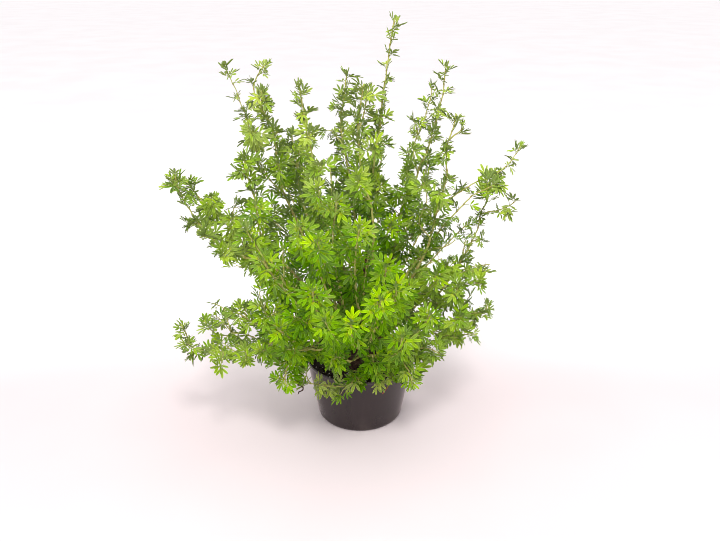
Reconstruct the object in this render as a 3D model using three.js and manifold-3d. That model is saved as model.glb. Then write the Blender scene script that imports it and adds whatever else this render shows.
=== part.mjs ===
// A shrubby cinquefoil growing in a round nursery pot. Millimetres, +Z up, the pot stands on z = 0 and its axis is x = y = 0.
// The camera side of the plant is -Y. Stems and leaves are simple closed solids at their real place and size.
import * as THREE from "three";
import { mergeVertices } from "three/addons/utils/BufferGeometryUtils.js";
import Module from "manifold-3d";

// ---------- driving dimensions ----------
const POT_RIM_D = 160; // over the rim
const POT_BASE_D = 121; // over the foot ring
const POT_H = 95;
const POT_KNEE_R = 64.4; // where the straight wall meets the rounded bottom corner
const POT_KNEE_Z = 9;
const POT_WALL = 1.6;
const POT_RIM_BEAD = 0.6; // the rim is this much prouder than the wall
const POT_FLOOR_Z = 3; // underside of the raised floor
const POT_FLOOR_T = 2;
const FOOT_RING_IN = 53; // inner radius of the foot ring
const FOOT_SLOTS = 8;
const FOOT_SLOT_W = 8;
const CENTRE_PAD_R = 17; // flat pad under the middle of the floor
const DRAIN_HOLES = 8;
const DRAIN_HOLE_D = 9;
const DRAIN_HOLE_AT = 41; // radius of the circle of holes
const GAP = 0.3; // clearance between pieces that touch
const COMPOST_TOP = 84;
const CROWN = { x: 1, y: 0, z: 80.5, rx: 25, ry: 26, rz: 11 };
const STEM_BASE_R = 3.0;
const STEM_TIP_R = 0.8;
const SIDE_BASE_R = 1.5;
const SHEATH_R = 1.1; // thin line of sheathing stipules that the leaves of one shoot share
const LEAF_R = 14; // reach of the middle leaflet from the top of the leaf stalk
const LEAF_HALF_T = 1.0; // at the middle of the leaf; it thins to nothing at the edge
const STALK_L = 8.5;
const STALK_IN = 0.55; // how far the stalk runs past the middle of the sheath line
const PITCH = 52; // spacing of the modelled leaves along a shoot

// ---------- shoots: centre lines from the woody crown out to the tip ----------
const SHOOTS = [
  { stem: "stem_left_upper", side: false, leaves: "leaves_left_2", path: [[-14,2,81],[-27,3,112],[-40,-2.2,145.4],[-63.7,-23.9,202.2],[-80.8,-32.5,229],[-97.6,-35.5,249.9],[-113.7,-35.7,266],[-153.9,-36.6,265.4],[-172.3,-37,273.3],[-186.3,-37.4,284.3],[-216,-38.4,319.1],[-232,-39.3,354.4],[-236.5,-39.7,370.9],[-236.7,-40,384.3]] },
  { stem: "stem_left_upper", side: false, leaves: "leaves_left_3", path: [[-27,3,112],[-53.4,5.5,153.7],[-82.6,8.7,185.1],[-162.3,18.4,260.3],[-185.5,21.9,290.2],[-219.9,26.5,324],[-241.6,30,353.4]] },
  { stem: "stem_left_low", side: false, leaves: "leaves_left_4", path: [[-14,-8,81],[-27,-13,98],[-42,-46.6,134.8],[-55.4,-66.8,149.6],[-65.5,-75,155.7],[-75.2,-76.3,158.5],[-98.4,-74.2,159.7],[-116.6,-73.7,155.9],[-141.3,-73.1,143.1],[-155.3,-72.7,139.2],[-213.2,-71.3,140.5],[-224.5,-71,143.5],[-232.6,-70.8,149.3],[-242.6,-70,182.3]] },
  { stem: "stem_left_low", side: false, leaves: "leaves_left_5", path: [[-27,-13,98],[-64.6,-35.1,126.9],[-98.2,-50,144.8],[-133.7,-54.8,166.8],[-168.7,-60,195.4]] },
  { stem: "stem_left_tall", side: false, leaves: "leaves_top_5", path: [[-9,8,81],[-17,12,126],[-28.5,14.5,165.6],[-71.7,19.2,258.3],[-108.5,29.1,343],[-119.2,38.6,425.5],[-137.9,43.3,460.3],[-142.5,45.4,477.1],[-142,46.2,483.4],[-134.9,47.9,495.7],[-123.3,50,509.2]] },
  { stem: "stem_left_tall", side: false, leaves: "leaves_top_7", path: [[-17,12,126],[-26.5,14.7,164.2],[-66.1,24.8,274.9],[-84.8,38.8,332.1],[-95.5,60,413.7]] },
  { stem: "stem_centre_tall", side: false, leaves: "leaves_top_1", path: [[1,6,81],[2.1,11.2,169.3],[10.5,9.9,272],[17.6,12.9,371],[34,17.7,508.2],[43.9,20,567.4]] },
  { stem: "stem_centre_tall", side: false, leaves: "leaves_top_2", path: [[1,10,134],[-0.3,22.6,202.7],[-8.2,47,299.8],[-26.7,72.7,418],[-18,90,494.9]] },
  { stem: "stem_centre_tall", side: false, leaves: "leaves_top_4", path: [[1,10,134],[-2.5,4.8,171.9],[-11.2,-11.7,210.5],[-31.6,-47.1,278],[-41.6,-58.5,315.8],[-54.6,-62.9,378.9],[-71.6,-70,500.1]] },
  { stem: "stem_right_tall", side: false, leaves: "leaves_top_8", path: [[9,6,81],[20,13,141.3],[47.9,30,243.9],[58.6,35.8,310.3],[74.8,38.9,341.3],[83.2,41.8,371.7],[94.7,44.4,397.7],[111.8,51.2,465.8],[114.8,55,504.7]] },
  { stem: "stem_right_tall", side: false, leaves: null, path: [[17,11,128],[15.4,14.7,164.9],[-1.2,21.3,214.4],[-25.2,34.8,266.7],[-33.4,44.8,287.9],[-39.2,60,310.1],[-46.1,110,366.9]] },
  { stem: "stem_right_upper", side: false, leaves: "leaves_top_9", path: [[14,0,81],[26,-1,116],[32.9,-4.9,136.2],[40.2,-12.2,157.8],[64.3,-44.1,226.1],[75,-50.4,253.1],[88.1,-52.3,284.3],[108.8,-59.1,383.1],[106.6,-62,424.7],[115.3,-65,464.1]] },
  { stem: "stem_right_upper", side: false, leaves: "leaves_right_2", path: [[26,-1,116],[45.1,-18.6,192.6],[62.7,-25.4,232.9],[112,-27.5,308.9],[132.2,-28.4,333.2],[149.1,-29.1,352.2],[177.1,-30,366.8]] },
  { stem: "stem_right_upper", side: false, leaves: "leaves_right_3", path: [[26,-1,116],[54.4,-1.2,143.6],[98.1,1.5,175],[115.5,3.4,195.6],[132.7,5.6,221.5],[154,8.9,261.7],[163.5,10.7,285.7],[167.4,12.7,312.5],[175.1,14.1,328.3],[177.5,15,340.7]] },
  { stem: "stem_right_low", side: false, leaves: "leaves_right_4", path: [[13,-9,81],[30.8,-20.2,105.2],[60.7,-32.9,132],[94.6,-40,152.1],[144.7,-42.9,181.1],[169.7,-44.2,187.6],[174.6,-44.6,193.2],[174.9,-45,201.7]] },
  { stem: "stem_right_low", side: false, leaves: "leaves_right_5", path: [[25,-17,99],[40.8,-47.3,129.6],[52.9,-67.4,143],[66.6,-86.7,153],[75.7,-93.9,157.9],[91,-101.4,162],[105.3,-110,158.9]] },
  { stem: "stem_right_low", side: false, leaves: "leaves_right_6", path: [[25,-17,99],[29.2,-32.8,117.2],[33.3,-54.4,135.5],[38.6,-76.7,143.3],[43.7,-91.7,145.5],[49.5,-98.1,144.6],[63.2,-107,134.2],[69.2,-118,116.1]] },
  { stem: "stem_front_left", side: false, leaves: "leaves_left_1", path: [[-9,-13,81],[-29.1,-33.3,121.1],[-47.1,-45.9,151.6],[-76.6,-60.5,199.4],[-98.6,-68,239.6],[-117.9,-71.4,280.9],[-125.6,-72.9,305.2],[-130.5,-76.1,357.7],[-138.5,-78.5,394.2],[-140.1,-80,417.8]] },
  { stem: "stem_front_left", side: false, leaves: "leaves_front_3", path: [[-20,-25,104],[-98.9,-105.9,253.6],[-118.5,-130,301.3]] },
  { stem: "stem_front_left", side: false, leaves: "leaves_front_1", path: [[-20,-25,104],[-70.8,-83.1,152.8],[-82.5,-93.9,164.7],[-105.6,-112.3,197.1],[-119.8,-130,232.3]] },
  { stem: "stem_front_left", side: false, leaves: "leaves_front_2", path: [[-20,-25,104],[-33,-63.6,140.9],[-51.7,-93.3,155.9],[-64.8,-103.1,161.8],[-78.4,-106.7,163.4],[-89.8,-111.5,155.6],[-97.8,-118.6,136.4],[-97.7,-125,117.6]] },
  { stem: "stem_front_centre", side: false, leaves: "leaves_top_3", path: [[-2,-9,81],[-5,-19,118],[-2.8,-29.1,158.2],[11.7,-42.1,229.6],[16.8,-44.9,267.6],[18.1,-43.8,313.9],[13.9,-42.4,345.3],[2.4,-40.9,374.9],[-2.2,-38.3,430.3],[-2,-37.2,452.1],[4.3,-35,494.8]] },
  { stem: "stem_front_centre", side: false, leaves: "leaves_front_6", path: [[-5,-19,118],[-10.9,-40.5,158.6],[-17.4,-63.1,189.9],[-23.7,-80,226.2],[-33.4,-95.5,303.1],[-28.7,-110,369.4]] },
  { stem: "stem_front_centre", side: false, leaves: "leaves_front_4", path: [[-5,-19,118],[-13.6,-43.4,160.5],[-24.5,-70.7,191.7],[-34.8,-92.3,222.9],[-70.4,-150,350.9]] },
  { stem: "stem_front_centre", side: false, leaves: "leaves_front_5", path: [[-5,-19,118],[-6.3,-26.6,127.7],[-9.7,-49.4,145.8],[-15.5,-86.7,159],[-24.5,-120,179.6],[-48.5,-169.4,246],[-52.7,-187.8,271.3],[-52.4,-205,295.1]] },
  { stem: "stem_front_right", side: false, leaves: "leaves_front_7", path: [[6,-14,81],[8.9,-43.8,139.7],[-1.7,-78.1,207.7],[-4.9,-97.3,240.1],[-5.8,-139.3,303.9],[-1.1,-180,359.4]] },
  { stem: "stem_front_right", side: false, leaves: "leaves_front_8", path: [[9,-27,106],[14.9,-84.7,188.2],[28.8,-146.2,280.7],[30.1,-165,307.1]] },
  { stem: "stem_front_right", side: false, leaves: null, path: [[9,-27,106],[5.3,-47.1,177.5],[4.1,-60,210.5],[11,-120,305]] },
  { stem: "stem_front_right", side: false, leaves: "leaves_front_9", path: [[9,-27,106],[9.9,-61.3,137.1],[8.5,-97.3,156.3],[10.2,-130,182.3],[19.3,-167.9,235.1],[23.5,-205,284]] },
  { stem: "stem_front_right", side: false, leaves: "leaves_front_11", path: [[9,-27,106],[21.7,-66.1,130.7],[35.2,-105.4,148.5],[42,-121.4,161],[48.5,-140.3,181.4],[50.6,-170,216.1]] },
  { stem: "stem_front_right", side: false, leaves: "leaves_front_10", path: [[9,-27,106],[7.1,-48.7,129.9],[-7.8,-120,176.6],[-10.1,-215,258.9]] },
  { stem: "stem_front_right", side: false, leaves: null, path: [[9,-27,106],[17.6,-95,120.5],[19.4,-104.9,135.6],[16.2,-125,166.2]] },
  { stem: "stem_front_right", side: false, leaves: "leaves_front_12", path: [[9,-27,106],[0.3,-65.1,129.4],[-12,-100,142.3],[-29.7,-160,183.8]] },
  { stem: "stem_trailing", side: false, leaves: null, path: [[2,-20,81],[4,-32.8,89.4],[2.8,-50.8,99.2],[-0.1,-71.5,109.5],[-2.1,-80,111.1],[-9.5,-83.9,99],[-23.4,-87.9,94.8],[-82.4,-104,110.3]] },
  { stem: "stem_back_left", side: false, leaves: null, path: [[-9,15,81],[-19,30,110],[-27.9,39.7,125.5],[-55.8,67.4,169.6],[-86.4,92.9,212.2],[-120.9,115.4,250.3],[-165,138,282]] },
  { stem: "stem_back_left", side: false, leaves: "leaves_back_1", path: [[-19,30,110],[-70.6,104.4,216.9],[-95,140,262],[-118,178,300]] },
  { stem: "stem_back_left", side: false, leaves: "leaves_back_2", path: [[-19,30,110],[-53.6,54.6,141.7],[-80,70,160],[-109.6,83.2,175],[-140,95,185],[-198,118,188]] },
  { stem: "stem_back_centre", side: false, leaves: "leaves_back_3", path: [[1,16,81],[1.1,37.3,122.6],[-23.9,118.9,235.7],[-31.8,146.1,265.9],[-45,190,300]] },
  { stem: "stem_back_centre", side: false, leaves: "leaves_back_4", path: [[2,33,116],[8.6,82.1,172.3],[14.8,113.7,201.8],[24,155,232],[36,212,250]] },
  { stem: "stem_back_centre", side: false, leaves: null, path: [[2,33,116],[9.4,74.9,221.5],[34,140,365]] },
  { stem: "stem_back_centre", side: false, leaves: "leaves_back_5", path: [[2,33,116],[-12.4,129.8,152.3],[-15.2,156.3,159.1],[-16.7,173,160.1],[-20,228,150]] },
  { stem: "stem_back_right", side: false, leaves: "leaves_back_6", path: [[9,14,81],[20,29,110],[62,82,190],[98,125,250],[122,162,292]] },
  { stem: "stem_back_right", side: false, leaves: "leaves_back_7", path: [[20,29,110],[65.1,61.6,162.4],[115.8,89.2,215.9],[165,108,262]] },
  { stem: "stem_back_right", side: false, leaves: "leaves_back_8", path: [[20,29,110],[42.7,67.8,135.6],[65.3,102.2,153.6],[88.2,129.9,166.4],[105,150,172],[140,196,168]] },
  { stem: "stem_left_tall", side: false, leaves: null, path: [[-17,12,126],[-75.3,78.5,310.7],[-92,104,378]] },
  { stem: "stem_right_tall", side: false, leaves: "leaves_back_9", path: [[17,11,128],[84.8,88.5,306.1],[104,112,372]] },
  { stem: "stem_left_upper", side: false, leaves: "leaves_left_6", path: [[-27,3,112],[-63,18.8,149.6],[-110,40,190],[-162.6,59.5,221.7],[-222,78,240]] },
  { stem: "stem_right_upper", side: false, leaves: null, path: [[26,-1,116],[51.1,9.4,138.9],[88,27,165.6],[129.6,48.9,192],[153.9,62.8,203.3],[170.1,70.8,206.3],[200,84,205]] },
  { stem: "stem_back_left", side: false, leaves: null, path: [[-19,30,110],[-44,60.5,126.3],[-68.3,90.8,137.2],[-89.9,122.9,145.7],[-107.7,152.9,149.8],[-119.3,171.7,149.1],[-140,205,142]] },
  { stem: "stem_left_tall", side: true, leaves: "leaves_top_6", path: [[-103.5,27.6,329.7],[-109.2,10,347.9],[-128,0.5,374.9],[-141.2,-14.9,425.9],[-143.3,-23.1,453],[-161.7,-45,516.2]] },
  { stem: "stem_right_upper", side: true, leaves: "leaves_right_1", path: [[97.8,-55.7,334.8],[117.2,-39.7,349.9],[132.8,-29.8,357.7],[154.6,-16.8,366.5],[170.8,-8.7,367.1],[180.6,-2.9,371.1],[200.4,10.1,384.2],[217.9,25,403.8]] },
  { stem: "stem_left_low", side: true, leaves: null, path: [[-123.7,-73.5,152.7],[-127.5,-64.5,147.9],[-131.7,-59.2,147.4],[-164.9,-49,156.6],[-198.7,-39.4,148.8],[-212.5,-34.7,155.1],[-220.9,-30,167.5]] },
  { stem: "stem_right_upper", side: true, leaves: null, path: [[167.1,12.6,311.3],[172.9,4.3,315.5],[195.5,-12.1,328.2],[208.8,-25,344.8]] },
  { stem: "stem_right_tall", side: true, leaves: null, path: [[80.7,40.9,361.8],[77.7,50.5,371.7],[75.3,57.4,393.2],[90.5,70.7,430.7],[99.3,80.9,460.2],[99.6,85,472.6]] },
  { stem: "stem_right_upper", side: true, leaves: null, path: [[132.7,5.6,221.5],[147.2,-10.9,234],[171.9,-35,246.8]] },
  { stem: "stem_right_upper", side: true, leaves: null, path: [[120.3,4,202.5],[130.5,-10,208.2],[154.7,-46.9,232.7],[163.1,-60,237.3]] },
  { stem: "stem_right_low", side: true, leaves: null, path: [[99.5,-40.5,154.6],[115.4,-56,154.3],[147.9,-74.3,169.2],[157.8,-80,170.8]] },
  { stem: "stem_left_upper", side: true, leaves: null, path: [[-199.6,23.7,303.1],[-200.7,2.1,324.8],[-197.7,-20,347.4]] },
  { stem: "stem_left_upper", side: true, leaves: null, path: [[-173.1,20,273.3],[-171.1,10,283.9],[-168.1,-40,324.9]] },
  { stem: "stem_left_tall", side: true, leaves: null, path: [[-131.9,41.8,448.5],[-128.5,25,478.1]] },
  { stem: "stem_left_tall", side: true, leaves: null, path: [[-140.4,-13.7,422.1],[-128.2,-75,447]] },
  { stem: "stem_left_upper", side: true, leaves: null, path: [[-190.8,-37.6,289],[-200.2,-75,311.5]] },
  { stem: "stem_left_low", side: true, leaves: null, path: [[-180,-72.1,139.4],[-184.4,-85,145.8],[-184.4,-110,140.6]] },
  { stem: "stem_front_left", side: true, leaves: null, path: [[-84.7,-95.6,167.3],[-84,-112.7,177.5],[-97.2,-160,221.6]] },
  { stem: "stem_front_centre", side: true, leaves: null, path: [[-51.1,-117.4,280.8],[-41.8,-142.7,299],[-47.8,-185,345.9]] },
  { stem: "stem_front_centre", side: true, leaves: null, path: [[-33.3,-136.5,200.7],[-27.7,-170,213.4],[-39.2,-215,261.5]] },
  { stem: "stem_front_right", side: true, leaves: null, path: [[16,-151.8,213],[29.4,-149.2,229.9],[34,-151,238],[41.3,-170.9,268.2],[41.1,-185,290.8]] },
  { stem: "stem_front_centre", side: true, leaves: null, path: [[-2.5,-37.9,437.3],[2.3,-24.1,447.4],[11.5,0,484.5]] },
];

const wasm = await Module();
wasm.setup();

// ---------- helpers ----------
function solid(geometry) {
  let g = geometry.index ? geometry : mergeVertices(geometry);
  g = g.clone();
  for (const k of Object.keys(g.attributes)) if (k !== "position") g.deleteAttribute(k);
  g = mergeVertices(g, 1e-5);
  const pos = g.attributes.position.array;
  const idx = g.index.array;
  const keep = [];
  for (let i = 0; i < idx.length; i += 3) {
    const [a, b, c] = [idx[i], idx[i + 1], idx[i + 2]];
    if (a !== b && b !== c && a !== c) keep.push(a, b, c);
  }
  let volume = 0;
  for (let i = 0; i < keep.length; i += 3) {
    const [a, b, c] = [keep[i] * 3, keep[i + 1] * 3, keep[i + 2] * 3];
    volume +=
      pos[a] * (pos[b + 1] * pos[c + 2] - pos[b + 2] * pos[c + 1]) -
      pos[a + 1] * (pos[b] * pos[c + 2] - pos[b + 2] * pos[c]) +
      pos[a + 2] * (pos[b] * pos[c + 1] - pos[b + 1] * pos[c]);
  }
  if (volume < 0) for (let i = 0; i < keep.length; i += 3) [keep[i + 1], keep[i + 2]] = [keep[i + 2], keep[i + 1]];
  return new wasm.Manifold(
    new wasm.Mesh({ numProp: 3, vertProperties: Float32Array.from(pos), triVerts: Uint32Array.from(keep) }),
  );
}
function toGeometry(m) {
  const mesh = m.getMesh();
  const g = new THREE.BufferGeometry();
  const n = mesh.vertProperties.length / mesh.numProp;
  const p = new Float32Array(n * 3);
  for (let i = 0; i < n; i++) for (let k = 0; k < 3; k++) p[i * 3 + k] = mesh.vertProperties[i * mesh.numProp + k];
  g.setAttribute("position", new THREE.BufferAttribute(p, 3));
  g.setIndex(new THREE.BufferAttribute(Uint32Array.from(mesh.triVerts), 1));
  g.computeVertexNormals();
  return g;
}
const largest = (m) => m.decompose().sort((a, b) => b.volume() - a.volume())[0];
const group = new THREE.Group();
function add(name, m, color, roughness) {
  const mesh = new THREE.Mesh(toGeometry(m), new THREE.MeshStandardMaterial({ color, roughness, metalness: 0 }));
  mesh.name = name;
  group.add(mesh);
}
// a repeatable scatter of numbers in 0..1
let seed = 7;
function rnd() {
  seed = (seed * 1664525 + 1013904223) % 4294967296;
  return seed / 4294967296;
}
const V = (a) => new THREE.Vector3(a[0], a[1], a[2]);

// frames along a polyline that don't twist
function frames(path) {
  const t = path.map((p, i) =>
    new THREE.Vector3().subVectors(path[Math.min(i + 1, path.length - 1)], path[Math.max(i - 1, 0)]).normalize(),
  );
  let u = new THREE.Vector3(1, 0, 0);
  if (Math.abs(u.dot(t[0])) > 0.9) u.set(0, 1, 0);
  return t.map((d) => {
    u = u.clone().addScaledVector(d, -u.dot(d)).normalize();
    return { t: d, u: u.clone(), v: new THREE.Vector3().crossVectors(d, u) };
  });
}
// a capped cylinder bent along a polyline, its radius changing from point to point
function tube(path, radii, sides) {
  const n = path.length;
  const g = new THREE.CylinderGeometry(1, 1, 1, sides, n - 1, false);
  const f = frames(path);
  const p = g.attributes.position;
  for (let i = 0; i < p.count; i++) {
    const k = Math.round((p.getY(i) + 0.5) * (n - 1));
    const r = radii[k];
    const q = path[k].clone().addScaledVector(f[k].u, p.getX(i) * r).addScaledVector(f[k].v, p.getZ(i) * r);
    p.setXYZ(i, q.x, q.y, q.z);
  }
  return solid(g);
}
function lengths(path) {
  const s = [0];
  for (let i = 1; i < path.length; i++) s.push(s[i - 1] + path[i].distanceTo(path[i - 1]));
  return s;
}
function at(path, s, want) {
  let i = 1;
  while (i < s.length - 1 && s[i] < want) i++;
  const k = (want - s[i - 1]) / (s[i] - s[i - 1]);
  return {
    p: path[i - 1].clone().lerp(path[i], Math.min(Math.max(k, 0), 1)),
    t: new THREE.Vector3().subVectors(path[i], path[i - 1]).normalize(),
  };
}
const boxOf = (m) => m.boundingBox();
const near = (a, b) => [0, 1, 2].every((k) => a.min[k] <= b.max[k] && b.min[k] <= a.max[k]);
const hits = (m, box, list) => list.some((o) => near(box, o.box) && !m.intersect(o.m).isEmpty());

// ---------- pot ----------
const R = POT_RIM_D / 2;
const floorTop = POT_FLOOR_Z + POT_FLOOR_T;
const outerAt = (z) => POT_KNEE_R + ((R - POT_RIM_BEAD - POT_KNEE_R) * (z - POT_KNEE_Z)) / (POT_H - POT_KNEE_Z);
const base = POT_BASE_D / 2;
const potProfile = [
  [0, POT_FLOOR_Z],
  [FOOT_RING_IN, POT_FLOOR_Z],
  [FOOT_RING_IN + 0.8, 0],
  [base, 0],
  [base + 2.2, 2.2],
  [POT_KNEE_R, POT_KNEE_Z],
  [outerAt(POT_H - 5), POT_H - 5],
  [R, POT_H - 4],
  [R, POT_H - 0.7],
  [R - 0.7, POT_H],
  [R - POT_WALL - 0.5, POT_H],
  [outerAt(POT_KNEE_Z) - POT_WALL, POT_KNEE_Z + 1],
  [base - 0.6, floorTop],
  [0, floorTop],
].map((p) => new THREE.Vector2(p[0], p[1]));
// a profile turned about the pot's axis, profile height along +Z
function spun(profile, segments) {
  const g = new THREE.LatheGeometry(profile, segments);
  const p = g.attributes.position;
  for (let i = 0; i < p.count; i++) p.setXYZ(i, p.getX(i), -p.getZ(i), p.getY(i));
  return solid(g);
}
let pot = spun(potProfile, 40);
const pad = new THREE.CylinderGeometry(CENTRE_PAD_R, CENTRE_PAD_R - 0.6, POT_FLOOR_Z + 0.5, 24);
pad.rotateX(Math.PI / 2);
pad.translate(0, 0, (POT_FLOOR_Z + 0.5) / 2);
pot = pot.add(solid(pad));
for (let i = 0; i < FOOT_SLOTS; i++) {
  const a = ((i + 0.5) / FOOT_SLOTS) * Math.PI * 2;
  const slot = new THREE.BoxGeometry(16, FOOT_SLOT_W, 4.4);
  slot.translate(base - 1.5, 0, 0);
  slot.rotateZ(a);
  pot = pot.subtract(solid(slot));
}
for (let i = 0; i < DRAIN_HOLES; i++) {
  const a = (i / DRAIN_HOLES) * Math.PI * 2;
  const hole = new THREE.CylinderGeometry(DRAIN_HOLE_D / 2, DRAIN_HOLE_D / 2, 12, 10);
  hole.rotateX(Math.PI / 2);
  hole.translate(DRAIN_HOLE_AT * Math.cos(a), DRAIN_HOLE_AT * Math.sin(a), 4);
  pot = pot.subtract(solid(hole));
}

// ---------- root crown, the knot of old wood that the stems rise from ----------
function crown(grow) {
  const g = new THREE.SphereGeometry(1, 12, 8);
  const p = g.attributes.position;
  for (let i = 0; i < p.count; i++) {
    const [x, y, z] = [p.getX(i), p.getZ(i), p.getY(i)];
    const a = Math.atan2(y, x);
    const k = 1 + 0.09 * Math.sin(3 * a + 0.6) + 0.06 * Math.sin(5 * a + 2);
    p.setXYZ(i, CROWN.x + x * k * (CROWN.rx + grow), CROWN.y + y * k * (CROWN.ry + grow), CROWN.z + z * (CROWN.rz + grow));
  }
  return solid(g);
}
const crownSolid = crown(0);
const crownRoom = crown(GAP + 0.15);

// ---------- compost ----------
const wallIn = (z) => outerAt(z) - POT_WALL - GAP;
const compostProfile = [
  [0, floorTop + GAP],
  [base - 2.4, floorTop + GAP],
  [wallIn(POT_KNEE_Z + 1) - 0.4, POT_KNEE_Z + 1.6],
  [wallIn(COMPOST_TOP - 3) - 0.5, COMPOST_TOP - 3],
  [R - 9, COMPOST_TOP - 1],
  [R - 26, COMPOST_TOP + 0.6],
  [R - 46, COMPOST_TOP],
  [0, COMPOST_TOP + 1],
].map((p) => new THREE.Vector2(p[0], p[1]));
const soilGeo = new THREE.LatheGeometry(compostProfile, 24);
{
  const p = soilGeo.attributes.position;
  for (let i = 0; i < p.count; i++) {
    const [x, y, z] = [p.getX(i), -p.getZ(i), p.getY(i)];
    const r = Math.hypot(x, y);
    const a = Math.atan2(y, x);
    let h = z;
    if (z > COMPOST_TOP - 2 && r > 1) h += 0.9 * Math.sin(3 * a + r * 0.11) + 0.6 * Math.sin(7 * a + 1.3);
    p.setXYZ(i, x, y, h);
  }
}
let compost = solid(soilGeo).subtract(crownRoom);

// ---------- stems ----------
const stems = new Map();
const woods = []; // every shoot as its own wood, with its box, for clearance
SHOOTS.forEach((s, i) => {
  const path = s.path.map(V);
  const len = lengths(path);
  const total = len[len.length - 1];
  const r0 = s.side ? SIDE_BASE_R : Math.min(STEM_BASE_R, 1.4 + total / 240);
  const radii = len.map((d) => STEM_TIP_R + (r0 - STEM_TIP_R) * Math.pow(1 - d / total, 1.25));
  const m = tube(path, radii, s.side ? 3 : 4);
  const fat = tube(path, radii.map((r) => r + GAP + 0.12), s.side ? 3 : 4);
  woods.push({ i, s, path, len, total, radii, m, fat, box: boxOf(fat) });
  stems.set(s.stem, stems.has(s.stem) ? stems.get(s.stem).add(m) : m);
});
// the compost keeps clear of the stems that leave the crown low down
for (const w of woods) if (!w.s.side && !compost.intersect(w.fat).isEmpty()) compost = compost.subtract(w.fat);
compost = largest(compost);
// stems of different groups that would touch: the later one is thinned away round the earlier one
const stemSolids = new Map();
for (const [name, m] of stems) {
  let out = m.subtract(crownRoom);
  const box = boxOf(m);
  for (const w of woods)
    if (w.s.stem !== name && stemSolids.has(w.s.stem) && near(box, w.box)) {
      const cut = out.intersect(w.fat);
      if (!cut.isEmpty()) {
        if (globalThis.REPORT) console.log("stem", name, "meets", w.s.stem, "shoot", w.i, cut.volume().toFixed(1), boxOf(cut));
        out = out.subtract(w.fat);
      }
    }
  const parts = out.decompose();
  if (globalThis.REPORT && parts.length > 1) console.log(name, "fell into", parts.map((p) => p.volume().toFixed(0)).join(" "));
  stemSolids.set(name, largest(out));
}

// ---------- leaves ----------
// a five-fingered leaf: a thin double cone whose edge runs out to five tips and, behind, to the end of the leaf stalk
const EDGE = [
  [0, 1], [24, 0.3], [50, 0.96], [78, 0.27], [108, 0.78], [158, 0.16],
  [180, 0], [202, 0.16], [252, 0.78], [282, 0.27], [310, 0.96], [336, 0.3],
];
function star(centre, dir, normal, reach, half, cup, stalk) {
  const g = new THREE.LatheGeometry(
    [new THREE.Vector2(0, -1), new THREE.Vector2(1, 0), new THREE.Vector2(0, 1)],
    EDGE.length,
  );
  const side = new THREE.Vector3().crossVectors(normal, dir);
  const p = g.attributes.position;
  for (let i = 0; i < p.count; i++) {
    const [x, y, z] = [p.getX(i), p.getY(i), p.getZ(i)];
    let q;
    if (Math.abs(y) > 0.5) q = centre.clone().addScaledVector(normal, y * half);
    else {
      const k = ((Math.round((Math.atan2(x, z) / (2 * Math.PI)) * EDGE.length) % EDGE.length) + EDGE.length) % EDGE.length;
      const a = (EDGE[k][0] * Math.PI) / 180;
      const r = k === 6 ? stalk : EDGE[k][1] * reach;
      q = centre
        .clone()
        .addScaledVector(dir, r * Math.cos(a))
        .addScaledVector(side, r * Math.sin(a))
        .addScaledVector(normal, k === 6 ? 0 : cup * (r / reach) ** 2);
    }
    p.setXYZ(i, q.x, q.y, q.z);
  }
  return solid(g);
}
const blocks = woods.map((w) => ({ m: w.m, box: w.box, own: w.i }));
const fixed = [pot, compost, crownSolid].map((m) => ({ m, box: boxOf(m) }));
const placed = []; // {m, box, node}
const leafNodes = new Map();

const leafy = woods.filter((w) => w.s.leaves);
const sheaths = new Map();
for (const w of leafy) {
  // the sheath line keeps to the side of the shoot that no side shoot leaves from
  const away = new THREE.Vector3();
  for (const o of woods)
    if (o.i !== w.i) {
      const a = o.path[0];
      for (let k = 0; k < w.path.length; k++)
        if (a.distanceTo(w.path[k]) < 40) away.sub(new THREE.Vector3().subVectors(o.path[1], a).normalize());
    }
  if (away.length() < 0.1) away.set(0.3, 0.5, -0.6);
  // it follows the shoot's own corner points, so that it never cuts across a bend
  const from = w.total * (w.s.side ? 0.25 : 0.46);
  const ks = [from, ...w.len.filter((d) => d > from + 9 && d < w.total - 9), w.total + 2.5];
  const build = (turn, grow) => {
    const line = ks.map((d) => {
      const { p, t } = at(w.path, w.len, Math.min(d, w.total));
      const k = w.len.indexOf(d);
      if (k > 0) t.copy(w.path[k + 1]).sub(w.path[k - 1]).normalize();
      const extra = Math.max(0, d - w.total);
      const dir = away.clone().applyAxisAngle(t, turn);
      dir.addScaledVector(t, -dir.dot(t)).normalize();
      const r = STEM_TIP_R + (w.radii[0] - STEM_TIP_R) * Math.pow(Math.max(0, 1 - Math.min(d, w.total) / w.total), 1.25);
      return p.clone().addScaledVector(t, extra).addScaledVector(dir, r * 1.05 + GAP + 0.25 + SHEATH_R);
    });
    return { line, m: tube(line, line.map(() => SHEATH_R + grow), 3) };
  };
  let pick = null;
  for (const turn of [0, 0.8, -0.8, 1.6, -1.6, 2.4, -2.4, 3.1]) {
    const fat = build(turn, GAP).m;
    const box = boxOf(fat);
    if (hits(fat, box, blocks.filter((b) => b.own !== w.i))) continue;
    if (hits(fat, box, [...sheaths.values()])) continue;
    pick = build(turn, 0);
    break;
  }
  if (!pick) {
    if (globalThis.REPORT) console.log("no clear sheath line for", w.s.leaves);
    pick = build(0, 0);
    pick.bad = true;
  }
  const free = pick.m.subtract(w.fat);
  pick.m = largest(free);
  pick.box = boxOf(pick.m);
  sheaths.set(w.i, pick);
  placed.push({ m: pick.m, box: pick.box, node: w.s.leaves });
}
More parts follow.
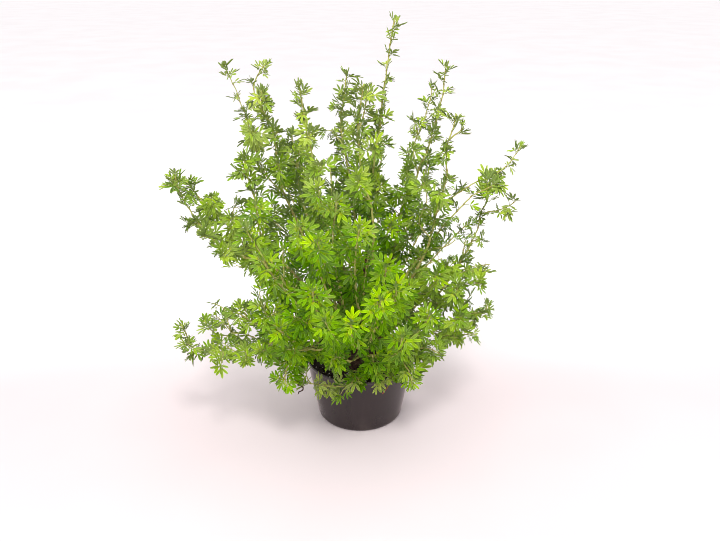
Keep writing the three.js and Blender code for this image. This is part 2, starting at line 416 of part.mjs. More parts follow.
for (const w of leafy) {
  const sheath = sheaths.get(w.i);
  const s = lengths(sheath.line);
  const end = s[s.length - 1];
  const n = Math.max(4, Math.round(end / PITCH) + 2);
  const blades = [];
  let body = sheath.m;
  let kept = 0;
  if (globalThis.REPORT) console.log("sheath", sheath.m.numTri(), "points", sheath.line.length);
  for (let k = 0; k < n; k++) {
    const want = k === 0 ? end - 0.6 : k === 1 ? end - 2.2 : 3 + ((end - 8) * (k - 2)) / Math.max(1, n - 2);
    const root = at(sheath.line, s, want);
    const t = root.t;
    let done = false;
    for (let tries = 0; tries < 14 && !done; tries++) {
      const azimuth = k * 2.39996 + tries * 0.83 + w.i;
      const ref = Math.abs(t.z) > 0.9 ? new THREE.Vector3(1, 0, 0) : new THREE.Vector3(0, 0, 1);
      const u = new THREE.Vector3().crossVectors(t, ref).normalize();
      const out = u.applyAxisAngle(t, azimuth);
      const rise = k < 2 ? 0.75 : 0.35 + 0.25 * rnd();
      const d = out.clone().multiplyScalar(Math.cos(rise)).addScaledVector(t, Math.sin(rise)).normalize();
      const reach = LEAF_R * (k < 2 ? 0.85 : 0.92 + 0.2 * rnd());
      const stalk = STALK_L * (0.85 + 0.3 * rnd());
      const centre = root.p.clone().addScaledVector(d, stalk);
      const n0 = t.clone().multiplyScalar(0.7).add(new THREE.Vector3(0, -0.15, 0.8)).addScaledVector(out, -0.25);
      const normal = n0.addScaledVector(d, -n0.dot(d)).normalize();
      const fat = star(centre, d, normal, reach + 0.7, LEAF_HALF_T + GAP + 0.15, -1.5, stalk * 0.75);
      const fatStalk = star(centre, d, normal, 4, LEAF_HALF_T + GAP, 0, stalk + STALK_IN + 0.3);
      const bFat = boxOf(fat);
      const bStalk = boxOf(fatStalk);
      if (hits(fat, bFat, blocks) || hits(fatStalk, bStalk, blocks.filter((b) => b.own !== w.i))) continue;
      if (hits(fat, bFat, fixed) || hits(fatStalk, bStalk, fixed)) continue;
      const others = placed.filter((o) => o.node !== w.s.leaves);
      if (hits(fat, bFat, others) || hits(fatStalk, bStalk, others)) continue;
      if (hits(fat, bFat, blades) || hits(fatStalk, bStalk, blades)) continue;
      const leaf = star(centre, d, normal, reach, LEAF_HALF_T, -1.5, stalk + STALK_IN);
      const trimmed = leaf.subtract(w.fat);
      const joined = body.add(trimmed);
      if (globalThis.REPORT) console.log("  leaf", leaf.numTri(), "trimmed", trimmed.numTri(), "adds", joined.numTri() - body.numTri());
      if (joined.decompose().length > 1) continue;
      body = joined;
      placed.push({ m: trimmed, box: boxOf(trimmed), node: w.s.leaves });
      blades.push({ m: fat, box: bFat });
      kept++;
      done = true;
    }
  }
  if (globalThis.REPORT) console.log(w.s.leaves, "leaves", kept, "of", n, "triangles", body.numTri());
  leafNodes.set(w.s.leaves, body);
}

// ---------- one dead, broken twig that hangs over the rim ----------
const DRY = [
  [33, -40, 89], [39, -57, 94.5], [42, -72, 100.5], [43, -80, 102.5], [40.5, -86, 98.5], [36.5, -88.5, 91], [31, -89.5, 83.5],
].map(V);
const dry = tube(DRY, DRY.map((_, k) => 1.1 - 0.07 * k), 5);

// ---------- the pieces ----------
add("nursery_pot", pot, 0x3f3739, 0.42);
add("compost", compost, 0x241a16, 0.97);
add("root_crown", crownSolid, 0x4a3524, 0.85);
for (const [name, m] of stemSolids) add(name, m, name === "stem_trailing" ? 0xc3b072 : 0x8a6a45, 0.75);
for (const [name, m] of leafNodes) add(name, m, 0x6f9f2c, 0.6);
add("dry_twig", dry, 0x8c3f2a, 0.8);

export default group;
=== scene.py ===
# A shrubby cinquefoil growing in a round nursery pot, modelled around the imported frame.
# The frame is in metres; the lists below are in tenths of a millimetre and the code works in millimetres until a mesh is made.
# The camera side of the plant is -Y.
import math

import bpy
import numpy as np
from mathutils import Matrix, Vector, noise as mnoise


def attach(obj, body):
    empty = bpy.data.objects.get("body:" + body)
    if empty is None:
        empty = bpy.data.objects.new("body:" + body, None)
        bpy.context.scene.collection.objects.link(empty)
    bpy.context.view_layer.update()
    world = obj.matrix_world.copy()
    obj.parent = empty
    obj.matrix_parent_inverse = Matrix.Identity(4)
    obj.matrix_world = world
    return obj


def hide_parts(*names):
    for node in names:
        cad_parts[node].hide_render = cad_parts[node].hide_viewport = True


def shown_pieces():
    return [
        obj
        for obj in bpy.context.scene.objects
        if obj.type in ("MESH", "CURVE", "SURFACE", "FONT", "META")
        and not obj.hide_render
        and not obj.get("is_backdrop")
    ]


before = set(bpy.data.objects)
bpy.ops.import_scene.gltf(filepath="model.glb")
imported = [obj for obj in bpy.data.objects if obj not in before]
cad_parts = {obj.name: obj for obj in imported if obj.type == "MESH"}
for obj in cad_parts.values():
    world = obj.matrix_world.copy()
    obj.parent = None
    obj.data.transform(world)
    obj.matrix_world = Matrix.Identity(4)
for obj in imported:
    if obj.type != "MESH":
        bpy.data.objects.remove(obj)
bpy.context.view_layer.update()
MM = 0.001
UP = np.array([0.0, 0.0, 1.0])
rng = np.random.default_rng(23)

# Every shoot: name, stem piece, leaf piece, kind (0 from the crown, 1 side shoot, 2 short spur), centre line x,y,z...,
# and its leaves as rows of seven: distance along the shoot, bearing round it (deg), rise of the blade (deg),
# length of the middle leaflet (tenths), roll (deg), closing of the blade (percent) and stalk length (percent).
SHOOTS = [
('M','stem_left_upper','leaves_left_2',0,
[-140,20,810,-169,22,895,-200,25,979,-240,30,1059,-278,29,1140,-312,20,1222,-343,8,1305,-374,-7,1388,-405,-27,1469,-436,-52,1550,-466,-81,1629,-497,-112,1707,
-529,-142,1785,-563,-173,1862,-597,-205,1939,-633,-236,2014,-673,-266,2089,-717,-290,2163,-767,-311,2235,-820,-328,2305,-875,-342,2374,-931,-352,2443,-987,
-355,2512,-1047,-355,2579,-1111,-356,2641,-1192,-358,2673,-1280,-360,2657,-1369,-362,2646,-1459,-364,2642,-1547,-366,2657,-1631,-368,2687,-1711,-370,2727,
-1786,-372,2776,-1854,-374,2834,-1916,-376,2898,-1976,-378,2965,-2034,-380,3034,-2091,-382,3102,-2149,-384,3171,-2187,-386,3252,-2222,-388,3334,-2264,-390,
3413,-2301,-392,3494,-2330,-394,3579,-2355,-396,3665,-2369,-398,3753,-2367,-400,3843],
[4085,285,44,102,14,44,32,4024,19,33,102,-4,55,50,4044,197,25,83,19,26,44,3981,326,-18,120,-14,13,57,3985,85,-1,86,-19,10,70,3953,269,-16,129,21,8,87,3986,
254,34,107,12,22,70,3856,125,60,123,46,20,51,3739,306,-38,106,23,12,76,3615,347,-5,99,-5,26,59,3505,67,-23,118,20,25,74,3380,299,55,97,-1,7,54,3239,36,-4,89,
-45,18,67,3093,307,60,111,10,11,69,2933,48,-20,118,-40,21,66,2764,245,-36,87,52,5,57,2639,322,49,115,-23,0,57,2507,169,-20,108,1,8,59,2341,130,-29,134,-68,7,
73,2206,5,7,111,-36,7,62,2040,83,15,103,41,32,69,1951,24,-3,126,-28,0,57,1737,45,7,123,-26,14,86,1648,310,68,110,31,22,74,1441,317,6,88,-3,10,57,1282,209,-23,
95,47,10,71,1113,251,-27,114,34,15,69,3867,303,13,74,-41,10,48,3752,268,51,73,50,2,53,3639,269,46,88,24,34,56,3451,250,6,83,-15,16,35,3365,69,-1,113,-38,19,
60,3245,86,76,107,55,26,51,3073,139,53,116,-40,24,46,2934,306,58,81,-15,27,55,2766,61,57,119,-14,40,56,2635,162,30,86,-42,21,53,2487,213,29,111,40,16,56,2380,
198,46,111,41,21,62,2188,70,5,99,-51,28,44,2037,130,0,118,29,14,43,1951,15,22,121,-25,0,57,1800,182,15,94,26,28,44,1625,132,5,76,-33,15,45,1445,71,30,100,18,
18,58,1298,222,-1,99,34,18,58,1100,78,36,106,-15,7,48,3855,143,61,102,-20,15,52,3752,327,-10,75,34,24,62,3646,346,8,83,18,15,43,3492,281,-9,70,51,57,41,3383,
236,28,82,36,30,44,3236,55,38,102,-15,26,41,3043,331,8,100,14,37,56,2946,146,24,93,-27,16,40,2603,31,12,96,-29,19,52,2504,178,61,100,34,23,56,2202,25,15,115,
-34,10,44,2035,44,25,109,50,20,72,1787,2,38,108,-17,30,58,3916,68,54,108,-41,29,54,3791,272,57,91,22,37,34,3662,241,53,86,-15,25,49,3389,274,26,85,-12,18,62,
3237,348,49,100,28,17,56,3087,327,2,87,22,8,61,2523,170,52,116,16,28,39,1878,314,46,131,-60,32,39,1812,27,31,120,22,15,57]),
('N','stem_left_upper','leaves_left_3',0,
[-140,20,810,-169,22,895,-201,25,979,-238,27,1061,-281,31,1140,-324,35,1218,-368,39,1296,-415,43,1373,-465,48,1448,-520,54,1519,-577,60,1587,-637,66,1654,
-699,73,1720,-760,80,1784,-824,87,1848,-888,94,1910,-953,102,1972,-1018,109,2033,-1083,117,2094,-1148,125,2156,-1214,133,2218,-1279,141,2279,-1344,149,2340,
-1411,157,2400,-1478,166,2459,-1543,174,2520,-1606,182,2584,-1666,190,2650,-1722,198,2720,-1773,207,2794,-1826,215,2866,-1885,223,2933,-1952,232,2992,-2019,
240,3052,-2083,249,3114,-2143,257,3180,-2204,266,3246,-2258,274,3317,-2311,283,3389,-2364,291,3461,-2416,300,3534],
[3546,118,30,98,-30,48,32,3532,173,35,124,-27,46,32,3477,301,31,89,-8,26,54,3463,178,-16,105,-55,14,59,3488,237,4,122,6,2,73,3442,9,41,89,-15,4,83,3592,125,
80,62,11,95,25,3451,209,-32,129,39,19,63,3367,243,-23,123,66,0,65,3250,91,-34,103,0,9,56,3107,212,-19,103,29,0,58,3019,135,-30,111,-19,0,53,2874,193,32,128,
54,22,62,2773,254,23,105,14,16,53,2588,212,-19,100,30,0,59,2450,194,51,102,63,17,63,2306,1,26,113,41,35,63,2190,283,53,127,-14,12,56,2052,12,54,130,-49,6,70,
1910,204,3,109,53,7,66,1743,186,1,118,41,28,66,1621,139,-27,103,-35,0,67,1430,179,30,129,42,21,74,1299,23,-21,112,-71,2,67,1077,42,20,141,-14,36,70,918,202,
-16,121,45,37,56,3354,155,-4,100,10,24,54,3219,169,69,80,-37,9,50,3113,193,15,103,-39,19,73,2990,191,1,100,12,21,51,2883,173,35,109,16,16,63,2763,118,62,99,
34,37,53,2579,180,27,82,-14,0,50,2475,210,2,111,18,15,64,2331,319,25,85,13,12,47,2210,98,71,115,12,35,60,2073,161,64,110,19,39,77,1908,31,22,107,-32,18,51,
1765,155,64,95,40,26,66,1608,216,4,117,48,48,40,1400,72,64,115,23,18,40,1243,93,61,105,41,36,67,1130,1,-6,118,-46,23,36,916,292,-7,112,-22,8,51,3372,288,65,
106,9,21,47,3212,356,-2,75,-29,19,51,3108,180,58,108,-29,10,52,3031,181,-5,106,42,30,52,2863,88,32,93,-34,14,70,2711,43,53,79,-18,12,53,2597,66,53,87,-14,17,
64,2439,281,25,125,-2,31,63,2333,27,50,96,12,35,67,2157,75,61,108,1,18,62,3319,225,28,117,-54,30,39,3246,151,55,87,-14,15,48,3152,87,31,101,-32,23,55,2998,
149,62,96,23,18,63,2828,222,17,98,8,31,62,2723,7,54,102,-28,20,53,2586,256,24,117,-23,14,53,2500,203,66,93,50,18,51,2322,319,53,103,23,22,48,2214,67,51,119,
-11,8,60]),
('Q','stem_left_low','leaves_left_4',0,
[-140,-80,810,-188,-98,885,-247,-116,951,-290,-157,1018,-315,-213,1085,-336,-272,1151,-358,-332,1215,-382,-393,1277,-413,-455,1336,-451,-517,1390,-492,-582,
1438,-538,-647,1482,-591,-707,1523,-661,-752,1559,-747,-763,1584,-836,-753,1596,-926,-743,1600,-1016,-741,1594,-1105,-739,1577,-1192,-737,1549,-1273,-735,
1508,-1351,-732,1463,-1433,-730,1423,-1520,-728,1399,-1609,-726,1386,-1700,-724,1388,-1791,-722,1393,-1881,-719,1397,-1972,-717,1396,-2062,-715,1397,-2152,
-713,1408,-2239,-711,1433,-2316,-708,1481,-2352,-706,1562,-2364,-704,1652,-2395,-702,1737,-2426,-700,1823],
[3204,58,82,104,23,62,32,3195,248,32,90,47,54,41,3142,337,41,93,-13,34,48,3172,124,7,79,17,7,63,3139,274,-16,103,-4,24,72,3138,33,39,81,0,24,75,3107,262,-18,
98,4,26,55,3032,313,20,103,2,25,39,2899,345,17,114,6,10,58,2774,281,-35,102,25,0,69,2640,80,9,107,-55,12,45,2546,312,59,108,-61,27,56,2385,332,63,114,51,22,
78,2217,189,23,139,-57,28,65,2079,32,51,119,30,8,57,1937,20,15,127,43,24,75,1842,210,-18,130,22,0,59,1664,62,61,112,35,7,67,1537,228,-19,127,35,3,77,1415,3,
12,111,3,13,67,1240,75,17,110,64,17,61,1071,236,11,122,40,10,64,885,42,54,112,34,14,68,3037,306,25,66,-31,14,55,2932,91,-2,76,36,30,55,2790,231,22,95,14,21,
44,2675,135,55,95,6,20,53,2523,349,48,113,-29,12,62,2372,134,43,105,-2,45,41,2209,305,37,102,20,24,44,2118,222,-16,106,14,10,55,1964,216,-5,103,-53,54,60,
1802,74,26,71,-17,23,47,1650,265,44,93,-11,38,61,1572,247,61,101,41,20,54,1377,58,1,120,-54,22,68,1243,243,28,113,10,14,52,1039,315,64,71,20,37,66,877,270,4,
82,15,19,52,2797,247,7,93,-2,27,48,2683,240,6,85,-38,18,61,2555,224,21,89,21,21,50,2412,98,62,102,-44,32,61,2222,277,23,94,-15,17,50,2081,92,18,92,-33,29,57,
1930,79,64,93,36,25,40,1813,263,20,127,35,0,47,1681,277,63,82,18,26,66,2785,296,10,110,-35,20,37,2662,156,59,100,43,28,45,2501,68,53,101,19,32,54,2381,268,63,
84,31,18,58,2264,265,-3,80,19,13,47,2065,196,58,97,8,19,63,1913,243,8,123,-29,26,60,1799,69,7,96,20,23,49,1208,290,63,103,16,15,43]),
('T','stem_left_low','leaves_left_5',0,
[-140,-80,810,-187,-98,883,-240,-117,950,-300,-147,1007,-361,-184,1060,-423,-222,1110,-485,-261,1158,-549,-299,1205,-616,-336,1250,-686,-371,1292,-757,-407,
1330,-829,-441,1368,-902,-472,1405,-977,-498,1445,-1052,-515,1488,-1128,-522,1533,-1203,-529,1579,-1276,-539,1626,-1348,-549,1676,-1418,-559,1730,-1486,-569,
1786,-1551,-580,1844,-1617,-590,1901,-1687,-600,1954],
[2016,182,41,130,29,47,34,1955,39,54,112,-34,46,36,1926,70,39,129,-21,21,61,1920,249,-18,110,45,12,64,1855,11,-17,130,-17,24,71,1861,158,42,101,13,12,84,2027,
266,80,62,-15,95,25,2027,86,80,62,-19,95,25,1855,46,17,119,-36,16,51,1777,247,-16,119,6,22,54,1664,304,-21,126,42,0,54,1524,197,-8,110,29,24,82,1403,219,4,
119,46,0,69,1285,60,67,133,22,43,74,1100,270,-19,115,-30,0,75,940,284,-11,132,43,19,51,786,183,46,120,21,22,48,1777,97,62,100,15,18,39,1652,113,65,80,21,16,
51,1536,146,-2,100,20,23,53,1410,194,55,130,-30,52,50,1263,187,44,99,46,20,54,1087,226,11,122,22,0,41,969,70,69,99,-25,34,42,842,139,-1,88,-44,15,62,1755,173,
62,98,12,16,56,1676,106,44,120,13,40,36,1531,351,3,100,-16,22,45,1362,244,28,106,45,21,43,1251,230,52,111,21,12,76,1787,232,3,88,31,16,59,1603,103,43,74,13,
21,73,1534,147,52,83,-12,19,60,1441,116,41,102,-5,45,39]),
('H','stem_left_tall','leaves_top_5',0,
[-90,80,810,-103,87,900,-116,93,989,-131,101,1078,-149,110,1167,-169,120,1255,-191,126,1343,-214,132,1430,-239,137,1517,-266,142,1604,-298,146,1689,-332,149,
1772,-368,152,1856,-406,155,1938,-443,158,2021,-482,161,2103,-522,165,2184,-563,168,2265,-602,173,2347,-642,179,2428,-682,185,2510,-721,193,2591,-759,201,
2673,-796,210,2755,-832,220,2838,-868,230,2921,-906,240,3003,-944,250,3084,-982,260,3166,-1015,270,3250,-1051,280,3333,-1081,290,3417,-1103,300,3505,-1119,
310,3594,-1131,320,3683,-1140,330,3773,-1146,341,3863,-1152,351,3953,-1158,361,4043,-1170,372,4132,-1186,382,4221,-1212,393,4306,-1256,404,4385,-1305,414,
4461,-1348,425,4540,-1387,436,4621,-1415,447,4707,-1426,457,4796,-1394,468,4878,-1350,479,4956,-1300,489,5031,-1233,500,5092],
[4561,79,42,94,4,49,38,4535,320,39,102,-43,54,44,4519,111,36,94,37,49,52,4497,238,-7,99,51,25,64,4464,331,-14,88,-11,34,73,4476,70,8,88,-50,31,69,4622,6,80,
62,-5,95,25,4472,244,-6,103,3,20,68,4427,339,69,102,-12,0,60,4279,244,21,99,-17,7,55,4097,344,-17,118,50,4,65,4028,164,-12,101,-60,15,61,3844,252,-16,106,27,
5,62,3739,132,-26,102,-41,8,78,3573,312,54,83,31,32,80,3461,106,60,131,-4,21,58,3356,158,48,117,37,5,60,3207,270,51,83,-39,17,66,3041,47,31,104,-46,20,45,
2875,271,-18,127,-48,13,59,2758,144,5,143,-60,22,67,2656,142,35,122,-9,1,62,2460,262,51,107,-30,9,57,2288,169,25,135,49,33,82,2164,196,-16,108,-28,9,74,2029,
145,30,134,-30,4,69,1854,204,0,117,-26,10,68,1645,255,38,101,-16,0,76,1456,199,-9,115,35,0,64,1320,176,12,122,23,6,44,1134,145,-7,119,54,25,77,4231,83,-2,85,
-48,12,56,4139,351,-2,102,-58,34,47,4014,18,5,110,-55,35,46,3870,3,-25,78,-44,47,68,3733,96,47,80,-24,27,32,3612,306,66,121,21,27,49,3461,300,27,77,36,20,44,
3315,334,55,111,22,24,50,3182,160,-3,110,-40,23,49,3035,68,57,114,-13,13,62,2882,51,36,115,-13,15,48,2738,159,22,85,7,31,61,2621,299,26,111,25,23,46,2440,180,
41,118,45,2,63,2315,212,31,82,28,27,58,2145,221,25,116,42,44,49,2016,35,62,105,23,24,49,1880,196,0,106,29,33,51,1656,170,36,123,38,19,55,1501,160,24,114,8,29,
52,1313,168,27,97,38,32,56,1141,100,43,124,13,12,73,4264,188,66,84,-32,18,48,4122,244,23,70,31,16,50,4034,221,18,108,-15,7,56,3858,123,65,117,31,34,37,3742,
145,46,114,15,18,60,3625,173,43,101,32,18,42,3476,186,30,102,-39,7,53,3329,17,24,88,-28,34,45,3193,168,5,94,33,18,44,2897,96,30,118,-31,18,51,2746,39,4,82,
-23,14,67,2638,109,3,102,-38,16,53,2467,219,-4,74,-38,25,57,2279,182,7,107,-37,24,60,2149,213,7,101,17,13,56,2040,90,56,116,-25,16,62,4125,1,-11,101,-52,14,
48,4034,142,-7,118,-26,20,53,3885,224,43,84,43,25,55,3755,265,44,106,-21,10,59,3584,251,-6,95,39,29,56,3456,86,61,81,16,20,57,3349,344,55,99,-14,40,61,3170,
41,55,100,-44,19,65,3007,38,62,98,-5,59,57,2931,10,-17,108,-61,38,55,2749,188,14,75,42,23,44,2643,334,52,97,-28,11,45,2495,178,34,101,-48,4,53,2344,186,44,
114,42,37,67,2177,156,28,104,17,50,71]),
('G','stem_left_tall','leaves_top_7',0,
[-90,80,810,-103,87,899,-116,93,987,-131,100,1076,-148,110,1163,-168,119,1251,-188,126,1338,-208,133,1425,-229,139,1512,-253,144,1599,-279,149,1685,-307,154,
1770,-336,159,1855,-366,164,1940,-396,170,2024,-427,175,2108,-459,181,2192,-490,188,2276,-521,196,2360,-553,205,2444,-584,215,2527,-615,226,2611,-644,239,
2695,-671,254,2779,-697,271,2864,-724,290,2947,-752,310,3031,-782,331,3112,-812,354,3194,-837,376,3277,-856,399,3362,-869,421,3448,-876,443,3535,-877,465,
3622,-884,487,3709,-895,510,3795,-909,532,3881,-926,555,3967,-948,577,4051,-955,600,4137],
[3458,95,48,86,-9,48,38,3422,139,44,110,-53,63,42,3407,305,61,117,32,25,57,3404,128,-9,120,44,0,67,3378,188,-7,111,-29,10,71,3331,40,18,97,28,0,88,3502,106,
80,62,8,95,25,3502,286,80,62,5,95,25,3375,67,-23,126,0,14,56,3284,193,-13,118,25,25,70,3170,2,-19,148,-77,0,73,3045,16,-17,97,48,6,55,2904,189,-27,123,43,26,
70,2743,121,59,88,-28,0,62,2591,259,52,122,-65,9,53,2472,301,61,89,9,11,63,2295,56,40,101,-54,0,41,2194,291,70,85,-6,40,71,2056,327,7,90,-35,14,53,1910,184,
56,97,-10,10,64,1800,338,17,121,-34,2,61,1630,159,48,116,31,0,69,1481,283,-22,122,-44,3,53,1324,13,-14,98,2,1,71,1145,262,-27,96,9,0,63,975,328,8,90,-47,4,63,
3279,209,35,114,-21,12,56,3149,268,51,87,-39,17,62,3055,53,28,74,28,26,45,2893,352,0,118,-38,12,52,2737,212,41,123,-59,44,67,2649,203,14,116,30,55,52,2487,
268,34,96,-20,11,47,2346,172,52,117,31,14,62,2199,280,27,121,-2,33,46,2102,5,65,100,-36,24,34,1910,215,51,112,35,35,59,1796,229,48,129,-46,17,50,1613,80,56,
107,-5,34,42,1524,169,49,102,47,25,55,1299,162,32,126,25,7,32,1130,61,8,76,-24,21,50,976,353,-3,116,-33,23,46,3280,267,40,101,-9,12,42,3021,199,-25,84,39,23,
70,2849,271,65,89,-15,50,37,2760,100,6,109,28,11,46,2609,248,7,74,45,5,56,2453,30,48,111,-42,44,43,2349,207,25,84,14,13,46,2213,120,33,105,17,26,41,2060,15,
59,110,-29,21,48,3291,350,8,106,-46,34,66,3147,58,53,83,-9,24,63,2911,196,62,107,33,22,62,2743,274,62,119,-16,22,46,2616,296,58,122,27,43,42,2180,173,24,100,
54,39,53]),
('A','stem_centre_tall','leaves_top_1',0,
[10,60,810,10,66,900,10,71,991,10,77,1081,10,85,1172,9,94,1262,10,101,1352,12,105,1443,15,109,1533,18,111,1624,22,112,1715,28,112,1805,34,111,1895,41,109,
1986,48,107,2076,56,105,2167,64,103,2257,72,101,2347,80,99,2437,88,98,2528,96,98,2618,104,99,2708,111,100,2799,118,102,2889,125,105,2979,131,108,3070,137,111,
3160,145,114,3250,154,117,3341,162,120,3431,168,123,3521,171,126,3612,176,129,3702,185,132,3792,196,135,3882,206,138,3972,219,141,4062,236,144,4151,252,147,
4240,265,150,4330,272,153,4420,278,156,4511,287,160,4601,293,163,4691,303,166,4781,318,169,4871,340,173,4958,340,176,5049,354,179,5138,370,183,5226,378,186,
5317,389,190,5407,402,193,5496,419,197,5585,439,200,5674],
[4837,43,41,82,2,68,36,4848,162,38,89,-53,73,36,4779,317,53,98,-39,42,43,4755,58,-9,87,45,6,66,4749,279,2,104,-42,29,65,4755,47,14,122,18,3,78,4730,273,-35,
106,-18,15,69,4616,79,-12,99,-9,30,56,4569,312,65,101,-35,26,55,4432,297,27,102,7,23,60,4280,90,14,103,21,26,64,4117,297,-2,99,-30,0,55,4008,101,-11,99,-12,
12,60,3850,276,-13,101,10,28,68,3673,254,-40,111,-9,7,71,3563,152,43,127,21,4,60,3386,138,-3,116,31,20,55,3274,15,21,117,-35,7,68,3120,136,27,99,-28,8,73,
2973,197,9,130,50,0,56,2852,59,67,121,-27,18,70,2682,262,-34,119,72,0,41,2544,298,-14,110,29,4,52,2443,150,68,114,-9,6,73,2276,357,26,115,-36,0,72,2129,89,58,
117,-25,3,53,1948,148,2,112,37,14,59,1758,359,31,120,-26,7,53,1616,33,29,121,0,40,72,1456,335,1,116,-54,3,83,1270,5,15,123,-46,8,61,4659,258,6,78,28,21,48,
4453,228,41,87,23,21,50,4256,291,47,67,-56,18,49,4101,23,69,84,31,38,49,3880,45,61,66,32,38,71,3701,284,39,78,-8,42,50,3576,171,6,115,30,17,55,3412,101,47,
103,-49,18,59,3278,64,53,122,-26,12,64,3151,118,22,107,-35,12,53,2972,260,-3,107,-14,9,59,2832,159,49,95,31,11,44,2654,68,45,100,11,42,49,2540,94,55,105,-39,
17,46,2459,165,10,126,13,2,67,2279,307,3,82,-5,9,53,2148,194,-4,120,13,26,40,1910,96,54,110,7,35,61,1767,68,40,127,-18,34,61,1628,44,31,124,-48,7,65,1410,53,
21,70,-48,18,62,1262,85,39,106,13,17,60,4641,161,63,82,-26,0,59,4435,332,-5,83,24,18,55,4270,128,10,104,-27,8,55,4151,290,0,80,36,39,52,4017,289,45,79,-66,5,
64,3861,268,13,70,-1,5,53,3745,324,46,69,-32,20,32,3551,250,15,73,-41,13,55,3398,183,-5,83,26,21,62,3260,17,56,86,36,30,54,2993,150,32,71,10,22,45,2827,162,
28,109,25,8,55,2726,19,48,111,-17,28,39,2284,191,6,114,20,17,54,4131,26,-15,82,7,24,47,3987,266,5,83,27,28,56,3867,25,58,70,33,10,41,3759,39,63,83,45,49,70,
3564,159,-2,103,-15,19,59,3423,273,-9,83,9,12,51,3289,187,20,103,29,47,66,2994,182,-13,115,15,8,44,2836,89,52,111,-39,19,46,2710,35,60,118,-27,26,40,2403,347,
5,134,-57,23,65,1895,222,-6,105,52,41,48]),
('B','stem_centre_tall','leaves_top_2',0,
[10,60,810,10,66,900,10,71,991,10,77,1081,10,84,1171,10,92,1261,10,101,1351,9,113,1441,9,125,1531,8,138,1621,6,154,1710,4,171,1798,2,191,1887,-1,212,1975,-5,
234,2062,-9,256,2150,-13,279,2238,-18,303,2325,-24,326,2412,-30,349,2499,-38,372,2587,-46,394,2674,-56,415,2762,-65,436,2849,-75,456,2937,-85,475,3025,-96,
494,3113,-107,512,3201,-119,531,3289,-131,550,3376,-145,568,3464,-159,587,3551,-174,606,3638,-190,626,3725,-205,645,3812,-219,664,3900,-238,683,3986,-256,703,
4073,-266,722,4160,-268,742,4249,-265,761,4337,-254,781,4425,-236,801,4511,-223,820,4599,-212,840,4686,-201,860,4774,-190,880,4861,-180,900,4949],
[4194,226,19,90,20,43,48,4180,300,48,78,-28,61,42,4171,133,29,85,-21,54,47,4163,290,-11,103,21,21,62,4137,314,-3,113,14,2,63,4060,126,9,92,6,5,87,4148,3,-4,
120,12,19,75,3981,263,-37,129,-53,14,78,3915,86,-20,126,30,9,76,3793,8,82,119,-33,29,43,3688,102,-19,130,-53,6,61,3574,315,54,91,16,10,49,3432,341,-18,108,
-70,0,78,3305,83,72,110,45,18,64,3155,236,-1,94,49,0,61,3005,114,-29,122,-72,16,65,2890,219,-1,97,52,29,50,2717,114,57,94,24,0,53,2554,195,-5,90,52,8,58,2455,
239,23,121,-67,33,44,2313,119,5,87,43,7,75,2175,292,55,113,33,15,65,2064,39,60,126,-35,6,49,1907,257,70,101,7,17,71,1702,286,61,93,9,1,70,1531,65,33,125,-29,
6,56,1350,263,2,103,9,6,54,1181,20,54,126,-39,6,52,4000,328,73,73,-11,33,55,3882,146,48,118,30,27,58,3817,128,25,83,15,25,54,3713,285,48,76,-19,55,48,3539,
263,36,93,49,50,48,3442,292,65,79,8,21,48,3286,64,15,82,-20,18,55,3176,283,69,102,-4,34,59,3011,356,35,85,-26,43,37,2895,17,60,76,-13,8,58,2716,134,71,102,20,
30,61,2612,206,32,129,-45,14,53,2445,251,65,102,-31,29,51,2305,157,55,73,36,15,40,2177,148,67,99,38,2,45,2057,201,39,107,11,7,51,1947,285,42,116,12,9,37,1711,
126,65,118,22,24,54,1510,10,20,124,-54,19,56,1330,261,57,80,10,14,43,1186,74,52,111,-17,13,65,3987,335,66,75,-6,8,72,3922,34,-5,109,12,19,57,3797,78,25,105,
-25,23,52,3665,322,-6,111,16,24,62,3519,59,14,68,-21,21,58,3411,84,36,123,8,23,54,3310,35,47,105,5,10,58,3164,128,55,86,19,16,64,3029,286,69,103,44,10,56,
2880,170,-5,87,34,17,54,2693,199,36,114,15,23,58,2578,110,73,109,20,0,52,2459,208,-8,82,28,23,52,2312,272,62,106,28,14,44,2177,65,67,116,12,44,37,2031,250,60,
74,14,17,42,3904,298,54,82,9,15,55,3792,246,54,95,-4,15,67,3669,272,21,79,28,22,61,3596,106,45,79,-20,60,32,3449,110,-2,76,-13,24,55,3341,347,-14,111,-44,15,
58,3178,42,1,68,39,19,53,2987,26,66,91,37,40,32,2866,296,7,103,21,15,64,2725,200,61,94,33,24,60,2624,158,33,119,-50,3,51,2438,133,61,112,18,22,55,2324,217,7,
104,40,18,53,2169,209,21,74,22,22,34,2031,247,26,84,-27,29,52]),
('E','stem_centre_tall','leaves_top_4',0,
[10,60,810,10,66,900,10,71,990,10,77,1080,10,85,1170,12,97,1259,10,100,1349,4,95,1439,-2,86,1528,-11,72,1617,-23,52,1704,-37,26,1789,-54,-6,1872,-73,-42,1952,
-93,-80,2031,-114,-119,2110,-135,-159,2188,-158,-201,2265,-181,-243,2341,-204,-285,2417,-228,-326,2494,-251,-366,2571,-276,-407,2648,-300,-446,2726,-324,-482,
2805,-347,-513,2886,-369,-540,2969,-391,-562,3054,-412,-581,3139,-432,-596,3226,-452,-607,3313,-471,-612,3401,-489,-615,3489,-506,-618,3578,-524,-622,3666,
-540,-627,3755,-554,-632,3844,-566,-637,3933,-577,-642,4022,-587,-647,4112,-599,-652,4201,-615,-657,4289,-635,-662,4377,-653,-668,4465,-664,-673,4555,-668,
-678,4644,-682,-684,4733,-695,-689,4822,-708,-694,4911,-716,-700,5001],
[4373,304,36,89,-25,69,32,4339,158,60,91,-30,65,41,4306,343,41,89,50,39,49,4275,10,16,89,-12,19,58,4271,247,-4,84,29,12,66,4249,285,34,89,14,20,77,4414,243,
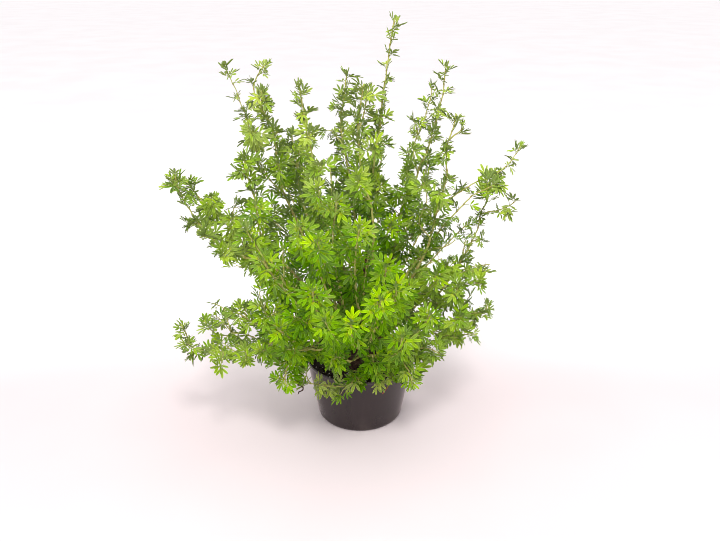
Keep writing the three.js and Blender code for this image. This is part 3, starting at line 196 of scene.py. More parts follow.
80,61,-5,95,25,4287,88,-18,122,-22,14,70,4157,149,12,99,-3,26,60,4067,262,-37,102,-10,6,66,3915,112,59,108,-14,17,63,3774,253,-40,112,-6,0,76,3665,309,-15,87,
11,0,68,3530,151,51,124,34,10,61,3368,185,-6,111,-50,16,78,3242,300,3,113,-45,8,71,3126,170,40,135,11,4,69,2916,253,-19,132,-4,0,68,2778,192,-13,131,56,6,62,
2662,268,-16,125,-28,3,62,2490,303,-26,137,-48,28,57,2369,142,35,121,40,6,51,2201,215,19,122,2,4,64,2101,99,41,122,26,15,65,1929,229,-23,122,38,22,71,1779,
303,-31,110,-38,14,50,1602,193,13,134,26,27,71,1406,259,-23,105,17,8,75,1249,151,3,103,46,2,57,1050,198,40,120,26,26,49,4164,230,56,80,40,9,46,4041,37,16,93,
-1,29,56,3940,205,51,104,-28,23,58,3827,228,-7,80,8,11,64,3676,43,60,94,-22,22,60,3501,242,-5,98,26,34,56,3415,106,21,87,48,7,59,3236,297,59,102,-16,34,46,
3100,39,27,101,10,23,57,2947,130,12,110,32,35,33,2799,21,57,121,-31,10,55,2660,223,67,88,-37,34,60,2512,121,71,118,18,35,67,2361,356,-4,102,-28,8,45,2238,256,
22,98,7,16,56,2079,320,-1,101,-34,10,37,1908,230,13,109,20,26,46,1752,164,62,120,23,38,42,1608,230,-4,107,44,0,57,1428,187,-17,106,23,28,53,1242,125,10,105,
47,13,60,1035,314,-8,125,-30,6,58,4186,181,58,116,-7,12,49,3914,218,51,76,48,35,60,3800,340,7,101,-43,22,58,3679,93,15,106,-33,27,44,3507,242,14,75,21,13,49,
3391,266,51,107,-40,23,62,3235,353,11,73,21,33,63,3081,85,30,96,-16,48,60,2952,253,19,95,-37,23,51,2631,188,-16,108,54,39,54,2504,53,56,106,-32,11,57,3944,
155,48,109,-18,19,49,3803,194,3,112,-19,15,53,3644,73,-9,80,-14,27,50,3338,209,-4,99,39,38,51,3237,95,71,107,18,20,47,3144,155,32,94,12,22,32,2798,27,7,107,
-40,11,54,2371,194,51,102,16,24,49]),
('AA','stem_right_tall','leaves_top_8',0,
[90,60,810,103,68,899,115,76,988,129,84,1077,145,95,1165,164,106,1253,184,119,1340,204,132,1427,224,145,1514,246,159,1601,269,174,1687,294,190,1772,321,207,
1857,347,224,1941,373,240,2027,396,254,2112,419,267,2199,442,280,2285,463,292,2372,483,302,2460,502,310,2548,519,317,2636,535,325,2725,545,332,2814,555,340,
2904,568,348,2993,582,356,3081,611,364,3166,660,372,3242,704,380,3320,743,388,3401,775,396,3485,798,404,3572,817,413,3660,843,421,3746,888,429,3824,923,437,
3906,951,446,3992,973,454,4079,992,463,4167,1012,471,4255,1042,480,4339,1062,488,4427,1077,497,4515,1102,506,4602,1123,515,4689,1128,523,4778,1131,532,4868,
1140,541,4958,1148,550,5047],
[4395,146,29,95,-3,73,48,4362,304,66,92,-38,59,38,4351,8,15,106,0,56,47,4294,94,5,100,16,9,70,4283,252,1,83,19,20,76,4249,133,10,101,-19,20,90,4421,170,80,62,
-11,95,25,4294,298,51,89,-27,22,63,4188,231,33,116,19,18,56,4081,286,-3,130,-15,8,69,3979,182,49,111,-11,18,81,3807,270,-30,132,-37,5,45,3699,75,-28,109,40,6,
52,3526,270,54,115,41,30,46,3418,307,20,99,-57,29,48,3255,145,9,92,-5,8,61,3141,16,14,128,-12,13,58,2946,166,59,94,27,5,65,2842,165,26,114,-40,0,60,2655,332,
-32,92,-28,19,52,2530,224,-23,124,50,4,57,2415,349,5,131,-22,7,64,2248,343,6,122,71,33,57,2085,163,7,121,29,10,60,1930,273,-20,116,-6,4,67,1743,177,-24,86,37,
0,74,1580,336,5,109,-34,14,65,1412,54,55,126,-66,14,68,1226,218,40,116,45,14,71,1096,4,36,116,-55,6,67,4079,26,29,88,16,14,59,3821,238,72,83,38,32,55,3692,88,
68,112,26,38,67,3532,264,-19,75,-31,8,62,3414,328,7,105,-8,24,68,3278,205,3,87,-19,13,52,3131,344,1,111,-14,1,59,2967,309,55,108,-31,24,56,2825,195,0,117,26,
13,49,2660,188,25,108,23,35,65,2547,70,63,113,-22,32,62,2370,264,4,70,17,13,53,2214,163,24,112,22,7,38,2114,34,33,109,-22,37,60,1935,181,50,82,-25,22,57,1749,
198,5,116,21,10,56,1571,192,35,118,-3,48,39,1424,98,62,98,29,19,59,1171,164,56,108,32,0,53,1089,95,50,99,-18,36,53,4064,344,0,100,-8,23,44,3826,345,-3,83,4,
14,39,3708,48,4,74,9,22,57,3558,270,0,93,-38,42,64,3397,253,-17,81,-9,12,51,3252,205,0,111,-15,11,49,3131,56,50,78,40,28,56,2971,157,10,113,48,44,69,2833,157,
27,97,-24,19,44,2692,305,-9,98,-4,14,63,2496,0,27,103,-31,12,56,2387,59,63,76,-22,18,47,2198,42,45,93,-14,20,48,2067,345,67,82,-52,30,46,1933,64,60,103,-20,
23,59,1614,106,68,97,-42,21,43,3822,188,42,102,-2,18,60,3680,247,9,99,-39,25,52,3576,51,10,74,31,13,52,3391,88,13,78,-33,18,44,3127,261,-9,74,-18,23,67,3007,
298,40,97,-50,45,51,2810,240,8,73,27,25,62,2401,12,4,110,-48,39,71,2242,342,28,112,-37,31,50,2084,119,52,107,-32,32,65,1915,176,60,91,22,29,52,1605,196,38,
107,-28,46,60,1421,166,57,111,24,12,49]),
('BL','stem_right_tall','leaves_top_8',0,
[90,60,810,103,68,899,115,76,988,129,84,1077,149,95,1165,167,107,1253,173,117,1342,174,125,1432,169,134,1522,160,143,1612,144,153,1700,120,162,1787,92,172,
1872,62,183,1957,30,196,2040,-3,210,2123,-39,224,2205,-76,240,2286,-114,258,2366,-150,279,2447,-186,302,2526,-223,327,2605,-259,355,2683,-292,387,2761,-320,
425,2838,-344,469,2913,-365,517,2987,-383,568,3059,-398,623,3130,-408,682,3197,-414,744,3263,-420,805,3330,-425,864,3398,-431,923,3466,-440,983,3533,-450,
1041,3601,-461,1100,3669],
[3231,79,24,92,36,79,42,3164,34,13,120,-34,43,56,3125,136,50,88,28,16,78,3127,337,6,118,-31,32,81,3077,52,7,131,51,26,68,3133,75,-32,85,-58,12,64,3015,79,-15,
118,3,27,63,2955,20,21,121,-29,1,73,2829,5,8,137,-50,23,73,2696,318,-26,85,41,14,66,2575,111,51,110,-12,0,49,2438,178,39,134,57,10,74,2269,236,-25,119,59,12,
75,2114,167,59,97,41,17,67,2020,195,10,134,5,27,70,1870,85,56,121,-9,23,52,1757,72,43,111,12,0,74,1625,38,56,131,-13,4,53,1435,4,-28,122,-46,28,51,1309,202,
-1,116,21,5,65,1133,24,9,117,-17,17,63,902,199,3,133,39,2,56,2981,84,34,100,-40,36,72,2914,328,30,72,-11,22,65,2808,154,12,108,-45,34,44,2671,211,32,117,-19,
17,56,2572,289,28,93,14,13,65,2409,104,63,101,8,21,63,2260,128,7,97,29,14,60,2165,331,42,97,48,11,46,2048,107,57,117,13,31,56,1936,27,41,114,-46,2,45,1765,16,
-2,101,-41,28,76,1601,29,40,112,9,6,67,1481,6,-7,108,-63,30,45,1243,23,57,111,-26,39,54,1131,106,63,108,-16,7,53,926,118,55,127,41,30,35,3016,349,7,72,17,18,
45,2943,43,5,96,9,18,43,2788,150,15,98,-6,29,41,2701,6,8,107,-17,13,53,2562,285,28,102,13,23,48,2372,59,41,105,-28,26,47,2286,288,57,114,-22,24,50,3026,34,58,
75,-32,12,43,2936,6,-2,102,17,42,62,2699,334,9,117,44,12,52,2408,28,31,107,-52,22,74,2294,192,18,121,41,5,73]),
('AE','stem_right_upper','leaves_top_9',0,
[140,0,810,164,-2,896,189,-4,981,220,-5,1064,255,-8,1146,285,-21,1229,313,-38,1312,340,-58,1394,367,-82,1476,394,-112,1555,420,-147,1632,446,-185,1709,472,
-224,1785,499,-261,1861,526,-299,1937,552,-338,2012,579,-375,2089,608,-408,2166,637,-436,2245,668,-460,2326,699,-480,2406,732,-497,2488,766,-508,2569,803,
-511,2650,838,-516,2732,870,-521,2814,898,-527,2899,916,-533,2986,933,-538,3073,951,-544,3160,964,-550,3248,976,-556,3336,989,-562,3424,1017,-568,3508,1039,
-574,3593,1054,-580,3681,1075,-586,3767,1090,-592,3855,1081,-598,3943,1074,-604,4031,1069,-611,4120,1065,-617,4209,1076,-623,4296,1104,-630,4381,1129,-637,
4466,1146,-643,4553,1153,-650,4641],
[4042,226,13,82,9,58,46,4004,301,37,83,8,72,32,3979,184,32,88,-6,50,52,3994,321,-10,87,4,3,59,3985,60,22,96,-3,4,72,3950,157,29,125,-23,4,93,3983,177,12,129,
1,32,74,3877,282,58,116,-50,30,65,3710,254,-29,99,-35,0,55,3634,276,-29,113,-35,14,53,3517,228,-24,99,15,29,70,3378,204,55,99,15,6,55,3203,303,53,104,33,0,72,
3093,58,-23,96,-46,6,57,2925,320,-12,111,-40,18,51,2761,98,-10,88,72,5,66,2643,137,-8,121,66,26,62,2513,281,-18,86,-6,4,53,2379,145,7,108,-45,11,53,2230,315,
38,102,30,5,68,2093,66,61,128,-14,22,72,1967,307,-25,127,-13,15,67,1829,50,39,128,-19,5,58,1681,47,52,120,-14,28,77,1494,330,-8,142,-39,23,78,1311,352,10,130,
-36,0,77,1110,303,-20,130,11,1,78,3754,275,7,69,25,19,56,3624,260,21,73,2,21,57,3485,168,22,85,-16,14,54,3327,260,12,72,40,8,71,3201,63,7,114,-29,22,57,3062,
271,33,74,-3,28,46,2889,267,72,83,45,13,53,2798,206,0,112,40,17,60,2639,277,3,96,-28,25,53,2532,239,-3,94,-16,31,59,2349,114,-4,78,-18,28,61,2247,229,-8,84,7,
18,47,2062,106,62,98,39,33,55,1969,155,0,74,48,42,72,1816,336,-5,114,-40,20,50,1677,72,25,67,-12,59,54,1475,66,59,96,20,15,55,1294,2,-1,103,-41,37,60,1123,
344,11,107,-50,12,64,3717,237,7,70,-41,26,49,3592,232,30,89,24,15,33,3516,203,0,73,-28,11,64,3224,256,13,84,4,31,67,2916,229,-6,95,13,10,50,2818,7,2,99,-45,
33,67,2660,246,-5,114,30,34,49,2511,123,0,90,-51,33,64,2383,325,6,78,-34,10,62,2242,194,34,78,-14,13,58,2115,207,36,114,-38,20,54,1844,231,58,84,-34,11,60,
2914,349,8,104,22,15,56,2660,244,67,69,34,28,45,2499,186,49,81,-23,8,50,2327,23,22,111,6,35,53,2251,61,38,91,13,28,57,1819,181,36,70,12,12,60,1337,333,1,124,
-7,31,64]),
('AH','stem_right_upper','leaves_right_2',0,
[140,0,810,165,-2,897,190,-4,983,222,-6,1067,256,-9,1150,283,-20,1235,305,-33,1322,326,-49,1408,347,-66,1493,368,-86,1579,386,-110,1664,404,-136,1748,424,
-161,1832,448,-183,1916,477,-202,1999,509,-219,2081,544,-234,2163,582,-246,2244,623,-254,2323,670,-255,2400,718,-256,2476,768,-258,2551,818,-261,2626,866,
-263,2702,914,-265,2778,964,-268,2853,1014,-270,2928,1063,-272,3003,1113,-275,3078,1167,-277,3150,1227,-280,3217,1284,-282,3287,1342,-285,3356,1401,-287,3423,
1459,-290,3492,1532,-292,3544,1614,-295,3581,1693,-297,3624,1771,-300,3668],
[3384,128,82,112,-31,52,34,3339,200,37,123,-3,50,32,3341,312,27,100,-40,50,59,3289,143,0,122,32,5,66,3258,288,-14,98,-35,24,80,3281,55,34,115,-38,0,68,3416,
135,80,62,13,95,25,3416,315,80,62,-11,95,25,3294,186,11,135,-72,28,76,3161,114,29,120,-10,35,65,3064,133,-24,115,-2,14,48,2923,5,11,114,-26,40,83,2793,155,-6,
101,7,8,64,2654,276,10,98,-26,22,39,2553,59,-26,137,42,23,69,2389,184,-20,110,27,0,54,2262,250,-31,137,26,0,59,2153,96,-9,112,73,31,71,2010,172,-13,129,-1,5,
52,1837,111,24,133,57,0,63,1728,184,52,93,30,4,60,1564,356,32,122,-53,12,73,1438,84,73,126,-28,14,53,1217,196,-11,87,8,0,62,1078,316,-13,95,-37,2,64,922,129,
-1,129,21,11,78,3207,11,-3,97,-26,22,58,3086,211,10,63,-1,6,47,2836,168,-8,111,-14,33,70,2693,310,-7,67,-14,20,63,2520,23,2,64,-51,53,61,2455,83,2,120,-13,11,
50,2285,279,62,75,-45,15,63,2180,84,47,102,26,13,49,1992,192,33,103,26,17,48,1903,69,60,92,33,6,41,1708,0,58,116,-17,29,50,1553,144,57,74,-33,17,64,1419,168,
7,110,21,24,50,1248,210,-2,121,43,27,47,1030,206,-6,95,25,31,66,934,265,11,120,31,2,51,3235,343,60,124,-2,0,48,2521,265,66,68,14,7,38,2429,275,55,77,18,11,57,
2289,299,52,85,25,17,54,2176,338,5,79,-18,24,62,2011,72,48,109,10,13,44,1817,153,55,71,19,12,50,1554,181,-8,107,27,9,50,3194,61,-3,87,18,11,48,2793,177,26,80,
-6,32,42,2580,265,2,83,31,9,54,2451,205,28,86,32,18,58,2301,94,21,73,17,18,57,2152,195,52,87,-16,3,52,1952,30,34,87,-42,49,63,1877,153,65,106,-14,37,61]),
('AJ','stem_right_upper','leaves_right_3',0,
[140,0,810,165,-2,897,191,-4,985,219,-7,1071,256,-10,1154,312,-12,1225,375,-13,1290,442,-13,1352,511,-13,1411,584,-11,1465,661,-8,1514,737,-5,1563,812,0,1614,
885,5,1669,955,12,1727,1020,19,1790,1079,25,1858,1135,32,1929,1189,38,2003,1239,44,2078,1288,51,2155,1337,57,2231,1382,64,2310,1421,70,2391,1460,77,2473,1503,
83,2553,1547,90,2632,1577,96,2718,1612,103,2801,1645,110,2886,1661,116,2975,1668,123,3065,1686,130,3153,1729,136,3233,1760,143,3317,1775,150,3407],
[3147,89,56,112,20,61,38,3109,134,35,126,24,68,56,3087,239,21,108,-34,46,44,3067,135,15,105,21,15,61,3092,175,22,117,19,12,87,3041,18,31,96,45,9,80,3177,87,
80,62,-13,95,25,3177,267,80,62,-6,95,25,3039,128,-21,126,-20,23,62,2906,240,-31,99,-37,10,58,2825,266,-36,103,-41,3,56,2674,269,38,99,4,3,56,2537,202,-12,90,
-34,8,55,2451,181,62,105,1,16,51,2266,282,-31,101,-40,11,58,2131,283,7,126,11,9,59,1963,85,61,124,-11,21,76,1862,67,50,119,-21,4,70,1661,323,59,120,44,4,64,
1531,161,-15,112,61,0,54,1376,320,-2,96,-60,22,76,1232,94,14,85,56,0,65,1075,236,25,94,-31,16,72,909,223,54,105,10,11,82,2909,222,-12,95,-27,13,65,2826,262,
19,83,-21,15,72,2671,180,-7,64,-10,29,60,2309,30,-13,74,7,32,56,2103,337,46,105,-16,29,73,1953,195,62,98,16,18,61,1829,330,61,112,-19,35,56,1690,326,55,96,16,
20,57,1561,147,7,109,24,14,55,1394,321,7,104,-35,28,46,1227,243,-2,103,7,12,56,1075,341,57,72,-31,21,55,921,204,-11,99,-31,15,37,2957,267,55,89,-51,46,60,
2814,254,36,109,-38,19,52,2678,54,36,83,29,19,57,2124,260,61,84,-21,35,55,1990,149,21,115,-28,24,58,1504,261,-8,101,-4,36,53,1361,13,58,113,-47,29,59,1234,
244,54,74,-34,32,61,1069,287,1,97,-20,20,60,897,7,56,99,-37,46,51,2802,318,38,93,5,31,44,2709,119,11,117,-9,5,51,2147,51,46,98,-43,11,65,1676,121,61,84,-38,
22,51,1392,317,-4,98,-49,23,53,1233,277,68,107,-25,37,65,903,71,47,108,26,14,45]),
('AO','stem_right_low','leaves_right_4',0,
[130,-90,810,171,-118,884,218,-150,953,274,-183,1015,332,-214,1076,391,-244,1136,453,-272,1194,517,-299,1251,585,-323,1304,657,-343,1353,731,-361,1400,807,
-377,1444,884,-391,1487,963,-402,1529,1043,-407,1567,1124,-410,1606,1201,-414,1651,1276,-419,1700,1349,-423,1752,1425,-428,1799,1506,-432,1836,1593,-437,1857,
1681,-442,1867,1744,-446,1928,1749,-450,2017],
[2091,162,65,83,-43,66,39,2056,277,25,95,-52,53,48,2053,37,36,103,38,25,42,2013,219,-9,97,-5,35,52,1989,272,-5,90,-26,0,69,1998,32,12,104,26,17,80,2142,169,
80,62,-8,95,25,2142,349,80,62,-8,95,25,2015,296,4,89,12,12,58,1874,249,-28,104,-11,4,62,1799,20,46,114,-36,10,47,1632,166,-9,105,18,0,46,1525,58,43,110,-22,
27,71,1352,89,6,112,62,14,37,1251,291,60,118,-63,23,71,1090,309,12,109,49,5,67,938,183,-15,102,59,29,66,798,351,58,124,-30,0,53,1903,214,20,109,-36,15,59,
1798,329,26,98,-14,27,50,1684,272,58,106,-15,22,62,1555,293,16,114,23,25,66,1365,4,61,95,7,21,49,1227,272,8,105,26,16,47,1115,5,59,88,22,18,60,966,123,48,100,
26,17,34,777,307,32,116,-17,16,54,1907,280,47,120,-16,41,63,1778,159,22,105,10,12,60,1665,305,62,125,-49,14,35,1520,294,27,113,9,24,56,1356,139,10,97,-18,14,
60,1232,15,-5,85,-14,16,46,945,270,55,114,10,7,63,1914,220,61,103,25,22,58,1796,0,61,99,4,16,64,1662,303,4,113,-15,11,61,1244,65,-2,80,20,15,52]),
('AQ','stem_right_low','leaves_right_5',0,
[130,-90,810,171,-117,884,220,-146,952,265,-190,1015,297,-246,1077,325,-304,1138,354,-364,1197,384,-426,1254,417,-488,1308,455,-553,1356,496,-619,1399,538,
-688,1437,583,-756,1473,631,-823,1507,685,-885,1541,750,-935,1575,826,-970,1605,904,-1011,1619,981,-1055,1614,1053,-1100,1589],
[1670,330,30,91,37,59,32,1622,92,25,108,26,63,41,1578,249,26,105,-36,50,65,1580,36,19,113,9,13,63,1559,94,2,121,-1,20,72,1528,276,-17,102,9,4,83,1688,16,80,
59,4,95,25,1688,196,80,59,12,95,25,1545,240,-32,134,-36,23,66,1450,62,-12,87,0,20,51,1335,227,-15,129,10,19,59,1244,31,21,119,-35,43,65,1081,154,1,123,-5,17,
57,968,307,45,146,12,24,58,824,67,22,126,16,7,84,1449,344,51,73,13,19,44,1335,316,8,110,-16,17,47,1229,314,28,104,-20,10,65,1137,104,13,109,8,34,60,958,97,-7,
110,-30,24,42,858,87,19,131,5,27,66,1489,289,-7,121,0,28,32,1354,277,-7,122,-14,36,48,1227,37,26,111,-27,36,60,1472,134,28,100,1,18,51,1332,23,53,97,9,20,62,
1228,323,29,113,-19,24,54,1123,322,29,109,-13,18,33]),
('AR','stem_right_low','leaves_right_6',0,
[130,-90,810,171,-117,883,221,-145,950,259,-189,1014,277,-245,1081,288,-303,1146,298,-364,1209,308,-428,1269,321,-496,1324,339,-570,1368,358,-649,1401,378,
-732,1424,400,-815,1442,428,-898,1453,477,-970,1451,551,-1006,1421,609,-1048,1371,653,-1092,1308,680,-1136,1237,692,-1180,1161],
[1639,106,40,94,11,48,32,1580,243,27,101,-41,46,52,1572,293,51,129,42,44,45,1528,60,-13,95,0,42,56,1527,239,-18,123,-10,32,59,1474,67,-9,125,20,20,75,1669,
128,80,59,5,95,25,1508,245,-18,122,-15,19,59,1401,190,-23,92,-13,38,57,1282,271,-6,120,-12,35,48,1214,350,53,109,-40,2,62,1080,168,-30,122,-17,6,65,964,271,
-13,84,39,12,51,817,107,22,121,50,4,73,1416,14,25,77,18,21,45,1325,237,4,110,6,25,56,1196,292,1,99,-51,33,48,1057,220,-3,77,-15,22,52,983,141,-1,100,19,44,47,
833,166,-4,112,5,8,68,1388,80,7,84,14,5,58,1323,302,60,90,-22,22,74,1439,230,41,104,-33,40,56,1328,280,30,90,-42,29,52]),
('L','stem_front_left','leaves_left_1',0,
[-90,-130,810,-121,-163,887,-154,-201,962,-194,-244,1029,-233,-281,1101,-272,-317,1174,-311,-350,1247,-352,-382,1321,-395,-412,1393,-439,-441,1466,-485,-468,
1539,-530,-493,1612,-576,-518,1685,-622,-541,1759,-668,-562,1832,-714,-583,1907,-759,-602,1982,-804,-620,2057,-849,-637,2133,-892,-652,2210,-934,-665,2289,
-973,-676,2369,-1010,-686,2450,-1047,-694,2531,-1085,-702,2612,-1125,-708,2693,-1164,-712,2773,-1198,-717,2856,-1226,-722,2941,-1250,-728,3027,-1269,-733,
3115,-1282,-738,3203,-1292,-744,3293,-1296,-749,3382,-1298,-754,3472,-1303,-760,3561,-1317,-765,3649,-1341,-771,3736,-1362,-777,3823,-1379,-783,3910,-1392,
-788,3999,-1397,-794,4088,-1401,-800,4178],
[3749,43,28,98,2,69,35,3678,274,31,97,18,80,44,3661,3,18,91,-48,58,62,3646,164,9,87,16,20,64,3627,319,-11,112,-38,4,71,3610,25,35,123,-31,10,75,3766,161,80,
61,-14,95,25,3766,341,80,61,-8,95,25,3608,266,-33,117,-30,24,64,3511,214,5,102,30,8,46,3424,332,-16,122,-33,18,49,3277,42,67,133,-37,10,49,3144,227,11,123,
-44,4,80,2981,331,-9,83,2,14,61,2885,203,9,130,28,0,55,2682,352,-28,128,-19,10,57,2546,12,-9,119,-39,16,56,2410,161,33,140,27,26,81,2322,67,67,139,52,5,46,
2170,53,26,129,-13,26,65,2020,14,32,85,-26,5,66,1859,29,42,101,-53,0,75,1741,236,-14,134,41,26,49,1597,33,36,116,-51,16,48,1425,204,34,98,-45,5,61,1280,220,
56,105,58,9,67,1101,9,33,127,45,7,48,922,201,0,91,17,0,40,3557,136,58,99,33,12,40,3427,64,51,111,-16,27,40,3302,208,3,118,-21,24,54,3165,31,22,118,-10,9,63,
3023,193,36,96,21,9,56,2884,282,22,77,-14,32,44,2669,345,3,107,-21,17,43,2573,350,65,72,14,34,51,2472,82,46,124,-7,5,55,2297,333,54,115,25,26,60,2163,118,33,
114,37,15,52,2033,231,0,101,14,17,47,1875,256,-6,107,-12,1,57,1707,212,-7,101,6,19,69,1606,191,1,116,15,5,61,1402,130,22,106,15,13,65,1221,245,-11,91,27,35,
39,1133,111,34,106,13,21,49,923,197,-1,82,7,14,52,3541,242,-16,126,28,48,49,3402,354,5,106,18,11,46,3283,125,56,76,-17,19,53,3147,40,-2,107,11,19,55,3011,344,
46,70,-56,12,46,2867,344,9,73,58,41,44,2698,164,23,101,9,24,54,2567,25,-4,122,-35,2,57,2427,42,34,69,-40,22,46,3521,14,66,111,-25,35,59,3408,319,5,81,-31,16,
54,3274,256,71,96,8,19,74,3121,46,10,71,-4,46,54,3026,234,20,83,19,26,62,2886,175,4,110,-32,18,58,2728,64,30,84,17,16,42,2518,32,1,115,-49,20,58,2436,172,50,
111,22,15,41,2274,170,40,82,49,37,59]),
('BI','stem_front_left','leaves_front_3',0,
[-90,-130,810,-121,-164,888,-155,-201,964,-196,-245,1032,-233,-286,1104,-270,-325,1178,-307,-364,1251,-344,-404,1324,-383,-444,1396,-421,-484,1467,-461,-525,
1539,-500,-565,1610,-539,-605,1682,-578,-646,1753,-617,-686,1825,-655,-726,1897,-694,-765,1969,-731,-805,2042,-768,-844,2115,-805,-882,2189,-843,-920,2262,
-882,-958,2335,-922,-995,2408,-961,-1032,2481,-998,-1069,2555,-1033,-1107,2630,-1066,-1145,2706,-1098,-1183,2782,-1128,-1222,2858,-1157,-1261,2935,-1185,
-1300,3013],
[2713,56,33,100,-37,49,47,2703,160,29,114,29,66,42,2661,236,10,113,25,48,61,2600,33,4,124,-22,11,56,2569,270,-12,112,-11,31,74,2548,352,-3,113,-8,3,88,2724,
80,80,59,6,95,25,2724,260,80,59,7,95,25,2588,161,72,96,-17,34,62,2451,230,-19,122,26,20,67,2349,261,-38,136,19,21,63,2183,226,-22,116,46,5,56,2065,302,-32,
121,-29,0,65,1960,62,57,125,-23,18,52,1776,235,-1,130,29,10,71,1646,76,61,125,16,2,76,1515,133,33,127,1,10,64,1380,194,5,119,48,12,65,1236,119,5,111,3,4,63,
1090,242,56,109,45,3,63,893,327,63,96,43,0,52,713,164,3,107,36,4,53,2496,79,34,96,32,15,49,2357,219,-9,92,-11,38,66,2195,194,-6,96,19,17,45,2094,226,-4,110,
36,15,60,1934,226,24,92,38,11,66,1797,188,-5,104,53,19,59,1677,208,-6,119,-18,11,58,1535,197,53,125,-1,16,37,1383,196,31,127,11,14,47,1227,245,22,112,32,12,
47,1076,129,7,101,6,37,60,891,126,27,104,9,12,53,725,225,1,113,14,37,40,2477,211,3,122,26,49,49,2378,220,-12,112,22,19,68,2095,247,0,102,2,6,55,1965,200,13,
114,42,34,59,1800,217,-15,111,27,8,44,2445,153,41,101,44,16,64,2306,115,22,105,8,44,56,2224,232,20,104,34,21,47,2077,10,28,105,-44,9,42,1974,208,8,109,26,34,
42,1807,217,8,129,12,13,61,1664,103,52,95,2,9,65,1511,84,43,111,-15,11,49,1388,170,10,117,48,41,42]),
('U','stem_front_left','leaves_front_1',0,
[-90,-130,810,-121,-164,888,-155,-200,963,-194,-243,1032,-239,-296,1088,-286,-353,1141,-334,-411,1191,-382,-469,1240,-432,-527,1288,-482,-585,1336,-533,-642,
1382,-586,-701,1427,-639,-759,1470,-693,-816,1516,-746,-870,1564,-799,-918,1618,-852,-959,1679,-902,-995,1744,-951,-1032,1811,-998,-1071,1878,-1042,-1110,
1946,-1080,-1148,2018,-1113,-1186,2093,-1142,-1224,2169,-1171,-1262,2246,-1198,-1300,2323],
[2203,164,64,119,35,66,32,2241,15,29,117,-44,48,48,2224,123,43,105,-32,34,53,2143,224,24,118,42,7,64,2088,29,-6,98,-35,9,76,2101,195,30,116,14,21,65,2251,234,
80,59,-1,95,25,2251,54,80,59,-14,95,25,2118,246,-34,120,17,40,66,2003,99,43,109,-20,38,65,1892,225,-4,132,1,41,72,1756,303,-21,86,8,29,70,1609,144,59,122,31,
10,53,1491,28,-9,106,-21,0,49,1293,36,-14,111,-6,29,82,1196,241,-13,126,10,10,60,1083,355,-26,118,-46,18,61,894,197,52,92,-22,7,62,732,239,-21,116,27,6,76,
1991,44,27,91,-56,12,46,1876,181,34,93,14,9,51,1788,55,46,103,-60,14,56,1605,111,51,99,16,23,57,1445,81,43,100,-26,16,44,1345,267,-4,111,22,26,69,1210,303,32,
76,21,21,48,1079,206,23,81,16,25,47,921,352,52,91,-12,20,63,745,255,3,104,19,19,48,1989,152,24,107,15,10,65,1877,58,5,106,-30,28,50,1762,209,47,119,41,32,38,
724,258,-9,113,-18,23,60,1988,46,-15,91,-8,25,58,1869,141,48,107,28,12,68,1764,148,61,122,48,18,60]),
('V','stem_front_left','leaves_front_2',0,
[-90,-130,810,-121,-164,889,-157,-201,965,-197,-245,1034,-222,-303,1101,-240,-365,1166,-257,-429,1230,-275,-494,1291,-297,-561,1350,-327,-629,1404,-364,-699,
1449,-406,-771,1487,-451,-843,1520,-502,-914,1551,-560,-978,1580,-631,-1025,1611,-716,-1046,1637,-802,-1074,1628,-876,-1103,1582,-924,-1133,1511,-959,-1162,
1432,-981,-1192,1348,-989,-1221,1261,-977,-1250,1176],
[2050,300,40,105,9,31,48,2020,130,40,112,-39,78,49,1998,247,17,112,28,56,50,1970,90,-13,111,-2,2,69,1952,145,58,84,-28,15,68,1905,261,-7,108,25,40,87,2101,51,
80,59,-16,95,25,2101,231,80,59,6,95,25,2008,300,56,108,-20,32,65,1834,106,-26,103,-4,26,66,1700,271,2,126,14,11,74,1660,281,73,108,72,11,72,1498,69,-16,107,
-38,14,58,1331,268,43,127,55,8,59,1243,81,-3,131,-21,16,69,1063,222,14,119,16,3,62,934,223,30,127,17,3,78,793,185,-7,121,17,25,69,1854,248,-2,88,22,43,62,
1724,47,16,101,-25,23,56,1651,238,35,98,36,22,47,1503,286,39,109,37,30,52,1366,284,25,108,25,13,58,1234,246,7,82,-12,10,51,1106,316,-4,101,38,46,50,933,189,9,
101,29,12,50,760,212,-12,109,32,10,63,1880,159,-3,111,6,22,51,1754,82,32,96,10,23,50,1625,254,68,112,10,14,53,1890,211,27,103,-29,14,54,1758,260,12,113,36,31,
53,1685,95,14,115,4,6,49]),
('C','stem_front_centre','leaves_top_3',0,
[-20,-90,810,-26,-110,898,-32,-130,985,-40,-154,1071,-49,-183,1156,-50,-207,1243,-48,-230,1330,-43,-252,1418,-37,-273,1505,-27,-293,1592,-13,-312,1679,3,-331,
1766,22,-348,1852,40,-365,1939,59,-380,2025,77,-394,2112,96,-408,2199,115,-420,2287,132,-430,2374,147,-438,2463,157,-444,2552,165,-448,2642,172,-450,2732,177,
-450,2822,181,-449,2912,185,-445,3002,185,-440,3091,175,-436,3181,162,-432,3270,154,-428,3360,140,-424,3448,111,-420,3533,75,-416,3616,37,-412,3698,19,-408,
3785,11,-403,3875,3,-399,3965,-2,-395,4054,-7,-390,4144,-17,-386,4234,-23,-382,4323,-25,-377,4413,-22,-373,4503,-9,-368,4592,5,-364,4681,16,-359,4770,32,-355,
4859,43,-350,4948],
[4174,50,17,87,24,62,37,4193,187,21,112,-24,54,43,4138,324,37,99,0,57,51,4096,131,-4,95,31,22,73,4117,148,-8,104,6,0,81,4073,324,-12,109,-25,29,73,4070,27,
-13,103,-41,21,51,3993,185,1,132,-44,38,59,3884,303,31,128,17,12,64,3744,246,68,97,16,30,62,3622,8,1,110,-50,35,52,3485,157,41,132,42,12,56,3370,173,21,131,
62,12,79,3228,305,-14,116,-34,3,60,3120,179,56,121,66,20,48,2937,19,58,120,-22,0,62,2765,174,-23,126,20,42,80,2627,158,4,112,51,6,55,2489,105,59,115,8,4,63,
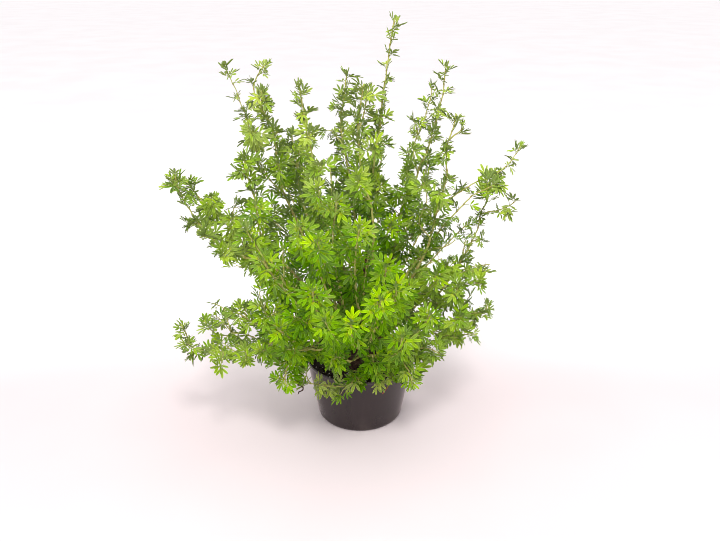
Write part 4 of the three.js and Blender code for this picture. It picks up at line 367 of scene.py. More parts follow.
2357,203,55,122,35,4,57,2159,303,-10,111,-44,12,76,2074,12,-11,112,-48,0,68,1872,311,-9,145,-32,6,63,1720,6,-17,84,38,16,74,1553,223,-22,122,29,11,61,1391,
286,-15,126,47,12,70,1257,4,48,133,-36,31,60,1093,224,-7,111,40,4,36,4015,181,3,99,-17,25,55,3882,201,41,123,-8,30,64,3760,301,20,84,23,27,47,3639,148,24,109,
8,27,45,3459,43,70,116,-8,8,60,3419,101,52,93,41,22,42,3235,118,27,90,10,38,60,3100,123,21,94,21,30,62,2938,177,3,103,27,6,37,2761,146,35,100,10,34,61,2660,
353,12,120,-41,47,67,2501,356,54,125,-48,40,59,2316,137,30,69,28,32,62,2203,12,4,76,14,19,49,2031,337,-4,109,-32,5,63,1882,11,24,100,-36,23,61,1679,322,-6,
102,-8,17,55,1544,312,11,107,-19,18,57,1381,288,6,113,-37,18,46,1269,113,55,102,-37,18,74,1069,62,61,103,-9,5,61,3904,196,27,100,-28,33,56,3749,194,61,100,24,
24,54,3618,256,4,79,21,11,57,3510,277,57,118,14,18,50,3364,301,65,108,-14,32,50,3209,116,54,117,2,36,53,3047,147,16,99,32,16,47,2917,29,20,109,-24,28,60,2748,
149,74,110,54,46,48,2621,180,-1,111,11,26,72,2464,45,36,108,-28,27,66,1750,330,2,120,-37,38,39,3768,264,-6,79,11,22,54,3608,221,-1,100,1,26,46,3498,157,0,76,
-29,17,59,3400,109,72,74,5,16,57,3218,156,36,113,9,28,50,3076,194,33,100,-35,15,48,2968,134,64,102,35,22,57,2617,186,2,110,35,9,44,2453,125,52,111,4,41,50,
2154,128,35,102,39,4,58]),
('AZ','stem_front_centre','leaves_front_6',0,
[-20,-90,810,-26,-109,897,-32,-129,983,-39,-152,1069,-47,-180,1154,-57,-214,1235,-67,-252,1315,-78,-293,1394,-90,-335,1471,-102,-380,1547,-116,-429,1620,-131,
-482,1691,-146,-536,1760,-161,-587,1831,-175,-635,1906,-189,-678,1982,-203,-718,2061,-217,-754,2141,-231,-786,2223,-245,-813,2307,-259,-833,2392,-274,-850,
2479,-288,-864,2565,-301,-878,2652,-312,-895,2739,-321,-913,2826,-328,-931,2913,-333,-949,3000,-335,-967,3088,-335,-986,3175,-332,-1004,3262,-324,-1023,3349,
-312,-1042,3435,-294,-1061,3520,-287,-1080,3607,-287,-1100,3694],
[3105,298,86,92,24,67,44,3047,32,35,115,-44,58,50,3031,188,33,104,22,32,50,2995,327,2,111,-1,22,57,2957,12,2,112,-38,13,72,2983,216,-2,125,36,22,75,3117,293,
80,59,14,95,25,3117,113,80,59,-7,95,25,2976,313,-19,137,-29,13,51,2852,199,-13,94,42,33,58,2780,256,-19,116,22,5,65,2677,355,2,116,-62,38,78,2526,239,-34,104,
30,24,63,2419,68,50,136,31,8,62,2296,231,-37,98,43,17,66,2108,269,-9,115,57,24,49,2005,98,34,117,-48,5,73,1867,289,54,140,17,27,61,1664,309,-25,90,-40,25,66,
1534,90,14,127,9,30,57,1421,261,23,122,11,18,69,1251,152,8,112,28,8,68,1087,159,30,114,55,28,74,875,91,31,125,13,28,64,2872,48,55,74,34,12,62,2740,11,3,99,
-22,0,61,2643,144,31,122,-24,49,60,2551,85,52,108,-20,24,42,2403,24,55,107,-22,19,59,2274,200,15,105,26,6,62,2125,57,24,84,-19,21,63,1974,166,-2,98,17,23,51,
1828,113,47,101,23,6,67,1723,264,2,74,19,40,53,1578,81,17,94,-1,18,55,1383,72,48,90,6,28,46,1245,97,17,117,16,27,52,1092,240,10,109,12,27,64,867,62,-1,104,-7,
24,60,2851,9,-13,115,-44,20,49,2765,23,61,110,-47,8,46,2656,343,26,87,-24,3,64,2886,1,-1,111,-56,18,46,2724,102,60,128,11,29,56,2541,346,-16,118,-41,11,41]),
('BA','stem_front_centre','leaves_front_4',0,
[-20,-90,810,-26,-110,898,-32,-130,985,-39,-153,1072,-47,-181,1158,-59,-217,1239,-72,-257,1319,-87,-299,1397,-103,-344,1473,-121,-392,1548,-140,-445,1618,
-162,-501,1685,-185,-560,1749,-208,-619,1814,-232,-676,1879,-255,-730,1948,-279,-782,2017,-302,-833,2088,-326,-881,2160,-350,-926,2235,-373,-968,2311,-397,
-1004,2390,-420,-1038,2471,-443,-1069,2552,-465,-1101,2633,-487,-1134,2714,-508,-1169,2795,-528,-1204,2875,-548,-1239,2956,-569,-1275,3036,-590,-1311,3115,
-613,-1348,3194,-637,-1386,3273,-660,-1423,3352,-682,-1462,3430,-704,-1500,3509],
[3112,193,27,105,50,45,33,3119,16,37,119,-38,46,43,3093,142,23,108,17,24,55,3043,245,-2,114,26,0,69,3045,4,5,118,-43,26,76,3000,237,-4,105,16,10,80,3152,281,
80,59,-5,95,25,3152,101,80,59,2,95,25,3067,358,-23,122,-51,18,73,2864,219,-23,112,21,4,69,2782,252,-23,140,4,27,63,2661,54,31,113,1,22,68,2524,248,-23,132,26,
20,60,2389,352,-31,121,-44,0,69,2287,216,-17,104,47,24,63,2101,342,9,121,-55,18,58,1938,9,-9,120,-57,8,60,1825,266,-6,109,48,18,77,1720,57,58,113,-1,17,54,
1539,216,60,96,8,12,69,1394,0,26,128,-26,16,55,1249,80,26,130,42,14,71,1055,189,49,124,21,2,71,900,315,-20,113,28,19,65,2877,204,3,106,20,34,56,2772,258,-2,
91,6,18,54,2694,229,4,120,17,31,40,2572,225,-4,111,32,27,46,2379,42,1,106,-6,26,59,2260,224,0,105,-13,16,60,2115,341,-6,116,-10,39,61,1985,237,32,80,18,24,53,
1804,297,28,97,-13,10,41,1699,204,38,122,6,15,50,1591,310,-14,114,-15,33,55,1406,248,-2,122,22,29,45,1210,41,26,107,-31,32,34,1078,304,-2,113,5,33,52,903,165,
34,108,10,11,60,2957,206,32,111,6,4,59,2804,194,35,110,58,33,60,2697,192,-8,117,-50,28,60,2945,169,44,115,40,17,52,2782,89,37,102,1,18,51,2261,144,-6,108,28,
38,52]),
('BC','stem_front_centre','leaves_front_5',0,
[-20,-90,810,-26,-110,898,-32,-130,986,-39,-152,1074,-48,-179,1160,-57,-229,1234,-66,-289,1302,-76,-355,1363,-87,-426,1418,-99,-504,1462,-111,-588,1495,-123,
-674,1522,-136,-759,1548,-151,-843,1580,-168,-923,1618,-186,-1002,1659,-206,-1078,1704,-228,-1150,1754,-252,-1216,1812,-279,-1273,1876,-308,-1324,1945,-337,
-1372,2017,-365,-1420,2088,-391,-1470,2159,-416,-1522,2229,-439,-1575,2299,-461,-1627,2369,-480,-1680,2440,-497,-1733,2512,-511,-1785,2585,-521,-1838,2658,
-528,-1891,2731,-530,-1944,2805,-528,-1997,2878,-524,-2050,2951],
[3067,54,30,102,-34,52,32,3051,154,27,119,18,49,39,2988,341,23,110,-7,32,52,2983,169,-2,116,5,15,70,2953,272,-2,116,-24,10,71,2909,2,-3,123,-40,24,85,3077,
118,80,59,18,95,25,3077,298,80,59,12,95,25,2979,215,-9,118,19,48,58,2848,329,-22,118,-25,22,67,2722,261,-5,115,-4,22,50,2622,14,6,119,-44,24,56,2511,161,33,
125,-7,1,84,2383,271,-37,103,47,21,60,2266,322,-10,111,2,3,72,2145,241,-19,114,14,26,56,1920,32,-6,80,-41,18,53,1776,198,-30,110,58,4,65,1730,217,9,114,35,0,
72,1539,126,28,122,-23,8,58,1388,177,-18,98,27,12,67,1240,45,-8,117,40,10,57,1060,92,-4,132,19,27,58,842,194,-4,132,-19,17,64,2867,97,22,107,-3,31,50,2753,
169,27,90,5,14,55,2614,206,9,124,34,54,63,2469,330,-2,106,-41,0,49,2381,134,32,108,34,8,56,2252,61,18,112,-20,12,61,2133,205,23,109,36,33,72,1954,200,52,112,
32,19,59,1862,336,-12,71,-12,16,57,1666,127,17,100,32,34,50,1540,224,-17,113,28,46,70,1364,153,24,124,-7,28,55,1273,155,22,98,-7,30,48,1079,55,3,125,-2,34,58,
881,86,24,111,16,18,66]),
('AY','stem_front_right','leaves_front_7',0,
[60,-140,810,68,-176,893,78,-216,974,89,-264,1049,93,-307,1129,94,-347,1210,93,-387,1292,90,-427,1373,83,-467,1454,73,-506,1535,61,-545,1616,48,-585,1696,35,
-625,1776,21,-666,1856,7,-707,1936,-7,-748,2015,-19,-791,2094,-29,-835,2173,-37,-881,2250,-44,-928,2328,-49,-976,2404,-53,-1024,2481,-56,-1072,2557,-58,-1122,
2633,-60,-1171,2709,-61,-1221,2785,-61,-1271,2860,-60,-1322,2936,-59,-1373,3010,-56,-1425,3085,-52,-1477,3159,-47,-1529,3232,-40,-1583,3305,-30,-1636,3378,
-22,-1690,3450,-16,-1745,3522,-11,-1800,3594],
[3257,95,56,109,-16,50,32,3202,346,32,92,-31,55,42,3226,37,23,102,-53,57,53,3163,251,-2,110,18,10,62,3148,311,-9,116,9,17,70,3151,156,31,114,31,39,88,3259,
210,80,59,-16,95,25,3259,30,80,59,-19,95,25,3135,1,19,119,-51,41,81,3016,148,-3,129,32,23,52,2877,344,57,111,-57,19,45,2806,178,3,119,41,2,71,2650,331,30,110,
3,1,70,2565,81,32,122,-67,0,48,2349,235,-13,124,18,34,77,2247,323,27,92,-47,11,52,2084,196,7,124,69,27,53,1938,223,-3,136,40,10,42,1815,315,2,116,-49,3,74,
1618,219,-6,116,-9,33,64,1500,243,-8,88,2,6,60,1327,137,-15,134,-12,28,65,1151,209,-5,103,15,30,56,1030,80,32,126,-34,9,69,874,120,70,133,31,22,51,3001,81,6,
91,9,18,61,2927,136,62,88,34,7,43,2794,75,-2,99,-46,35,48,2609,115,18,114,23,31,58,2539,333,32,71,-26,26,44,2387,86,59,103,34,16,54,2261,287,12,114,-45,30,50,
2118,166,-13,128,49,50,59,1939,154,21,77,10,10,49,1850,175,-3,122,18,37,57,1654,162,1,110,24,36,39,1526,230,-5,116,-11,37,57,1345,199,1,114,36,21,54,1209,101,
-1,121,16,17,60,1011,273,4,84,23,40,69,847,247,12,75,18,20,51,2999,121,30,108,20,11,47,2996,67,69,108,-14,6,64,2910,136,25,97,24,17,50]),
('AW','stem_front_right','leaves_front_8',0,
[60,-140,810,68,-176,893,78,-216,975,89,-264,1051,97,-312,1128,103,-360,1206,109,-408,1283,114,-459,1359,118,-512,1433,121,-567,1505,124,-622,1578,129,-677,
1650,134,-731,1723,140,-785,1797,148,-838,1870,157,-890,1944,167,-941,2020,179,-990,2096,192,-1038,2172,204,-1086,2248,217,-1135,2324,229,-1184,2400,240,
-1234,2475,251,-1285,2550,262,-1336,2625,272,-1387,2700,284,-1439,2774,293,-1492,2848,299,-1544,2922,301,-1597,2996,301,-1650,3071],
[2727,66,46,123,-43,48,32,2673,206,33,109,46,68,61,2669,332,21,104,-35,35,48,2655,136,26,130,1,18,64,2594,216,2,123,44,16,68,2609,22,-8,121,-48,31,82,2732,92,
80,59,17,95,25,2732,272,80,59,0,95,25,2577,338,-23,122,-30,13,58,2469,231,-14,135,32,40,66,2379,260,-19,105,10,17,78,2215,192,-5,120,68,8,57,2109,206,-3,133,
29,18,60,1932,317,-38,87,-36,24,51,1825,172,-17,118,45,12,63,1648,300,-6,124,-38,16,50,1568,166,-15,121,39,17,70,1411,318,12,113,-31,1,64,1271,322,-20,125,
-50,26,53,1126,207,-17,119,7,30,43,949,57,-26,115,-18,2,76,765,120,29,111,8,6,61,2515,102,16,86,20,11,46,2394,4,53,109,17,13,59,2272,60,64,92,-29,38,46,2104,
27,31,102,-12,3,67,1940,111,44,100,15,15,62,1837,98,57,96,14,20,55,1648,289,-5,102,21,0,56,1531,97,48,114,-3,30,53,1373,341,17,107,-46,37,49,1250,107,50,104,
17,31,62,1164,282,25,115,-20,28,58,972,282,53,106,-28,23,58,753,114,41,96,-5,22,52,2485,40,22,116,6,0,47,2507,132,2,107,34,10,46]),
('AX','stem_front_right','leaves_front_7',0,
[60,-140,810,68,-175,892,77,-215,972,89,-263,1046,93,-298,1128,94,-328,1213,92,-355,1298,89,-380,1384,84,-402,1471,75,-420,1558,66,-438,1645,57,-458,1732,51,
-484,1818,46,-513,1902,42,-545,1985,41,-582,2067,41,-622,2147,44,-666,2225,48,-712,2302,53,-760,2377,58,-808,2453,63,-857,2528,68,-904,2604,73,-953,2679,78,
-1001,2754,84,-1050,2829,91,-1100,2903,100,-1150,2977,110,-1200,3050],
[2500,130,21,98,2,56,35,2446,2,34,121,-5,65,41,2459,53,44,120,-25,44,59,2374,167,7,97,46,12,60,2387,315,-11,115,11,19,76,2345,195,-19,124,30,16,76,2504,239,
80,59,-20,95,25,2504,59,80,59,10,95,25,2348,293,-11,126,22,19,55,2262,218,-29,103,59,27,67,2128,269,-23,133,-5,21,74,1998,31,5,108,-49,6,51,1863,201,-21,126,
21,3,78,1712,249,-19,114,0,6,79,1595,47,57,119,-63,15,50,1422,203,-30,129,50,37,64,1269,141,10,127,23,4,53,1163,249,-9,130,33,14,82,1018,281,-29,134,-18,21,
70,822,181,19,119,29,15,63,2235,170,23,120,7,20,52,2148,82,-8,80,-1,23,49,1987,324,3,105,-21,19,61,1847,20,20,126,-21,7,68,1725,322,17,114,22,32,47,1572,179,
-4,110,17,16,58,1432,254,-5,121,19,16,46,1326,125,48,111,37,12,52,1099,172,10,130,21,30,50,1026,215,-5,113,18,31,46,840,4,3,113,-44,21,52]),
('AU','stem_front_right','leaves_front_9',0,
[60,-140,810,68,-175,891,77,-213,971,89,-259,1046,94,-317,1114,97,-379,1178,99,-444,1239,100,-511,1297,100,-582,1351,97,-658,1397,94,-737,1438,90,-817,1477,
86,-896,1518,85,-973,1563,86,-1046,1613,88,-1118,1665,91,-1188,1720,97,-1255,1779,105,-1317,1842,117,-1372,1911,132,-1421,1984,147,-1469,2058,160,-1518,2130,
172,-1570,2202,182,-1622,2273,192,-1674,2345,201,-1727,2416,208,-1780,2487,212,-1833,2559,217,-1886,2630,222,-1941,2700,229,-1995,2770,235,-2050,2840],
[2844,342,35,116,-34,51,32,2807,128,21,109,15,56,38,2740,201,25,96,29,46,69,2737,290,-4,114,-13,5,71,2711,181,-16,117,24,24,67,2675,223,-7,125,12,20,92,2846,
355,80,59,-16,95,25,2846,175,80,59,-17,95,25,2720,328,16,123,-27,3,38,2649,331,-12,121,-41,36,81,2509,250,-21,100,-18,1,78,2371,305,-12,126,-16,0,68,2255,163,
-20,116,7,8,52,2133,233,-2,132,28,0,39,1915,320,-6,123,-39,7,81,1827,266,21,122,3,0,81,1668,339,-4,111,11,3,85,1513,78,34,101,-30,6,74,1367,251,59,91,-43,0,
70,1227,129,65,83,-5,10,64,1036,101,56,100,-54,8,51,865,31,27,117,55,2,55,2603,224,10,93,9,30,71,2475,111,52,110,29,35,64,2332,346,-1,115,-18,17,49,2233,200,
-3,96,30,22,50,2109,338,-2,102,-37,41,53,1969,4,-14,96,44,6,71,1818,237,-1,74,30,24,62,1637,342,-6,68,30,9,62,1486,241,3,79,-35,17,61,1369,222,54,69,-23,19,
46,1169,127,57,76,-48,26,32,1030,56,67,114,17,18,47,859,229,53,84,-23,23,49,1664,341,4,109,3,36,67,2455,318,5,122,-29,27,68]),
('AS','stem_front_right','leaves_front_11',0,
[60,-140,810,68,-176,893,77,-215,974,88,-262,1051,108,-328,1108,131,-401,1158,155,-476,1203,180,-551,1246,206,-627,1288,232,-704,1329,258,-783,1365,285,-863,
1398,313,-943,1432,340,-1021,1468,368,-1096,1511,397,-1164,1563,426,-1226,1622,452,-1286,1685,471,-1347,1750,485,-1406,1817,495,-1464,1886,501,-1524,1954,504,
-1582,2023,505,-1641,2092,506,-1700,2161],
[2141,112,32,108,2,73,35,2139,314,20,108,-35,38,49,2148,41,40,121,-12,46,52,2064,184,-8,119,29,11,63,2041,299,-8,107,-32,5,65,2014,151,13,113,26,16,95,2172,
193,80,59,16,95,25,2172,13,80,59,-2,95,25,2021,1,5,133,-35,25,68,1934,278,-15,123,-51,17,54,1804,259,-28,123,-28,11,71,1665,143,-14,126,22,15,71,1543,210,-14,
119,29,4,49,1398,87,31,119,-29,2,66,1216,297,12,114,-7,21,62,1074,3,22,112,-23,21,55,905,67,-3,119,16,9,66,743,228,8,110,-47,7,58,1975,119,56,97,22,6,54,1801,
251,-23,95,-61,10,58,1670,157,3,101,29,27,61,1574,248,37,102,-7,9,55,1352,70,10,116,34,13,43,1249,24,1,103,10,12,50,1114,173,-4,70,25,21,63,962,37,53,92,7,22,
46,763,214,52,69,51,10,62,1722,304,8,103,-21,26,64,1824,162,-3,101,20,7,67]),
('BF','stem_front_right','leaves_front_10',0,
[60,-140,810,68,-176,893,78,-216,975,89,-263,1051,89,-320,1122,85,-380,1191,77,-443,1256,67,-509,1318,53,-581,1373,34,-656,1421,13,-732,1465,-7,-810,1509,-25,
-886,1556,-40,-962,1604,-54,-1038,1652,-66,-1113,1702,-76,-1186,1756,-83,-1257,1812,-88,-1326,1871,-92,-1395,1931,-95,-1462,1993,-97,-1529,2054,-99,-1596,
2116,-101,-1664,2177,-102,-1732,2237,-103,-1802,2296,-103,-1871,2355,-103,-1941,2414,-102,-2011,2472,-101,-2080,2531,-101,-2150,2589],
[2706,266,37,126,10,70,35,2685,55,10,103,5,47,36,2670,85,30,130,-17,36,49,2647,306,-3,107,-1,22,57,2572,3,-6,124,-19,37,77,2581,247,15,113,5,7,74,2730,284,80,
59,-2,95,25,2730,104,80,59,7,95,25,2582,141,-18,90,25,14,62,2525,176,-12,116,30,39,72,2396,254,9,107,9,6,54,2237,218,-24,130,39,27,65,2098,323,-21,118,-39,17,
73,1975,358,25,106,15,34,71,1848,245,30,92,2,18,62,1762,318,-13,123,-35,20,80,1571,189,30,119,-9,4,58,1412,167,33,100,-54,10,68,1305,100,29,87,-10,5,74,1158,
120,24,80,10,35,66,1045,306,-8,86,48,31,61,825,145,59,112,-45,2,50,2512,169,2,80,-31,44,47,2434,103,64,71,4,19,43,2292,137,8,102,39,16,51,2126,347,-10,108,4,
44,44,1982,276,4,96,-18,18,50,1849,82,22,99,-8,43,52,1691,64,32,111,-37,10,65,1559,87,-1,104,-36,19,55,1458,72,9,74,15,27,62,1282,122,21,98,-43,18,59,1165,
100,39,102,53,16,59,1026,104,63,79,-16,15,62,801,303,61,74,-14,35,46]),
('AT','stem_front_right','leaves_front_11',0,
[60,-140,810,68,-176,893,77,-214,975,88,-260,1051,102,-340,1089,116,-428,1108,129,-516,1121,142,-605,1136,151,-694,1150,160,-784,1160,168,-873,1175,177,-955,
1209,190,-1007,1281,194,-1051,1360,187,-1100,1436,178,-1150,1511,170,-1200,1587,162,-1250,1662],
[1490,202,24,114,2,33,49,1485,332,10,111,12,47,49,1467,28,31,112,-27,35,53,1429,241,-8,128,32,0,71,1432,313,-13,119,-22,20,85,1332,190,41,93,-24,18,86,1379,
279,-8,112,7,13,64,1288,358,6,124,-43,45,83,1138,289,-35,128,-32,11,63,1087,354,13,122,-31,14,81,942,196,28,120,2,7,64,800,206,1,119,36,3,66,1351,253,5,119,2,
6,54,1164,307,7,117,17,24,68,1025,307,-14,109,-18,32,40,926,327,-8,112,-9,28,66,800,173,-5,105,-12,9,51,1349,197,-19,81,5,38,58,1205,306,-12,101,-29,28,50,
1060,23,35,95,21,23,64,912,248,77,75,-27,38,49,790,159,9,117,-36,24,52,1297,335,61,84,7,12,49,1144,279,9,97,-42,32,42]),
('BE','stem_front_right','leaves_front_12',0,
[60,-140,810,68,-175,892,78,-214,973,90,-260,1049,83,-327,1108,69,-400,1158,51,-475,1203,31,-552,1246,9,-630,1285,-17,-710,1316,-46,-791,1342,-75,-871,1369,
-104,-951,1399,-129,-1027,1439,-151,-1100,1487,-172,-1169,1540,-192,-1238,1595,-212,-1307,1648,-233,-1379,1698,-254,-1453,1745,-275,-1526,1792,-297,-1600,
1838],
[1870,250,28,104,29,43,36,1842,341,24,107,-49,43,51,1816,103,19,115,-3,42,40,1782,280,-7,119,12,34,69,1746,52,12,109,-9,0,69,1714,195,20,100,2,0,91,1883,290,
80,59,4,95,25,1883,110,80,59,1,95,25,1757,166,18,113,41,31,64,1650,306,-10,110,38,11,57,1528,86,-7,110,-24,8,67,1416,182,10,96,37,0,61,1243,129,64,93,52,28,
58,1146,215,10,109,-13,0,65,993,52,29,98,44,8,50,852,62,60,105,29,4,61,711,352,64,121,-74,0,80,1641,237,13,109,-26,41,52,1523,179,50,90,-37,17,41,1388,233,-9,
121,0,35,55,1242,216,18,94,7,26,64,1169,155,25,114,34,11,57,740,33,3,69,23,33,58,1625,242,0,111,14,23,70]),
('W','stem_trailing','leaves_front_12',0,
[20,-200,810,30,-272,863,40,-351,906,35,-430,949,27,-509,993,18,-588,1035,7,-669,1074,-8,-752,1106,-34,-817,1081,-77,-833,1005,-152,-856,961,-238,-880,948,
-325,-903,959,-410,-925,978,-492,-948,1008,-574,-970,1037,-658,-993,1061,-738,-1016,1096,-824,-1040,1103],
[1590,226,17,100,-45,60,32,1524,39,50,86,-37,56,34,1521,153,30,121,15,36,53,1520,244,14,86,-32,15,66,1479,51,41,89,19,10,71,1452,231,54,99,-30,12,82,1603,305,
80,59,-17,95,25,1603,125,80,59,-5,95,25,1483,344,53,98,-25,38,71,1334,49,-31,122,-37,9,57,1255,210,8,125,36,10,71,1145,339,-24,111,20,10,48,1024,141,-28,95,
-34,27,60,837,204,-26,113,-47,3,52,726,53,54,138,33,17,70,1367,40,0,74,-53,10,61,1239,337,7,115,35,17,48,1128,253,25,115,25,20,48,1000,268,23,91,31,23,47,852,
11,60,77,47,37,63,750,329,-12,105,41,22,47,1356,103,3,68,-14,24,64,1263,345,9,111,-19,16,65,1145,19,3,115,-20,18,50,1000,268,30,113,30,17,53,880,100,74,73,4,
23,48,725,84,4,77,14,12,39,1371,50,12,68,-48,45,49,1250,105,21,102,1,39,67,1094,234,43,73,-20,11,55,1005,325,44,106,2,35,52,867,83,57,76,-31,25,57,719,41,63,
85,-38,15,52]),
('ba','stem_back_left','leaves_back_1',0,
[-90,150,810,-113,184,890,-137,220,968,-163,263,1042,-197,308,1112,-235,351,1181,-275,394,1249,-316,436,1317,-357,479,1384,-399,521,1451,-442,563,1518,-485,
605,1585,-529,646,1651,-573,688,1717,-618,729,1783,-664,769,1849,-710,809,1914,-758,847,1980,-806,885,2045,-855,923,2111,-905,959,2175,-957,995,2239,-1010,
1031,2302,-1065,1067,2363,-1122,1103,2422,-1182,1139,2479,-1245,1174,2532,-1310,1209,2583,-1377,1243,2631,-1446,1277,2678,-1514,1311,2725,-1583,1346,2772,
-1650,1380,2820],
[2865,194,74,129,32,66,32,2827,341,48,119,-28,50,44,2768,129,28,94,24,18,59,2762,160,-15,129,29,12,67,2724,276,49,102,1,0,81,2677,133,-12,130,-39,0,76,2867,
216,80,62,-1,95,25,2867,36,80,62,9,95,25,2744,157,4,116,62,28,83,2608,15,-28,83,-42,19,73,2521,144,-22,122,-41,0,72,2417,55,-23,106,75,18,76,2282,171,-2,119,
59,32,62,2164,170,3,129,56,18,49,2021,118,58,96,31,8,62,1913,127,-29,121,-74,24,71,1691,243,-25,120,24,2,81,1600,172,-1,112,45,23,60,1439,193,6,134,48,13,54,
1253,43,7,114,-68,23,51,1158,99,-20,85,-32,0,60,997,48,26,122,18,10,66,813,53,-13,93,-3,2,63,2637,265,25,104,10,23,59,2535,76,44,76,11,28,54,2371,160,-13,102,
47,48,60,2276,28,7,75,-16,1,60,2140,288,57,111,-32,18,54,1991,165,61,110,22,11,59,1913,156,62,102,26,9,58,1723,193,54,75,-22,21,62,1606,191,46,102,-43,0,36,
1433,3,8,77,-28,10,48,1313,335,63,106,-22,12,47,1159,207,29,107,31,28,62,1001,336,-13,120,-49,27,74,781,139,16,115,-26,5,60,2651,5,-1,72,-34,9,52,2513,7,-12,
97,-38,14,53,2379,41,3,104,-62,40,46,2284,249,9,81,40,2,41,2140,82,-3,95,30,38,72,2033,269,59,115,-42,27,60,1856,163,4,119,31,20,57,1722,177,50,109,32,18,69,
1605,211,43,113,-37,36,47,1424,121,32,116,-25,13,52,1291,165,32,95,-23,24,61,2608,38,-3,89,-17,42,69,2467,46,3,106,-15,25,43,2428,146,4,106,35,11,32,2259,167,
49,74,8,20,57,2154,338,55,99,-2,7,39,1957,132,38,111,44,22,59,1868,196,-9,101,64,16,51,1702,213,-14,112,39,0,54,1557,140,-13,99,-22,14,59]),
('bb','stem_back_left','leaves_back_1',0,
[-90,150,810,-113,184,890,-137,220,968,-164,262,1042,-195,308,1112,-227,354,1182,-259,400,1251,-292,447,1320,-324,494,1390,-357,541,1458,-389,588,1527,-422,
635,1596,-455,682,1664,-488,730,1732,-521,777,1800,-555,825,1868,-588,874,1936,-622,922,2003,-655,971,2070,-690,1020,2136,-724,1069,2203,-759,1119,2269,-793,
1168,2335,-828,1219,2400,-864,1270,2464,-899,1322,2528,-934,1375,2591,-969,1430,2653,-1004,1486,2713,-1039,1544,2771,-1074,1603,2829,-1110,1662,2885,-1145,
1721,2942,-1180,1780,3000],
[2943,39,74,112,-48,56,32,2891,211,68,129,5,76,32,2856,356,48,122,-31,57,58,2824,31,-17,90,-36,20,62,2782,170,10,106,-29,35,61,2782,327,9,111,42,24,81,2950,
82,80,62,-16,95,25,2950,262,80,62,5,95,25,2807,115,-34,125,-53,33,54,2692,12,-22,119,-50,28,54,2572,44,-26,120,58,31,41,2467,182,-16,138,53,25,62,2359,358,58,
98,-34,0,55,2251,258,39,116,-12,11,70,2099,231,-14,117,33,14,56,1990,194,49,111,61,14,55,1802,193,35,132,48,22,60,1656,340,52,115,7,10,66,1537,202,-1,118,42,
28,57,1337,249,50,109,-48,8,43,1217,179,-30,85,47,4,63,1025,267,55,134,-36,27,77,852,131,62,126,9,28,64,711,220,-14,133,35,3,62,2701,85,6,116,-14,0,40,2599,
77,0,82,21,13,53,2495,120,15,123,-31,17,50,2363,304,41,93,36,33,56,2282,50,64,120,-7,30,52,2086,260,37,121,-23,9,57,1949,321,7,108,36,37,42,1836,228,43,101,
31,32,60,1627,293,53,129,19,38,69,1516,16,17,117,-59,8,57,1354,194,10,112,27,21,39,1227,166,5,111,17,24,60,1057,117,49,127,-30,32,44,865,159,-11,69,25,18,61,
700,12,-7,114,-51,26,54,2720,89,26,92,-30,19,46,2602,50,32,90,25,16,55,2496,225,0,116,-37,19,60,2336,218,24,118,52,39,60,2281,202,28,120,-64,8,55,2106,28,59,
98,27,22,44,1953,201,64,115,37,29,42,2676,59,-7,117,7,22,73,2607,51,-7,106,-50,25,59,2491,141,43,104,48,27,42,2379,337,67,128,-45,4,63,2267,45,51,97,18,14,52,
2079,346,62,115,-15,39,66]),
('bc','stem_back_left','leaves_back_2',0,
[-90,150,810,-113,185,891,-138,221,971,-161,265,1048,-202,310,1114,-256,354,1174,-314,397,1230,-374,439,1284,-436,481,1337,-499,522,1388,-564,563,1438,-629,
603,1487,-697,643,1533,-766,681,1579,-838,719,1622,-911,754,1662,-987,787,1701,-1065,819,1737,-1144,850,1770,-1224,881,1799,-1306,913,1825,-1388,945,1847,
-1471,979,1863,-1556,1013,1872,-1640,1046,1877,-1725,1080,1878,-1810,1113,1877,-1895,1146,1878,-1980,1180,1880],
[2549,1,33,112,-31,54,49,2547,210,67,128,12,49,60,2455,18,18,98,-57,35,65,2421,69,-20,88,29,27,65,2387,248,-19,79,22,26,70,2359,7,0,119,-32,39,80,2380,28,-16,
116,-61,37,72,2306,260,9,93,48,23,74,2195,97,60,110,47,1,69,2072,213,-18,115,51,0,68,1953,325,54,124,7,14,50,1825,162,5,111,35,0,74,1701,179,26,116,39,2,73,
1553,298,-18,95,-35,4,68,1415,183,-2,129,57,1,56,1248,350,-2,123,66,34,72,1129,116,-24,115,-47,9,74,943,165,-13,96,53,0,75,799,354,45,122,-5,5,73,2323,330,59,
95,1,20,55,2177,141,20,78,-48,28,60,2071,189,18,98,-18,30,50,1950,203,34,105,31,15,59,1823,107,-10,105,-25,16,64,1692,138,-4,94,-28,16,57,1559,77,63,117,-17,
14,64,1380,181,19,117,25,22,64,1262,172,10,119,30,24,51,1124,279,42,109,-26,43,36,931,138,55,80,26,22,63,758,282,31,101,-27,13,56,2328,173,8,93,-10,23,42,
2208,197,-6,87,12,14,58,2059,181,30,102,25,8,59,2180,144,46,102,12,19,60]),
('bd','stem_back_centre','leaves_back_3',0,
[10,160,810,12,194,893,14,228,976,18,268,1057,22,313,1134,14,362,1209,1,411,1283,-13,461,1356,-29,512,1428,-46,562,1501,-63,613,1573,-80,664,1644,-97,715,
1716,-114,767,1787,-130,819,1859,-146,872,1930,-162,924,2001,-177,976,2072,-192,1029,2144,-208,1081,2215,-223,1134,2286,-238,1188,2356,-254,1244,2424,-271,
1301,2492,-288,1360,2557,-306,1421,2620,-325,1485,2680,-345,1552,2736,-366,1621,2790,-387,1691,2843,-408,1761,2894,-429,1831,2947,-450,1900,3000],
[2868,146,16,117,-37,72,46,2794,30,26,117,-27,57,33,2780,50,38,115,27,51,48,2737,192,26,116,18,10,67,2720,17,-2,106,-43,31,78,2687,115,46,110,29,33,82,2870,
251,80,62,5,95,25,2870,71,80,62,-6,95,25,2729,338,-4,124,-56,30,78,2635,323,-13,110,35,24,56,2526,107,-15,120,-27,11,52,2385,339,12,136,32,4,70,2303,198,14,
